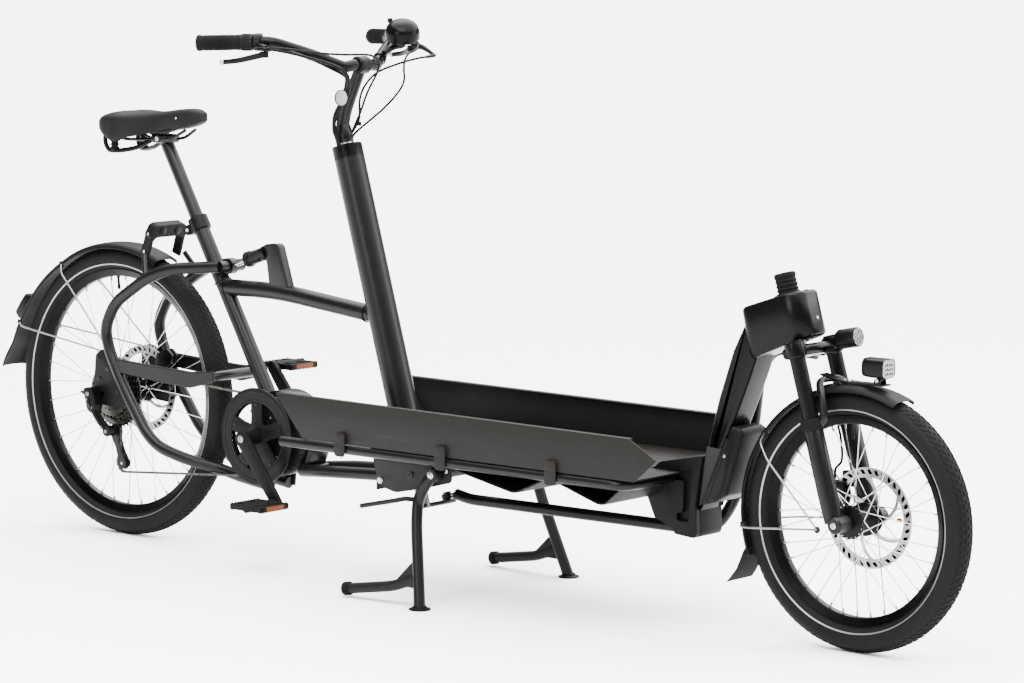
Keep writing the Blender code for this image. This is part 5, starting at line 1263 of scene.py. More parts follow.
def make_shock():
    form = Form("seat_clamp", "frame", "plastic_black")
    low, high = SEAT_TOP - SEAT_UP * 0.034, SEAT_TOP - SEAT_UP * 0.002
    form.add("smooth_black", sleeve(low, high, 0.0233, 0.0183, 40, 0.0012),
             box((0.2205, 0.0, 0.73), (0.015, 0.026, 0.024), tilt=-30, edge=0.003))
    lever = spline([(0.222, 0.01, 0.728), (0.214, 0.03, 0.724), (0.224, 0.05, 0.716)], 6)
    form.add("dark_steel", tube(lever, 0.0042, 14, 0.7))
    form.add("bright_steel", rod(
        (0.2215, -0.015, 0.7295), (0.2215, 0.015, 0.7295), 0.0042, 16, 0.0008))
    form.done()
    bearing = Form("column_bearing", "frame", "steel")
    bearing.add("dull_steel", sleeve(column_point(-0.1), column_point(-0.085), 0.0282, 0.0143, 40))
    bearing.done()
    body = Form("shock_body", "frame", "dark_steel")
    profile = [(0.0082, 0.058), (0.0172, 0.0582), (0.0185, 0.0595), (0.0185, 0.0675),
               (0.016, 0.069), (0.015, 0.072), (0.015, 0.11), (0.0172, 0.114), (0.0175, 0.116),
               (0.0175, 0.125), (0.0082, 0.125)]
    body.add("smooth_black", turned(profile, SHOCK_REAR, SHOCK_WAY, 40))
    for height in (0.078, 0.086, 0.094, 0.102):
        body.add("dark_steel", turned(
            [(0.0148, -0.002), (0.0158, -0.001), (0.0158, 0.001), (0.0148, 0.002)],
            SHOCK_REAR + SHOCK_WAY * height, SHOCK_WAY, 40))
    body.done()
    shock_rod = Form("shock_rod", "shock_rod", "steel")
    shock_rod.add("dark_steel", sleeve(
        on_side(SHOCK_REAR, -0.01), on_side(SHOCK_REAR, 0.01), 0.0185, 0.0126, 40, 0.0012))
    shock_rod.add("bright_steel", rod(
        SHOCK_REAR + SHOCK_WAY * 0.016, SHOCK_REAR + SHOCK_WAY * 0.07, 0.007, 28))
    shock_rod.done()


# Steering and cockpit


def make_column():
    form = Form("steering_shaft", "column", "steel")
    form.add("dull_steel", rod(column_point(-0.814), column_point(0.04), 0.014, 36))
    form.add("satin_paint", box(
        column_point(-0.8103, 0.0, 0.04), (0.026, 0.108, 0.01), tilt=HEAD_TILT, edge=0.003))
    form.add("dull_steel", rod(
        column_point(-0.812, 0, LINK_SIDE), column_point(-0.79, 0, LINK_SIDE), 0.005))
    form.add("dark_steel", rod(column_point(-0.7922, 0, LINK_SIDE),
                               column_point(-0.7882, 0, LINK_SIDE), 0.0095, 24, 0.0008))
    form.done()
    stem = Form("stem", "column", "alloy_black")
    stem.add("satin_paint", turned([
        (0.0142, 0.006), (0.0168, 0.006), (0.0178, 0.008), (0.0178, 0.04), (0.016, 0.0455),
        (0.0142, 0.046)], COLUMN_TOP, UP, 40))
    path = spline([column_point(0.04), (0.709, 0, 1.02), (0.729, 0, 1.065), (0.7525, 0, 1.114)], 8)
    stem.add("satin_paint", tube(path, 0.0135, 28))
    stem.add("smooth_black", sleeve(
        on_side(BAR_MIDDLE, -0.0165), on_side(BAR_MIDDLE, 0.0165), 0.0195, 0.013, 48, 0.003))
    for side in (-0.0095, 0.0095):
        for rise in (-1, 1):
            place = BAR_MIDDLE + Vector((0.0172, side, 0.0085 * rise))
            stem.add("dark_steel", set_bolt(place, (1, 0, 0.35 * rise), 0.0028, 0.002))
    stem.add("smooth_black", sleeve(column_point(0.012), column_point(0.02), 0.0186, 0.0176, 40))
    facing = Vector((1.0, -0.1, 0.02)).normalized()
    spot = Vector((0.752, -0.062, 1.0525))
    stem.add("smooth_black", turned([
        (0, -0.004), (0.012, -0.004), (0.0178, -0.001), (0.0182, 0.0012), (0.0172, 0.0016),
        (0, 0.0016)], spot, facing, 40))
    stem.add("white_reflector", turned([(0, 0.001), (0.0166, 0.001), (0.0162, 0.0026),
                                        (0.01, 0.0042), (0, 0.0048)], spot, facing, 40))
    stem.add("smooth_black", tube([spot - facing * 0.003, spot + Vector((-0.016, 0.006, -0.002)),
                                   (0.726, -0.03, 1.048), (0.72, -0.01, 1.048)], 0.0042, 12))
    stem.done()


def handlebar_path():
    right = [bar_point(-1, 0.002), bar_point(-1, 0.166), (0.716, -0.115, 1.147),
             (0.752, -0.05, 1.118), (0.755, -0.03, 1.122)]
    half = rounded(right, 0.022, 7)
    return half + [on_side(point, -point[1]) for point in reversed(half)]


def make_handlebar(sizes):
    form = Form("handlebar", "column", "alloy_black")
    form.add("gloss_paint", tube(handlebar_path(), 0.0127, 28))
    form.done()
    for name, hand, length in (("grip_right", -1, 0.098), ("grip_left", 1, 0.128)):
        way = bar_point(hand, 1) - bar_point(hand, 0)
        grip = Form(name, "column", "rubber_black")
        profile = [(0.014, 0.0), (0.0168, 0.0012), (0.018, 0.004), (0.0178, 0.008),
                   (0.0166, 0.012)]
        for k in range(1, 10):
            t = k / 10
            profile.append((0.0168 - 0.0011 * math.sin(math.pi * t), 0.012 + (length - 0.02) * t))
        profile += [(0.017, length - 0.004), (0.017, length - 0.001), (0.0166, length),
                    (0.013, length), (0.013, length - 0.004)]
        grip.add("grip_rubber", turned(profile + [(0.013, 0.0)], bar_point(hand, 0), way, 44),
                 rod(bar_point(hand, 0.0002), bar_point(hand, 0.0018), 0.0138, 32))
        rib = turned([(0.0158, -0.0009), (0.0175, -0.0005), (0.0175, 0.0005), (0.0158, 0.0009)],
                     (0, 0, 0), SKY, 36)
        spots = [(bar_point(hand, 0.018 + sizes.grip_rib_pitch * k), way)
                 for k in range(int((length - 0.03) / sizes.grip_rib_pitch))]
        grip.add_spots("grip_rubber", rib, spots)
        grip.done()
    shifter = Form("twist_shifter", "twist_shifter", "plastic_black")
    start, end = bar_point(-1, 0.0985), bar_point(-1, 0.1285)
    shifter.add("smooth_black", sleeve(start, end, 0.0182, 0.0131, 44, 0.0015))
    way = (end - start).normalized()
    rib = box((0.0, 0.0, 0.0), (0.0022, 0.0016, 0.02), edge=0.0006, steps=1)
    spots = []
    side = way.cross(SKY).normalized()
    rise = side.cross(way).normalized()
    for k in range(28):
        turn = 2 * math.pi * k / 28
        spots.append((
            start + way * 0.014 + (side * math.cos(turn) + rise * math.sin(turn)) * 0.018, way))
    shifter.add_spots("grip_rubber", rib, spots)
    shifter.done()


def make_brakes():
    for side, hand in (("right", -1), ("left", 1)):
        pivot = lever_pivot(hand)
        form = Form("brake_clamp_" + side, "column", "plastic_black")
        form.add("smooth_black", sleeve(
            bar_point(hand, 0.1295), bar_point(hand, 0.1455), 0.0193, 0.0131, 40, 0.0015))
        arm = spline([bar_point(hand, 0.138) + Vector((0.01, 0.012 * hand, -0.008)),
                      pivot + Vector((-0.004, 0, 0.015)), pivot + Vector((0.006, 0, 0.013))], 6)
        form.add("smooth_black", tube(arm, 0.0068, 16, square=0.8),
                 box(pivot + Vector((0, 0, 0.0115)), (0.026, 0.024, 0.008), edge=0.003))
        form.add("bright_steel", set_bolt(pivot + Vector((0, 0, 0.0152)), SKY, 0.0042, 0.0016))
        form.add("dark_steel", turned([
            (0.0022, 0), (0.0048, 0), (0.0052, 0.002), (0.0052, 0.007), (0.0046, 0.009),
            (0.0022, 0.009)], pivot + Vector((0.0105, 0, 0.0115)), (1, 0, 0), 24))
        form.add("bright_steel", set_bolt(
            bar_point(hand, 0.1375) + Vector((0.015, 0.004 * hand, -0.01)),
            (0.75, 0.2 * hand, -0.6), 0.003, 0.0024))
        form.done()
        lever = Form("brake_lever_" + side, "brake_lever_" + side, "dark_steel")
        tip = Vector((0.598, 0.27 * hand, 1.132))
        bend = Vector((0.64, 0.262 * hand, 1.137))
        path = spline([pivot, bend, tip], 9)
        radii = [0.0068 - 0.0016 * k / (len(path) - 1) for k in range(len(path))]
        lever.add("smooth_black", tube(path, radii, 18, 0.62, SKY))
        lever.add("bright_steel", ball(tip, 0.0062, 20))
        lever.add("smooth_black", rod(
            pivot - Vector((0, 0, 0.007)), pivot + Vector((0, 0, 0.0065)), 0.0098, 28, 0.001))
        lever.done()


def make_bell():
    form = Form("bell", "column", "gloss_black")
    spot = Vector((0.734, 0.0825, 1.1325))
    along = (Vector((0.716, 0.115, 1.147)) - Vector((0.752, 0.05, 1.118))).normalized()
    form.add("gloss_paint", sleeve(
        spot - along * 0.005, spot + along * 0.005, 0.0152, 0.0131, 36, 0.001))
    stalk = spline([spot + Vector((0.01, 0.004, 0.013)), (0.752, 0.11, 1.157),
                    (BELL.x, BELL.y, 1.162), (BELL.x, BELL.y, 1.183)], 6)
    form.add("smooth_black", tube(stalk, 0.0058, 16))
    base = BELL + Vector((0.001, -0.004, 0.0034))
    lean = Vector((0.26, -0.3, 0.92)).normalized()
    dome = [(0, 0.001), (0.03, 0.001), (0.0365, 0.0), (0.0382, 0.0012), (0.0386, 0.004),
            (0.0385, 0.011), (0.0374, 0.019), (0.0348, 0.0262), (0.0305, 0.032), (0.024, 0.0366),
            (0.016, 0.0396), (0.008, 0.0408), (0, 0.041)]
    form.add("bell_paint", turned(dome, base, lean, 64))
    form.add("smooth_black", turned([
        (0.0376, 0.0), (0.0385, 0.0008), (0.0385, 0.003), (0.0366, 0.003)], base, lean, 64))
    form.done()
    knob = Form("bell_knob", "bell_knob", "gloss_black")
    knob.add("smooth_black", sleeve(BELL - SKY * 0.0025, BELL + SKY * 0.0025, 0.0138, 0.0064, 32),
             box(BELL + Vector((-0.029, 0.0065, 0)), (0.04, 0.009, 0.005), turn=-13, edge=0.0018))
    peg = BELL + Vector((-0.05, 0.0115, -0.0005))
    knob.add("smooth_black", turned([
        (0, 0), (0.0045, 0), (0.005, 0.002), (0.0034, 0.01), (0.003, 0.0345), (0.0046, 0.0362),
        (0.006, 0.039), (0.0064, 0.0415), (0.0059, 0.0442), (0.004, 0.0464), (0, 0.0473)], peg,
        SKY, 28))
    knob.done()


RIGHT_CABLES = (
    ((0, 0, 0.0115, "pivot"), (0.722, -0.21, 1.16), (0.722, -0.178, 1.153), (0.73, -0.132, 1.138),
     (0.744, -0.085, 1.117), (0.757, -0.05, 1.096), (0.752, -0.037, 1.065), (0.728, -0.039, 1.03),
     (0.708, -0.035, 0.995), (0.02, -0.0262, "column"), (-0.004, -0.024, "column"),
     (-0.04, -0.0238, "column")),
    ((0.004, 0.003, 0.0105, "pivot"), (0.727, -0.206, 1.155), (0.735, -0.17, 1.147),
     (0.75, -0.11, 1.131), (0.761, -0.07, 1.114), (0.759, -0.052, 1.09), (0.738, -0.045, 1.047),
     (0.712, -0.04, 1.013), (0.704, -0.035, 0.98), (0.018, -0.029, "column"),
     (-0.004, -0.0272, "column")),
    ((0.724, -0.135, 1.139), (0.745, -0.092, 1.128), (0.76, -0.06, 1.112), (0.757, -0.042, 1.09),
     (0.742, -0.035, 1.058), (0.72, -0.033, 1.02), (0.712, -0.03, 0.985),
     (0.018, -0.022, "column"), (-0.004, -0.021, "column")),
    ((0.0, 0.002, 0.015, "pivot"), (0.735, -0.19, 1.16), (0.765, -0.14, 1.152),
     (0.791, -0.09, 1.148), (0.806, -0.03, 1.146), (0.806, 0.002, 1.131), (0.789, 0.013, 1.104),
     (0.76, 0.014, 1.061), (0.738, 0.016, 1.019), (0.022, 0.022, "column"),
     (-0.004, 0.0235, "column")))
LEFT_CABLES = (
    ((0, 0, 0.0115, "pivot"), (0.738, 0.198, 1.149), (0.739, 0.172, 1.141), (0.75, 0.147, 1.127),
     (0.7675, 0.125, 1.1074), (0.783, 0.109, 1.089), (0.788, 0.095, 1.0719),
     (0.785, 0.079, 1.0537), (0.7769, 0.063, 1.0354), (0.765, 0.049, 1.018), (0.745, 0.04, 1.0),
     (0.02, 0.0268, "column"), (-0.004, 0.024, "column"), (-0.04, 0.0238, "column")),
    ((0.775, 0.219, 1.1362), (0.752, 0.18, 1.1294), (0.737, 0.13, 1.1174), (0.727, 0.08, 1.101),
     (0.724, 0.045, 1.074), (0.728, 0.024, 1.044), (0.731, 0.018, 1.001), (0.02, 0.019, "column"),
     (-0.004, 0.02, "column")))


def cable_route(hand, marks):
    """Marks of a cable: plain points, or counted from a lever's pivot or from the column's top."""
    route = []
    for mark in marks:
        if mark[-1] == "pivot":
            start = lever_pivot(hand) + Vector((0.0149 + mark[0], mark[1], mark[2]))
            route += [start, start + Vector((0.007, 0, -0.0003))]
        elif mark[-1] == "column":
            route.append(column_point(mark[0], 0.0, mark[1]))
        else:
            route.append(Vector(mark))
    return route


def make_cables():
    for name, hand, cables in (("cable_right", -1, RIGHT_CABLES), ("cable_left", 1, LEFT_CABLES)):
        form = Form(name, "column", "rubber_black")
        for k, marks in enumerate(cables):
            thick = 0.0026 if hand > 0 or k == 3 else 0.0031
            form.add("cable_black", tube(spline(cable_route(hand, marks), 8), thick, 14))
        if hand > 0:
            end = Vector(LEFT_CABLES[1][0])
            clamp = lever_pivot(1) + Vector((0.01, 0.0, 0.006))
            form.add("smooth_black", tube(
                spline([clamp, clamp + Vector((0.03, -0.004, -0.004)), end], 6),
                [0.0085 - 0.0004 * j for j in range(13)], 16))
            form.add("dark_steel", tube([end, end + Vector((-0.01, -0.016, -0.0027))], 0.0038, 14))
            form.add("smooth_black", sleeve(
                (0.729, 0.02, 0.988), (0.73, 0.02, 0.996), 0.0052, 0.0028))
        form.done()


def make_steering_rod():
    form = Form("steering_rod", "rod", "alloy_black")
    start = column_point(-0.7987, 0, LINK_SIDE)
    end = head_point(-0.1525, 0, LINK_SIDE)
    bends = [(1.0, 0.1785), (1.6, 0.1835), (1.672, 0.19), (1.716, 0.243), (1.744, 0.312),
             (1.768, 0.4), (1.784, 0.53), (1.82, 0.578)]
    path = [start + FORWARD * 0.028, *[on_side(bend, LINK_SIDE) for bend in bends],
            end - FORWARD * 0.024]
    form.add("satin_paint", tube(rounded(path, 0.05, 8), 0.0125, 24))
    form.add("dark_steel", sleeve(
        start - UP * 0.006, start + UP * 0.006, 0.0135, 0.0058, 36, 0.001))
    form.add("dull_steel", rod(start + FORWARD * 0.0115, start + FORWARD * 0.036, 0.005, 20),
             rod(end - FORWARD * 0.006, end - FORWARD * 0.03, 0.0064, 20))
    form.add("smooth_black", rod(end - UP * 0.008, end + UP * 0.008, 0.0125, 36, 0.002))
    form.done()


# Fork, lamps and front mudguard


def make_fork():
    form = Form("fork_crown", "fork", "gloss_black")
    form.add("dull_steel", rod(head_point(-0.155), head_point(-0.036), 0.0134, 32))
    form.add("gloss_paint", box(
        head_point(-0.1461, 0.0145), (0.057, 0.1, 0.0236), tilt=HEAD_TILT, edge=0.007, steps=5))
    for hand in (-1, 1):
        collar = [(0, 0), (0.0185, 0), (0.0208, 0.003), (0.021, 0.008), (0.021, 0.026),
                  (0.02, 0.03), (0.017, 0.0315), (0, 0.0315)]
        form.add("gloss_paint", turned(collar, leg_point(0.16, hand), UP, 40))
        form.add("smooth_black", rod(leg_point(0.333, hand), leg_point(0.125, hand), 0.016, 36))
        knob = [(0, 0), (0.0125, 0), (0.0135, 0.0015), (0.013, 0.005), (0, 0.006)]
        form.add("dark_steel", turned(
            [(radius, height * 0.6) for radius, height in knob], leg_point(0.128, hand), UP, 30))
    form.add("gloss_paint", box(
        head_point(-0.1364, 0, 0.062), (0.024, 0.06, 0.0072), tilt=HEAD_TILT, edge=0.003))
    form.add("dull_steel", rod(
        head_point(-0.136, 0, LINK_SIDE), head_point(-0.144, 0, LINK_SIDE), 0.0045, 20))
    form.add("smooth_black", box(
        (1.9975, 0.0215, 0.5945), (0.026, 0.004, 0.014), tilt=10, edge=0.0015))
    form.done()
    lowers = Form("fork_lowers", "fork_lower", "alloy_black")
    for hand in (-1, 1):
        leg = [(0.0163, 0.0), (0.019, 0.0), (0.02, 0.004), (0.02, 0.15), (0.0192, 0.18),
               (0.0186, 0.2), (0.014, 0.202), (0.0163, 0.19)]
        lowers.add("satin_paint", turned(leg, leg_point(0.29, hand), -UP, 36))
        seal = [(0.0163, 0), (0.0205, 0), (0.0226, 0.002), (0.0232, 0.005), (0.0226, 0.0075),
                (0.0232, 0.01), (0.0226, 0.013), (0.0232, 0.0165), (0.021, 0.023), (0.0163, 0.023)]
        lowers.add("grip_rubber", turned(seal, leg_point(0.283, hand), -UP, 40))
        lowers.add("satin_paint", axle_rod(FRONT_AXLE, hand, 0.0418, 0.084, 0.0168, 36, 0.003))
        lowers.add("bright_steel", set_bolt(
            on_side(FRONT_AXLE, 0.0838 * hand), LEFT * hand, 0.0068, 0.0026))
        lowers.add("satin_paint", rod(
            leg_point(0.44, hand), leg_point(0.491, hand), 0.0172, 32, 0.004))
    lowers.add("dull_steel", axle_rod(FRONT_AXLE, 1, -0.08, 0.08, 0.0065, 20))
    arch = []
    for depth, forward, side in (
            (0.297, 0.046, 0.06), (0.283, 0.061, 0.058), (0.245, 0.062, 0.052),
            (0.216, 0.052, 0.034), (0.211, 0.046, 0.0)):
        arch.append(head_point(-depth, forward, -side))
    arch += [on_side(point, -point.y) for point in reversed(arch[:-1])]
    lowers.add("satin_paint", tube(spline(arch, 5), 0.0085, 20, 0.75, FORWARD))
    strip = spline([
        (2.0, 0, 0.5478), (2.031, 0, 0.5413), (2.061, 0, 0.5378), (2.152, 0, 0.5378)], 6)
    section = ((-0.0125, -0.0017), (0.0125, -0.0017), (0.0125, 0.0017), (-0.0125, 0.0017))
    band = [[Vector((point.x, side, point.z + rise)) for side, rise in section] for point in strip]
    lowers.add("smooth_black", skin(band))
    for place in ((2.066, -0.0055, 0.5394), (2.066, 0.0055, 0.5394), (2.05, 0.0, 0.5398)):
        lowers.add("bright_steel", set_bolt(place, SKY, 0.0034, 0.0022, hex_bolt))
    for hand in (-1, 1):
        ear = curved([(2.128, 0.538), (2.142, 0.538), (2.142, 0.5475), (2.139, 0.5505),
                      (2.131, 0.5505), (2.128, 0.5475)], 0.002)
        lowers.add("smooth_black", side_plate(hand, ear, 0.0082, 0.0121, 0.0006))
        lowers.add("bright_steel", set_bolt(
            (2.135, 0.012 * hand, 0.5465), LEFT * hand, 0.003, 0.0018, hex_bolt))
    lowers.add("satin_paint", box((2.026, 0.05815, 0.334), (0.034, 0.0117, 0.032), edge=0.003))
    lowers.done()


def make_lamps():
    way = Vector((0.982, 0.0, 0.189))
    rear = Vector((2.012, 0.03, 0.614))
    form = Form("headlight_upper", "headlight_upper", "plastic_black")
    shell = [(0, 0.0), (0.012, 0.0), (0.0158, 0.0015), (0.0178, 0.0045), (0.019, 0.009),
             (0.0196, 0.02), (0.02, 0.033), (0.02, 0.048), (0.0196, 0.05), (0.0182, 0.051),
             (0.0172, 0.048), (0, 0.0478)]
    form.add("smooth_black", turned(shell, rear, way, 56))
    for height in (0.008, 0.0125, 0.017, 0.0215):
        form.add("smooth_black", turned([(0.018, -0.0008), (0.02, -0.0004), (0.02, 0.0004),
                                         (0.018, 0.0008)], rear + way * height, way, 48))
    form.add("stripe", turned([
        (0.0166, 0.047), (0.0185, 0.05), (0.018, 0.0509), (0.0164, 0.049)], rear, way, 56))
    form.add("lamp_lens", turned([(0, 0.048), (0.0166, 0.048), (0.016, 0.0494), (0.011, 0.0502),
                                  (0, 0.0504)], rear, way, 56))
    disc = turned([
        (0.0022, 0.0), (0.0044, 0.0), (0.0044, 0.0009), (0.003, 0.0007)], (0, 0, 0), SKY, 16)
    face = rear + way * 0.05
    rise = Vector((-way.z, 0, way.x))
    spots = [(face, way)]
    for k in range(7):
        turn = 2 * math.pi * k / 7
        spots.append((
            face + (LEFT * math.cos(turn) + rise * math.sin(turn)) * 0.0105 - way * 0.0002, way))
    form.add_spots("dark_steel", disc, spots)
    pivot = Vector((2.004, 0.03, 0.592))
    form.add("smooth_black", axle_rod(pivot, 1, 0.024, 0.036, 0.0062, 24, 0.001))
    form.add("bright_steel", set_bolt(on_side(pivot, 0.0358), LEFT, 0.0036, 0.002))
    neck = spline([pivot, (2.014, 0.03, 0.5945), (2.024, 0.03, 0.606)], 5)
    form.add("smooth_black", tube(neck, 0.0055, 16))
    form.done()

    lamp = Form("headlight_lower", "headlight_lower", "plastic_black")

    def shell_ring(x, half_width, low, high, square=0.42, count=32):
        middle, tall = (low + high) / 2, (high - low) / 2
        ring = []
        for k in range(count):
            turn = 2 * math.pi * (k + 0.5) / count
            c, s = math.cos(turn), math.sin(turn)
            ring.append(Vector((x, half_width * math.copysign(abs(c) ** square, c),
                                middle + tall * math.copysign(abs(s) ** square, s))))
        return ring

    rings = [shell_ring(*row) for row in (
        (2.099, 0.01, 0.56, 0.58), (2.1005, 0.015, 0.556, 0.5845), (2.104, 0.0188, 0.5532, 0.5872),
        (2.112, 0.0212, 0.5517, 0.589), (2.13, 0.0222, 0.5512, 0.5898),
        (2.15, 0.0225, 0.551, 0.59), (2.1548, 0.0225, 0.551, 0.59), (2.156, 0.0215, 0.552, 0.589),
        (2.155, 0.0202, 0.5532, 0.5878), (2.153, 0.0198, 0.5536, 0.5874))]
    lamp.add("smooth_black", skin(rings))
    for x in (2.106, 2.112, 2.118, 2.124):
        lamp.add("smooth_black", skin([shell_ring(x - 0.0006, 0.0195, 0.553, 0.5899, 0.45),
                                       shell_ring(x + 0.0006, 0.0195, 0.553, 0.5899, 0.45)]))
    bezel = ((2.1552, 0.0212, 0.5523, 0.5887), (2.1559, 0.0206, 0.5529, 0.5881),
             (2.1552, 0.0196, 0.5538, 0.5872), (2.154, 0.02, 0.5534, 0.5876))
    lamp.add("stripe", skin([shell_ring(*row) for row in bezel], loop=True))
    cover = ((2.1526, 0.0197, 0.5537, 0.5873), (2.1546, 0.0194, 0.554, 0.587),
             (2.1553, 0.015, 0.558, 0.583))
    lamp.add("lamp_lens", skin([shell_ring(*row) for row in cover]))
    disc = turned([
        (0.002, 0.0), (0.004, 0.0), (0.004, 0.0009), (0.0028, 0.0007)], (0, 0, 0), SKY, 16)
    spots = [(Vector((2.155, 0.0092 * column, 0.5705 + 0.0088 * row)), FORWARD)
             for column in (-1, 0, 1) for row in (-1, 0, 1)]
    lamp.add_spots("dark_steel", disc, spots)
    lamp.add("smooth_black", box((2.135, 0, 0.549), (0.008, 0.013, 0.009), edge=0.0015),
             rod((2.135, -0.0078, 0.5465), (2.135, 0.0078, 0.5465), 0.0045, 20))
    lamp.done()


def make_front_fender():
    form = Form("front_fender", "fork_lower", "plastic_black")
    form.add("fender_black", fender_sheet(
        FRONT_AXLE, lambda angle: 0.2706, 0.0365, 0.0115, 66.4, 201.0, 74))
    rings = []
    for angle, inner, outer, half in (
            (196.0, 0.2645, 0.2668, 0.022), (199.0, 0.269, 0.2713, 0.036),
            (202.0, 0.282, 0.2843, 0.037), (204.6, 0.2957, 0.2982, 0.038),
            (206.4, 0.313, 0.3153, 0.0412), (207.6, 0.3287, 0.331, 0.043)):
        rings.append([around(FRONT_AXLE, radius, angle, side) for radius, side in (
            (inner, -half), (inner, half), (outer, half), (outer, -half))])
    form.add("grip_rubber", skin(rings))
    for hand in (-1, 1):
        eyelet = Vector((2.05, 0.0875 * hand, 0.252))
        for angle in (142.6, 187.0):
            edge = around(FRONT_AXLE, 0.2588, angle, 0.0352 * hand)
            turn = around(FRONT_AXLE, 0.24, angle, 0.07 * hand)
            near = turn + (eyelet - turn) * 0.18
            near.y = 0.086 * hand
            form.add("dull_steel", tube(rounded([edge, turn, near, eyelet], 0.012, 5), 0.0021, 12))
            form.add("moulded_black", box(edge - Vector((0, 0.001 * hand, 0)),
                                          (0.01, 0.003, 0.016), tilt=angle - 90, edge=0.001))
        form.add("dark_steel", axle_rod(eyelet, hand, 0.0852, 0.0892, 0.007, 24, 0.0008))
    form.add("moulded_black", box(
        head_point(-0.2252, 0.046, 0), (0.018, 0.018, 0.008), tilt=HEAD_TILT, edge=0.002))
    form.done()


def make_front_brake():
    form = Form("front_caliper", "fork_lower", "dark_steel")
    shell = curved([(1.97, 0.285), (1.985, 0.273), (2.03, 0.28), (2.036, 0.3), (2.03, 0.331),
                    (1.985, 0.331), (1.97, 0.318)], 0.006, 5)
    form.add("smooth_black", plate(shell, 0.0412, 0.052, 0.003, 3),
             plate(shell, 0.027, 0.0348, 0.003, 3),
             box((1.978, 0.038, 0.302), (0.01, 0.018, 0.034), edge=0.002))
    for place in ((1.99, 0.0518, 0.323), (2.022, 0.0518, 0.289)):
        form.add("bright_steel", set_bolt(place, LEFT, 0.004, 0.0024))
    form.add("dull_steel", rod((2.004, 0.0515, 0.304), (2.004, 0.053, 0.304), 0.01, 32, 0.0006))
    form.done()
    hose = Form("front_hose", "fork_lower", "rubber_black")
    route = [(1.998, 0.045, 0.3321), (1.996, 0.05, 0.352), leg_point(0.372, 1, -0.036, -0.004),
             leg_point(0.33, 1, -0.0285, -0.002), leg_point(0.296, 1, -0.0285, -0.002)]
    hose.add("cable_black", tube(spline(route, 7), 0.0026, 14))
    hose.done()


# Rear end and drive


def belt(wheels):
    """Closed path of a chain round wheels (centre, radius, turning sense)."""
    contacts = []
    for (c1, r1, s1), (c2, r2, s2) in zip(wheels, wheels[1:] + wheels[:1]):
        span = Vector((c2.x - c1.x, c2.z - c1.z))
        reach = span.length
        ahead = span / reach
        aside = Vector((-ahead.y, ahead.x))
        offset = s2 * r2 - s1 * r1
        along = math.sqrt(reach * reach - offset * offset)
        normal = ahead * (offset / reach) + aside * (along / reach)
        contacts.append((
            Vector((c1.x, c1.z)) - normal * (s1 * r1), Vector((c2.x, c2.z)) - normal * (s2 * r2)))
    path = []
    for k, (centre, radius, sense) in enumerate(wheels):
        middle = Vector((centre.x, centre.z))
        start = contacts[k - 1][1] - middle
        end = contacts[k][0] - middle
        first = math.atan2(start.y, start.x)
        turn = (math.atan2(end.y, end.x) - first) * sense % (2 * math.pi)
        steps = max(4, round(turn / math.radians(5)))
        for j in range(steps + 1):
            angle = first + sense * turn * j / steps
            path.append(Vector((
                middle.x + radius * math.cos(angle), 0, middle.y + radius * math.sin(angle))))
    return path


CHAIN_WHEELS = [(CRANK_AXLE, 0.0908, 1), (REAR_AXLE, 0.0624, 1), (UPPER_PULLEY, 0.0215, -1),
                (LOWER_PULLEY, 0.0215, 1)]


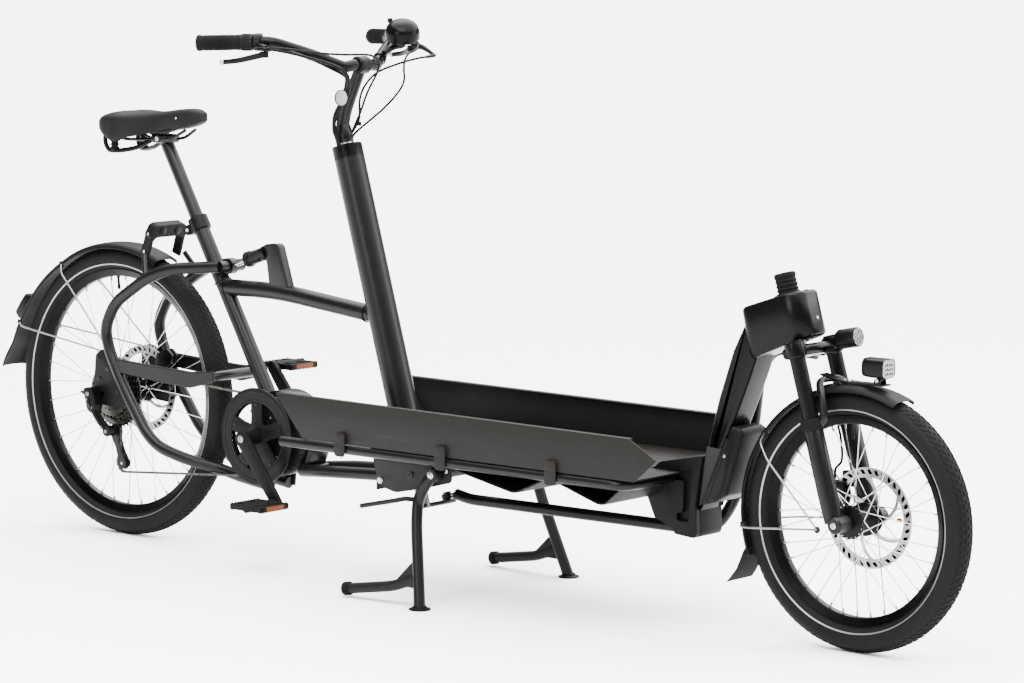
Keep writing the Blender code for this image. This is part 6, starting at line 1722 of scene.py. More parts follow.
def make_swingarm():
    form = Form("swingarm", "swingarm", "alloy_black")
    hoop = [
        (0.347, 0.034, 0.655), (0.225, 0.072, 0.646), (0.162, 0.085, 0.622), (0.053, 0.085, 0.556),
        (0.021, 0.085, 0.495), (0.032, 0.085, 0.448), (0.081, 0.085, 0.361), (0.155, 0.085, 0.261),
        (0.195, 0.082, 0.232), (0.262, 0.066, 0.211), (0.315, 0.045, 0.1985),
        (0.352, 0.0305, 0.19), (0.4, 0.03, 0.181), (0.5, 0.03, 0.169)]
    beam = [(0.06, 0.085, 0.411, 0.016), (0.18, 0.0845, 0.4035, 0.0175),
            (0.3, 0.083, 0.398, 0.0185), (0.372, 0.078, 0.4105, 0.0125)]
    hanger = [(-0.022, 0.43), (0.0, 0.4445), (0.05, 0.43), (0.085, 0.372), (0.1, 0.335),
              (0.07, 0.309), (-0.02, 0.315), (-0.03, 0.34)]
    foot = [(0.512, 0.215), (0.506, 0.162), (0.462, 0.168), (0.452, 0.215)]
    for hand in (-1, 1):
        path = handed(hoop, hand)
        form.add("satin_paint", tube(rounded(path, 0.035, 7), 0.0135, 22))
        rings = []
        for x, y, z, half in beam:
            rings.append([Vector((x, hand * (y + dy), z + dz)) for dy, dz in (
                (-0.007, -half + 0.003), (-0.004, -half), (0.004, -half), (0.007, -half + 0.003),
                (0.007, half - 0.003), (0.004, half), (-0.004, half), (-0.007, half - 0.003))])
        form.add("satin_paint", skin(rings))
        form.add("moulded_black", side_plate(hand, curved(hanger, 0.006), 0.0715, 0.0775, 0.001))
        for x, z, radius in ((-0.012, 0.424, 0.0042), (0.02, 0.4, 0.006), (-0.01, 0.375, 0.005),
                             (0.05, 0.35, 0.005), (0.02, 0.322, 0.0042), (-0.018, 0.326, 0.0042)):
            form.add("dark_steel", set_bolt((x, 0.0774 * hand, z), LEFT * hand, radius, 0.0016))
        pivot = arc(CRANK_AXLE, 0.041, 40, -50, 230)
        form.add("satin_paint", side_plate(hand, pivot + foot[::-1], 0.0382, 0.044, 0.0008),
                 rod((0.156, 0.084 * hand, 0.624), (0.131, 0.0635 * hand, 0.67), 0.006))
        if hand > 0:
            form.add("dull_steel", set_bolt(
                on_side(REAR_AXLE, 0.0775), LEFT, 0.01, 0.004, hex_bolt))
        else:
            form.add("dull_steel", axle_rod(REAR_AXLE, hand, 0.07, 0.0777, 0.006))
        form.add("bright_steel", set_bolt(
            (0.056, 0.0774 * hand, 0.414), LEFT * hand, 0.0042, 0.0024))
    form.add("satin_paint", axle_rod(SHOCK_REAR, 1, -0.036, 0.036, 0.012, 28),
             rod((0.368, -0.084, 0.4105), (0.368, 0.084, 0.4105), 0.0115, 28))
    form.add("dull_steel", axle_rod(REAR_AXLE, 1, -0.0777, 0.0815, 0.006, 20))
    form.done()


def rear_radius(angle):
    """Radius of the rear mudguard at an angle: it stands further out towards its tail."""
    marks = ((66.0, 0.348), (122.0, 0.351), (150.0, 0.363), (165.0, 0.376), (176.0, 0.405))
    for (first, low), (last, high) in zip(marks, marks[1:]):
        if angle <= last:
            t = (angle - first) / (last - first)
            return low + (high - low) * (t * t * (3 - 2 * t) * 0.4 + t * 0.6)
    return marks[-1][1]


def make_rear_fender():
    form = Form("rear_fender", "swingarm", "plastic_black")
    form.add("fender_black", fender_sheet(REAR_AXLE, rear_radius, 0.0375, 0.0125, 66.2, 176.0, 74))
    for hand in (-1, 1):
        eyelet = Vector((0.02, 0.0686 * hand, 0.434))
        for angle in (122.0, 157.0):
            radius = rear_radius(angle)
            edge = around(REAR_AXLE, radius - 0.012, angle, 0.0366 * hand)
            turn = around(REAR_AXLE, radius - 0.032, angle, 0.048 * hand)
            form.add("dull_steel", tube(rounded([edge, turn, eyelet], 0.012, 5), 0.0021, 12))
            form.add("moulded_black", box(
                edge, (0.01, 0.0026, 0.016), tilt=angle - 90, edge=0.001))
        form.add("dark_steel", axle_rod(eyelet, hand, 0.0664, 0.0712, 0.006, 24, 0.0008))
    form.done()
    lamp = Form("tail_light", "swingarm", "plastic_black")
    shell = (
        (147, 0.002, 0.0168, 0.016), (148.5, 0.0008, 0.0288, 0.02), (152, 0.0008, 0.0318, 0.021),
        (156, 0.0008, 0.0328, 0.021), (157.5, 0.002, 0.0248, 0.017))
    glass = ((148.5, 0.0128, 0.03, 0.017), (152, 0.0128, 0.033, 0.018),
             (156, 0.0128, 0.034, 0.018))
    for finish, stations in (("smooth_black", shell), ("red_lens", glass)):
        rings = []
        for angle, low, high, half in stations:
            radius = rear_radius(angle)
            rings.append([around(REAR_AXLE, radius + rise, angle, across) for rise, across in (
                (low, -half), (low, half), (high - 0.006, half), (high, half - 0.006),
                (high, -half + 0.006), (high - 0.006, -half))])
        lamp.add(finish, skin(rings))
    lamp.done()


def make_ring_lock():
    form = Form("ring_lock", "swingarm", "plastic_black")
    outline = [(0.345, 0.0465), (0.392, 0.045), (0.398, 0.036), (0.398, -0.036), (0.392, -0.045),
               (0.345, -0.0465), (0.345, -0.0555), (0.396, -0.054), (0.4, -0.057), (0.424, -0.05),
               (0.428, -0.04), (0.428, 0.04), (0.424, 0.05), (0.4, 0.057), (0.396, 0.054),
               (0.345, 0.0555)]
    marks = curved([Vector((side, radius)) for radius, side in outline], 0.005, 4)
    out = around(REAR_AXLE, 1.0, 70) - REAR_AXLE
    across = Vector((out.z, 0, -out.x))
    rings = []
    for depth, shrink in ((-0.0125, 0.0015), (-0.011, 0.0), (0.011, 0.0), (0.0125, 0.0015)):
        ring = inset(marks, shrink) if shrink else marks
        rings.append([
            REAR_AXLE + out * mark[1] + LEFT * mark[0] + across * depth for mark in ring])
    form.add("moulded_black", skin(rings))
    middle = REAR_AXLE + out * 0.413
    for lean in (-1, 1):
        form.add("smooth_black", turned(
            [(0, 0), (0.0105, 0), (0.0105, 0.0008), (0.009, 0.0014), (0, 0.0014)],
            middle + LEFT * 0.024 * lean + across * 0.0124, across, 28))
    for hand in (-1, 1):
        spot = REAR_AXLE + out * 0.36 + LEFT * 0.0552 * hand
        form.add("bright_steel", set_bolt(spot, LEFT * hand, 0.0036, 0.0018), set_bolt(
            REAR_AXLE + out * 0.404 + LEFT * 0.0562 * hand, LEFT * hand, 0.003, 0.0016))
    form.done()


def make_rear_brake():
    form = Form("rear_caliper", "swingarm", "dark_steel")
    shell = curved([(0.044, 0.4), (0.062, 0.385), (0.098, 0.405), (0.104, 0.424), (0.084, 0.44),
                    (0.05, 0.424)], 0.005, 5)
    form.add("smooth_black", plate(shell, 0.048, 0.0573, 0.002, 3),
             plate(shell, 0.0627, 0.0712, 0.002, 3))
    form.add("bright_steel", set_bolt((0.078, 0.071, 0.42), LEFT, 0.004, 0.002))
    form.done()


def make_derailleur():
    form = Form("derailleur", "swingarm", "plastic_black")
    hanger = curved([
        (-0.04, 0.352), (-0.014, 0.357), (0.004, 0.318), (-0.004, 0.292), (-0.026, 0.3)], 0.008, 5)
    form.add("smooth_black", plate(hanger, -0.104, -0.0782, 0.003, 3))
    link = spline([(-0.018, -0.094, 0.312), (0.0, -0.084, 0.275), (0.01, -0.072, 0.256)], 7)
    form.add("moulded_black", tube(link, 0.0095, 20, 0.72))
    for side, drop in ((-0.0115, 0.004), (0.0075, -0.004)):
        arm = [Vector(mark) + Vector((-0.002 + drop, side, drop)) for mark in (
            (-0.022, -0.092, 0.322), (-0.004, -0.086, 0.286), (0.009, -0.076, 0.258))]
        form.add("smooth_black", tube(
            spline(arm, 6), [0.0062 - 0.0001 * k for k in range(13)], 14))
        for mark in (arm[0], arm[2]):
            form.add("dull_steel", ball(mark + Vector((-0.002, -0.0045, 0)), 0.0036, 14))
    adjuster = Vector((-0.034, -0.098, 0.338))
    form.add("dark_steel", turned([
        (0, 0), (0.003, 0), (0.0042, 0.002), (0.0042, 0.01), (0.0028, 0.012), (0.0026, 0.018),
        (0, 0.018)], adjuster, (-0.95, 0.1, 0.25), 16))
    form.add("smooth_black", axle_rod(UPPER_PULLEY, 1, -0.08, -0.0581, 0.0123, 32, 0.0015))
    for place, radius in (((-0.022, -0.1036, 0.34), 0.005), ((-0.01, -0.1036, 0.308), 0.0038)):
        form.add("dull_steel", set_bolt(place, -LEFT, radius, 0.002))
    form.add("dull_steel", set_bolt(on_side(UPPER_PULLEY, -0.0798), -LEFT, 0.0042, 0.002))
    form.done()
    cage = Form("derailleur_cage", "swingarm", "dark_steel")
    way = (LOWER_PULLEY - UPPER_PULLEY).normalized()
    turn = math.degrees(math.atan2(way.z, way.x))
    flank = Vector((-way.z, 0, way.x))
    span = (LOWER_PULLEY - UPPER_PULLEY).length
    waist = ((0.3, 0.0085), (0.5, 0.0065), (0.72, 0.008))
    near, far = [[(mark.x, mark.z) for mark in (
        UPPER_PULLEY + way * (span * share) + flank * (reach * hand) for share, reach in waist)]
        for hand in (-1, 1)]
    outline = (arc(UPPER_PULLEY, 0.0125, 20, turn + 90, turn + 270) + near
               + arc(LOWER_PULLEY, 0.0125, 20, turn - 90, turn + 90) + far[::-1])
    for low, high, seat, facing in (
            (-0.0578, -0.0563, -0.0582, -LEFT), (-0.0437, -0.0422, -0.0422, LEFT)):
        cage.add("dark_steel", plate(outline, low, high, 0.0003, 1))
        for pulley in (UPPER_PULLEY, LOWER_PULLEY):
            cage.add("bright_steel", set_bolt(on_side(pulley, seat), facing, 0.0034, 0.0012))
    for pulley in (UPPER_PULLEY, LOWER_PULLEY):
        teeth = toothed(pulley, 0.015, 0.0182, 11)
        cage.add("moulded_black", plate(teeth, -0.0508, -0.0492, 0.0003, 1),
                 axle_rod(pulley, 1, -0.053, -0.047, 0.0085, 24))
        cage.add("dull_steel", axle_rod(pulley, 1, -0.0577, -0.0423, 0.003, 16))
    cage.done()


def make_chain(sizes):
    form = Form("chain", "swingarm", "steel")
    path = belt(CHAIN_WHEELS)
    total = 0.0
    lengths = [0.0]
    for first, last in zip(path, path[1:] + path[:1]):
        total += (last - first).length
        lengths.append(total)
    count = 2 * int(round(total / sizes.link_pitch / 2))
    pitch = total / count

    def place_at(distance):
        distance %= total
        for k in range(len(path)):
            if lengths[k + 1] >= distance:
                t = (distance - lengths[k]) / max(1e-9, lengths[k + 1] - lengths[k])
                return path[k] + (path[(k + 1) % len(path)] - path[k]) * t
        return path[0]

    pins = [place_at(pitch * k) for k in range(count)]
    spots = {0: [], 1: []}
    for k, pin in enumerate(pins):
        ahead = pins[(k + 1) % count]
        way = ahead - pin
        spots[k % 2].append((on_side((pin + ahead) / 2, CHAIN_SIDE), way))
    half = sizes.link_pitch / 2
    width = 0.0036

    def side_link(*gaps):
        outline = []
        for k in range(20):
            turn = 2 * math.pi * k / 20
            c, s = math.cos(turn), math.sin(turn)
            outline.append((
                width * (0.62 + 0.38 * abs(c)) * s, half * (1 if c > 0 else -1) + width * c))
        shapes = []
        for low, high in gaps:
            ring = [[Vector((x, y, z)) for x, z in outline] for y in (low, high)]
            shapes.append(skin(ring))
        return joined(*shapes)

    inner = side_link((-0.0022, -0.0013), (0.0013, 0.0022))
    outer = side_link((-0.0032, -0.0023), (0.0023, 0.0032))
    form.add("chain_steel", link_run(inner, spots[0]), link_run(outer, spots[1]))
    roller = rod((0, -0.0033, 0), (0, 0.0033, 0), 0.0026, 10)
    form.add("chain_steel", link_run(roller, [(on_side(pin, CHAIN_SIDE), SKY) for pin in pins]))
    form.done()


def link_run(shape, spots):
    """Copies of a flat link, each turned in the chain's own plane so that its Z lies along way."""
    points, faces = [], []
    for place, way in spots:
        angle = math.atan2(way.x, way.z)
        c, s = math.cos(angle), math.sin(angle)
        base = len(points)
        for point in shape[0]:
            points.append(Vector((place.x + point.x * c + point.z * s, place.y + point.y,
                                  place.z - point.x * s + point.z * c)))
        faces += [tuple(base + corner for corner in face) for face in shape[1]]
    return points, faces


def make_cassette(sizes):
    form = Form("cassette", "cassette", "dark_steel")
    steps = ((0.085, 0.0305, 0.0342), (0.079, 0.0342, 0.0382), (0.072, 0.0382, 0.0422),
             (0.066, 0.0422, 0.046), (0.0588, 0.046, 0.054), (0.042, 0.054, 0.058),
             (0.026, 0.058, 0.0604))
    for radius, near, far in steps:
        teeth = max(10, int(round(2 * math.pi * radius / sizes.link_pitch)))
        form.add("chain_steel", plate(toothed(REAR_AXLE, radius - 0.0042, radius, teeth),
                                      -far + 0.0004, -near - 0.0008, 0.0003, 1))
    form.add("dark_steel", axle_rod(REAR_AXLE, 1, -0.06, -0.0306, 0.0235, 32))
    form.done()


def make_crank(sizes):
    form = Form("crank_right", "crank", "alloy_black")
    spindle = Form("crank_left", "crank", "alloy_black")
    for hand, piece in ((-1, form), (1, spindle)):
        end = crank_end(hand)
        way = (end - CRANK_AXLE).normalized()
        turn = math.degrees(math.atan2(way.z, way.x))
        outline = (arc(CRANK_AXLE, 0.0183, 24, turn + 90, turn + 270)
                   + arc(end, 0.0133, 20, turn - 90, turn + 90))
        piece.add("moulded_black", side_plate(hand, outline, 0.0956, 0.1084, 0.0026))
        piece.add(
            "dull_steel", set_bolt(on_side(CRANK_AXLE, 0.108 * hand), LEFT * hand, 0.0085, 0.0022),
            set_bolt(on_side(end, 0.1082 * hand), LEFT * hand, 0.006, 0.002, hex_bolt),
            axle_rod(end, hand, 0.1, 0.1925, 0.005, 20))
    form.add("moulded_black", axle_rod(CRANK_AXLE, 1, -0.0975, -0.0485, 0.0168, 36, 0.001))
    teeth = int(round(2 * math.pi * 0.0926 / sizes.link_pitch))
    ring_tooth = plate(
        ring_sector(CRANK_AXLE, 0.0745, 0.084, 0.0871, 360.0 / teeth), -0.0514, -0.0486, 0.0003, 1)
    form.add_ring("dark_steel", ring_tooth, CRANK_AXLE, teeth)
    guard = [
        (0.0785, -0.0588), (0.082, -0.0592), (0.0835, -0.058), (0.0985, -0.058), (0.1, -0.0592),
        (0.1085, -0.0592), (0.11, -0.0586), (0.11, -0.0572), (0.109, -0.0566), (0.0785, -0.0566)]
    form.add("smooth_black", turned(guard, on_side(CRANK_AXLE, 0), LEFT, 96))
    lip = [(0.1062, -0.0598), (0.1096, -0.0596), (0.11, -0.0584), (0.1062, -0.0588)]
    form.add("smooth_black", turned(lip, on_side(CRANK_AXLE, 0), LEFT, 96))
    star = []
    for k in range(5):
        heading = 72.0 * k + 18.0
        for radius, aside in ((0.031, -36), (0.05, -19), (0.08, -13), (0.08, 13), (0.05, 19)):
            star.append(around(CRANK_AXLE, radius, heading + aside))
    outline = curved([(point.x, point.z) for point in star], 0.004, 4)
    form.add("moulded_black", plate(outline, -0.059, -0.0492, 0.0015, 2))
    for k in range(5):
        place = around(CRANK_AXLE, 0.0725, 72.0 * k + 18.0, -0.0588)
        form.add("dark_steel", set_bolt(place, -LEFT, 0.004, 0.0012))
    form.done()
    spindle.add("dull_steel", axle_rod(CRANK_AXLE, 1, -0.095, 0.1, 0.0117, 32))
    spindle.add("satin_paint", axle_rod(CRANK_AXLE, 1, 0.047, 0.099, 0.0168, 36, 0.001))
    spindle.done()


def ring_sector(centre, inner, root, tip, span):
    """One tooth of a toothed ring with its share of the band."""
    marks = [(inner, -0.5), (inner, 0.0), (inner, 0.5), (root, 0.5), (root, 0.28), (tip, 0.08),
             (tip, -0.08), (root, -0.28), (root, -0.5)]
    outline = []
    for radius, share in marks:
        point = around(centre, radius, span * share)
        outline.append((point.x, point.z))
    return outline


def make_pedals():
    for side, hand in (("right", -1), ("left", 1)):
        end = crank_end(hand)
        form = Form("pedal_" + side, "pedal_" + side, "plastic_black")
        near, far = sorted((0.113 * hand, 0.201 * hand))
        form.add("moulded_black", sleeve(
            on_side(end, near), on_side(end, far), 0.0108, 0.0054, 32, 0.001))
        for x in (-0.044, 0.044):
            form.add("moulded_black", box(
                end + Vector((x, 0.157 * hand, 0)), (0.01, 0.088, 0.014), edge=0.002))
            teeth = [(end + Vector((x, hand * (0.117 + 0.01 * k), 0.0065)), SKY) for k in range(9)]
            under = [(
                end + Vector((x, hand * (0.117 + 0.01 * k), -0.0065)), -SKY) for k in range(9)]
            peg = turned([
                (0, -0.001), (0.0017, -0.001), (0.0014, 0.0022), (0, 0.0022)], (0, 0, 0), SKY, 8)
            form.add_spots("moulded_black", peg, teeth + under)
        for y in (0.1165, 0.157, 0.1975):
            form.add("moulded_black", box(
                end + Vector((0, y * hand, 0)), (0.098, 0.0068, 0.0135), edge=0.0018))
        for x in (-0.0235, 0.0235):
            for y in (0.137, 0.177):
                form.add("grip_rubber", box(
                    end + Vector((x, y * hand, 0)), (0.02, 0.026, 0.0175), edge=0.003))
        for x in (-0.0487, 0.0487):
            form.add("amber_reflector", box(
                end + Vector((x, 0.157 * hand, 0)), (0.0016, 0.054, 0.0105), edge=0.0005))
        form.add("moulded_black", rod(
            on_side(end, 0.1985 * hand), on_side(end, 0.2008 * hand), 0.009, 24))
        form.done()


# Seat and stand


def make_seat():
    head = SEAT_TOP + SEAT_UP * 0.205
    form = Form("seat_post", "seat", "steel")
    form.add("satin_paint", rod(SEAT_TOP - SEAT_UP * 0.235, head, 0.0155, 36))
    middle = head + Vector((0.002, 0, -0.002))
    form.add("dark_steel", box(middle, (0.05, 0.048, 0.02), edge=0.005, steps=4),
             rod(on_side(middle, -0.026), on_side(middle, 0.026), 0.0088, 24, 0.001))
    for hand in (-1, 1):
        rail = [(0.0136, 0.045, 0.9441), (0.0436, 0.04, 0.932), (0.0962, 0.021, 0.933),
                (0.18, 0.021, 0.936), (0.222, 0.016, 0.9585)]
        form.add("dark_steel", tube(rounded(handed(rail, hand), 0.02, 6), 0.0038, 14))
        form.add("smooth_black", rod(
            (0.0196, 0.046 * hand, 0.904), (0.0196, 0.046 * hand, 0.943), 0.0085, 28, 0.002))
        for height in (0.912, 0.92, 0.928, 0.936):
            form.add("grip_rubber", turned([
                (0.008, -0.0022), (0.0106, -0.001), (0.0108, 0.0), (0.0106, 0.001),
                (0.008, 0.0022)], (0.0196, 0.046 * hand, height), SKY, 32))
        stay = [(-0.004, 0.052, 0.948), (-0.0075, 0.052, 0.926), (0.003, 0.05, 0.9045),
                (0.04, 0.042, 0.906), (0.075, 0.03, 0.913), (0.1112, 0.02, 0.93)]
        form.add("smooth_black", tube(rounded(handed(stay, hand), 0.014, 6), 0.0054, 16))
        form.add("bright_steel", ball((0.204, 0.0275 * hand, 0.986), 0.003, 16), set_bolt(
            on_side(middle, 0.0258 * hand), LEFT * hand, 0.0052, 0.0024))
    form.done()

    saddle = Form("saddle", "seat", "matte_saddle")
    sections = [
        (-0.03, 0.04, 0.956, 0.974), (-0.018, 0.064, 0.95, 0.987), (0.006, 0.078, 0.9465, 0.995),
        (0.0436, 0.08, 0.946, 0.999), (0.0812, 0.066, 0.9465, 0.998),
        (0.115, 0.048, 0.949, 0.9975), (0.16, 0.035, 0.954, 1.001), (0.205, 0.029, 0.96, 1.0065),
        (0.24, 0.025, 0.967, 1.0085), (0.26, 0.018, 0.974, 1.005), (0.268, 0.009, 0.981, 0.9985)]
    skirts = [(-0.03, 0.0), (-0.007, 0.003), (0.012, 0.014), (0.034, 0.024), (0.055, 0.024),
              (0.073, 0.015), (0.11, 0.009), (0.16, 0.003), (0.2, 0.0)]
    fine = []
    for x in np.linspace(-0.0298, 0.2678, 60):
        values = [np.interp(
            x, [row[0] for row in sections], [row[k] for row in sections]) for k in (1, 2, 3)]
        fine.append((x, *values))
    smooth = []
    for k, row in enumerate(fine):
        near = fine[max(0, k - 2):k + 3]
        values = [sum(item[j] for item in near) / len(near) for j in range(4)]
        smooth.append((row[0], *values[1:]) if 1 < k < len(fine) - 2 else row)
    rings = []
    for x, half, low, high in smooth:
        middle, tall = 0.55 * low + 0.45 * high, high - low
        ring = []
        skirt = np.interp(x, [row[0] for row in skirts], [row[1] for row in skirts])
        for j in range(56):
            turn = 2 * math.pi * j / 56
            c, s = math.cos(turn), math.sin(turn)
            y = half * math.copysign(abs(c) ** 0.75, c)
            rise = 0.55 * abs(s) ** 0.62 if s > 0 else -0.45 * abs(s) ** 0.45
            fade = max(0.0, min(1.0, (0.19 - x) / 0.05))
            groove = 0.0022 * math.exp(-(y / 0.01) ** 2) * fade
            outer = max(0.0, min(1.0, (abs(y) / half - 0.8) / 0.1))
            flap = skirt * outer * outer * (3 - 2 * outer) * min(1.0, 1.6 * abs(s) ** 0.45)
            ring.append(Vector((x, y, middle + tall * rise - (groove if s > 0 else flap))))
        rings.append(ring)
    saddle.add("saddle_cover", skin(rings))
    piece = saddle.done()


def make_stand():
    form = Form("stand", "stand", "warm_grey")
    pivot = STAND_PIVOT
    form.add("satin_paint", axle_rod(pivot, 1, -0.18, 0.18, 0.012, 28))
    for hand in (-1, 1):
        form.add("bracket_paint", axle_rod(pivot, hand, 0.1735, 0.196, 0.0155, 32, 0.0015))
        form.add("bright_steel", set_bolt(
            on_side(pivot, 0.1958 * hand), LEFT * hand, 0.0066, 0.0036, hex_bolt))
        leg = [(1.13, 0.1845, 0.278), (1.1155, 0.19, 0.262), (1.0925, 0.193, 0.224),
               (1.1, 0.206, 0.172), (1.1422, 0.2442, 0.0052)]
        form.add("satin_paint", tube(rounded(handed(leg, hand), 0.02, 7), 0.0125, 24))
        foot = (1.1435, 0.245 * hand, 0.0)
        form.add("moulded_black", turned([
            (0, 0.0), (0.023, 0.0), (0.0235, 0.0008), (0.0233, 0.003), (0.016, 0.005),
            (0.014, 0.009), (0, 0.009)], foot, SKY, 40))
        skid = [(1.127, 0.231, 0.064), (1.06, 0.235, 0.039), (0.934, 0.24, 0.019)]
        form.add("bracket_paint", tube(rounded(handed(skid, hand), 0.02, 6), 0.0115, 22))
        form.add("grip_rubber", rod(
            (0.94, 0.24 * hand, 0.02), (0.924, 0.24 * hand, 0.0172), 0.015, 32, 0.002))
        gusset = [(1.05, 0.04), (1.132, 0.04), (1.126, 0.098), (1.118, 0.104)]
        form.add("bracket_paint", side_plate(hand, curved(gusset, 0.003), 0.2265, 0.231, 0.0006))
    kick = [(1.094, -0.196, 0.222), (1.085, -0.2265, 0.228), (1.07, -0.232, 0.2235),
            (0.965, -0.232, 0.2)]
    form.add("bracket_paint", tube(rounded(kick, 0.012, 6), 0.0052, 16))
    form.add("grip_rubber", tube([
        Vector((0.997, -0.232, 0.2073)), Vector((0.9655, -0.232, 0.2001))], 0.0051, 16))
    form.done()


# Sizes and colours that a user would change


class BikeColours(bpy.types.PropertyGroup):
    paint: bpy.props.FloatVectorProperty(
        name="Frame paint", description="Satin paint of the tubes", subtype="COLOR", min=0, max=1,
        default=(0.0016, 0.0016, 0.0017))
    bay: bpy.props.FloatVectorProperty(
        name="Bay paint", description="Paint of the load bay's sheets", subtype="COLOR", min=0,
        max=1, default=(0.004, 0.0036, 0.0031))
    rubber: bpy.props.FloatVectorProperty(
        name="Rubber", description="Tyres and grips", subtype="COLOR", min=0, max=1,
        default=(0.0017, 0.0017, 0.0017))
    steel: bpy.props.FloatVectorProperty(
        name="Steel", description="Spokes, discs and bolts", subtype="COLOR", min=0, max=1,
        default=(0.32, 0.32, 0.32))
    battery: bpy.props.FloatVectorProperty(
        name="Battery strips", description="Light strips on the battery", subtype="COLOR", min=0,
        max=1, default=(0.01, 0.01, 0.01))


class WheelSizes(bpy.types.PropertyGroup):
    spokes: bpy.props.IntProperty(
        name="Spokes", description="Spokes in each wheel", default=36, min=12, max=48)
    spoke_width: bpy.props.FloatProperty(
        name="Spoke width", description="Diameter of a spoke", default=0.0022, min=0.001,
        max=0.004, unit="LENGTH", subtype="DISTANCE")
    tread_pitch: bpy.props.FloatProperty(
        name="Tread pitch", description="Length of one row of tread blocks", default=0.0165,
        min=0.008, max=0.05, unit="LENGTH", subtype="DISTANCE")
    rotor_slots: bpy.props.IntProperty(
        name="Disc slots", description="Slots round a brake disc", default=36, min=12, max=60)


class DriveSizes(bpy.types.PropertyGroup):
    link_pitch: bpy.props.FloatProperty(
        name="Link pitch", description="Distance between two chain pins", default=0.0127,
        min=0.008, max=0.02, unit="LENGTH", subtype="DISTANCE")


class CockpitSizes(bpy.types.PropertyGroup):
    grip_rib_pitch: bpy.props.FloatProperty(
        name="Grip ribs", description="Distance between two ribs on a grip", default=0.005,
        min=0.003, max=0.02, unit="LENGTH", subtype="DISTANCE")


class StageSizes(bpy.types.PropertyGroup):
    floor: bpy.props.FloatVectorProperty(
        name="Floor", description="Colour of the studio floor", subtype="COLOR", min=0, max=1,
        default=(0.9, 0.9, 0.9))
    ceiling: bpy.props.FloatProperty(
        name="Ceiling light", description="Even soft light from above", default=24.0, min=0,
        max=60)
    key_power: bpy.props.FloatProperty(
        name="Key light", description="Power of the large light", default=220.0, min=0, max=2000,
        unit="POWER")
    fill_power: bpy.props.FloatProperty(
        name="Fill light", description="Power of the light from the side", default=130.0, min=0,
        max=2000, unit="POWER")
    world: bpy.props.FloatProperty(
        name="Room light", description="Brightness all round", default=0.55, min=0, max=3)


# One operator for each group of pieces


class BIKE_OT_finishes(bpy.types.Operator):
    """Make the paints, rubbers and metals"""
    bl_idname = "cargo_bike.finishes"
    bl_label = "Finishes"

    def execute(self, context):
        make_finishes(context.scene.bike_colours)
        return {"FINISHED"}


class BIKE_OT_wheels(bpy.types.Operator):
    """Dress the tyres, rims, hubs with spokes and brake discs"""
    bl_idname = "cargo_bike.wheels"
    bl_label = "Wheels"

    def execute(self, context):
        sizes = context.scene.bike_wheels
        for name in WHEELS:
            make_tyre(name, sizes)
            make_rim(name, sizes)
            make_hub(name, sizes)
            make_rotor(name, sizes)
        return {"FINISHED"}


class BIKE_OT_frame(bpy.types.Operator):
    """Dress the frame, its motor, battery, bracket and shock"""
    bl_idname = "cargo_bike.frame"
    bl_label = "Frame"

    def execute(self, context):
        make_rear_frame()
        make_cargo_frame()
        make_front_frame()
        make_drive_unit()
        make_battery()
        make_stand_bracket()
        make_shock()
        return {"FINISHED"}


class BIKE_OT_bay(bpy.types.Operator):
    """Dress the load bay's floor and walls"""
    bl_idname = "cargo_bike.bay"
    bl_label = "Load bay"

    def execute(self, context):
        make_bay()
        return {"FINISHED"}


class BIKE_OT_cockpit(bpy.types.Operator):
    """Dress the column, bar, grips, brakes, bell and cables"""
    bl_idname = "cargo_bike.cockpit"
    bl_label = "Cockpit"

    def execute(self, context):
        make_column()
        make_handlebar(context.scene.bike_cockpit)
        make_brakes()
        make_bell()
        make_cables()
        make_steering_rod()
        return {"FINISHED"}


class BIKE_OT_fork(bpy.types.Operator):
    """Dress the fork, its lamps, mudguard and brake"""
    bl_idname = "cargo_bike.fork"
    bl_label = "Fork and lamps"

    def execute(self, context):
        make_fork()
        make_lamps()
        make_front_fender()
        make_front_brake()
        return {"FINISHED"}


class BIKE_OT_rear(bpy.types.Operator):
    """Dress the swingarm, rear mudguard, lamp, lock and brake"""
    bl_idname = "cargo_bike.rear"
    bl_label = "Rear end"

    def execute(self, context):
        make_swingarm()
        make_rear_fender()
        make_ring_lock()
        make_rear_brake()
        return {"FINISHED"}


class BIKE_OT_drive(bpy.types.Operator):
    """Dress the chain, gears, cranks and pedals"""
    bl_idname = "cargo_bike.drive"
    bl_label = "Drive"

    def execute(self, context):
        sizes = context.scene.bike_drive
        make_derailleur()
        make_chain(sizes)
        make_cassette(sizes)
        make_crank(sizes)
        make_pedals()
        return {"FINISHED"}


class BIKE_OT_seat(bpy.types.Operator):
    """Dress the saddle, its post and the stand"""
    bl_idname = "cargo_bike.seat"
    bl_label = "Seat and stand"

    def execute(self, context):
        make_seat()
        make_stand()
        return {"FINISHED"}


# The photo's camera, as fitted to the tyres, the stand's feet and the grips
CAMERA_LENS = 126.1
CAMERA_SHIFT = (-0.0043, -0.0005)
CAMERA_PLACE = (5.1364, -5.7458, 1.4626)
CAMERA_TURN = (math.pi / 2 - 0.1202, -0.0004, 0.7065)
FLOOR_REACH = 220.0


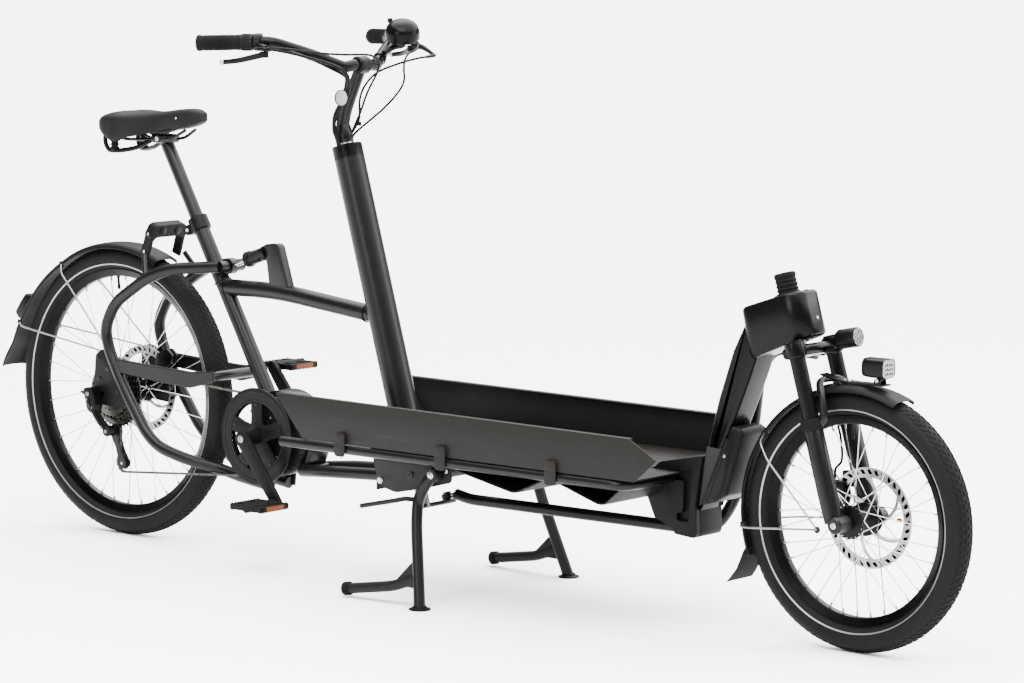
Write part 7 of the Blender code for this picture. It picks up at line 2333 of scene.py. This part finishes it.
class BIKE_OT_stage(bpy.types.Operator):
    """Set the camera, the lights and the pale floor"""
    bl_idname = "cargo_bike.stage"
    bl_label = "Stage"

    def execute(self, context):
        scene = context.scene
        sizes = scene.bike_stage
        camera = bpy.data.cameras.new("camera")
        camera.lens = CAMERA_LENS
        camera.sensor_width = 36.0
        camera.shift_x, camera.shift_y = CAMERA_SHIFT
        camera.dof.use_dof = False
        viewer = bpy.data.objects.new("camera", camera)
        viewer.location = CAMERA_PLACE
        viewer.rotation_euler = CAMERA_TURN
        scene.collection.objects.link(viewer)
        scene.camera = viewer
        sky = bpy.data.lights.new("ceiling", "SUN")
        sky.energy = sizes.ceiling
        sky.angle = math.radians(110)
        ceiling = bpy.data.objects.new("ceiling", sky)
        ceiling.rotation_euler = (math.radians(-14), math.radians(10), 0)
        scene.collection.objects.link(ceiling)
        # name, power, width, place and the point that it faces
        lights = (("overhead", sizes.key_power, 2.2, (0.9, -1.6, 3.4), (0.1, 0.0, 0.5)),
                  ("right_side", sizes.fill_power * 1.3, 1.4, (0.3, -4.6, 2.3), (0.0, 0.0, 0.6)),
                  ("front", sizes.fill_power, 1.8, (3.7, 3.3, 1.8), (0.6, 0.0, 0.5)))
        for name, power, size, place, target in lights:
            lamp = bpy.data.lights.new(name, "AREA")
            lamp.energy = power
            lamp.shape = "SQUARE"
            lamp.size = size
            light = bpy.data.objects.new(name, lamp)
            light.location = place
            way = Vector(target) - Vector(place)
            light.rotation_euler = way.to_track_quat("-Z", "Y").to_euler()
            scene.collection.objects.link(light)
        room = bpy.data.worlds.new("room")
        scene.world = room
        room.use_nodes = True
        background = room.node_tree.nodes["Background"]
        background.inputs["Color"].default_value = (1.0, 1.0, 1.0, 1.0)
        background.inputs["Strength"].default_value = sizes.world
        floor_mesh = bpy.data.meshes.new("studio_floor")
        floor_mesh.from_pydata([(x * FLOOR_REACH, y * FLOOR_REACH, 0) for x, y in (
            (-1, -1), (1, -1), (1, 1), (-1, 1))], [], [(0, 1, 2, 3)])
        floor_mesh.materials.append(studio_floor("studio_floor", sizes.floor))
        floor = bpy.data.objects.new("studio_floor", floor_mesh)
        scene.collection.objects.link(floor)
        return {"FINISHED"}


STEPS = (BIKE_OT_finishes, BIKE_OT_wheels, BIKE_OT_frame, BIKE_OT_bay, BIKE_OT_cockpit,
         BIKE_OT_fork, BIKE_OT_rear, BIKE_OT_drive, BIKE_OT_seat, BIKE_OT_stage)
GROUPS = (("bike_colours", BikeColours), ("bike_wheels", WheelSizes), ("bike_drive", DriveSizes),
          ("bike_cockpit", CockpitSizes), ("bike_stage", StageSizes))


class BIKE_PT_panel(bpy.types.Panel):
    """Lists the bike's pieces and their sizes"""
    bl_label = "Cargo Bike"
    bl_idname = "BIKE_PT_panel"
    bl_space_type = "VIEW_3D"
    bl_region_type = "UI"
    bl_category = "Cargo Bike"

    def draw(self, context):
        for name, group in GROUPS:
            column = self.layout.column()
            for key in group.__annotations__:
                column.prop(getattr(context.scene, name), key)
        for step in STEPS:
            self.layout.operator(step.bl_idname)


def register():
    for name, group in GROUPS:
        bpy.utils.register_class(group)
        setattr(bpy.types.Scene, name, bpy.props.PointerProperty(type=group))
    for step in STEPS:
        bpy.utils.register_class(step)
    bpy.utils.register_class(BIKE_PT_panel)


def unregister():
    bpy.utils.unregister_class(BIKE_PT_panel)
    for step in reversed(STEPS):
        bpy.utils.unregister_class(step)
    for name, group in reversed(GROUPS):
        delattr(bpy.types.Scene, name)
        bpy.utils.unregister_class(group)


def main():
    register()
    bpy.ops.cargo_bike.finishes()
    bpy.ops.cargo_bike.wheels()
    bpy.ops.cargo_bike.frame()
    bpy.ops.cargo_bike.bay()
    bpy.ops.cargo_bike.cockpit()
    bpy.ops.cargo_bike.fork()
    bpy.ops.cargo_bike.rear()
    bpy.ops.cargo_bike.drive()
    bpy.ops.cargo_bike.seat()
    bpy.ops.cargo_bike.stage()


if __name__ == "__main__":
    main()
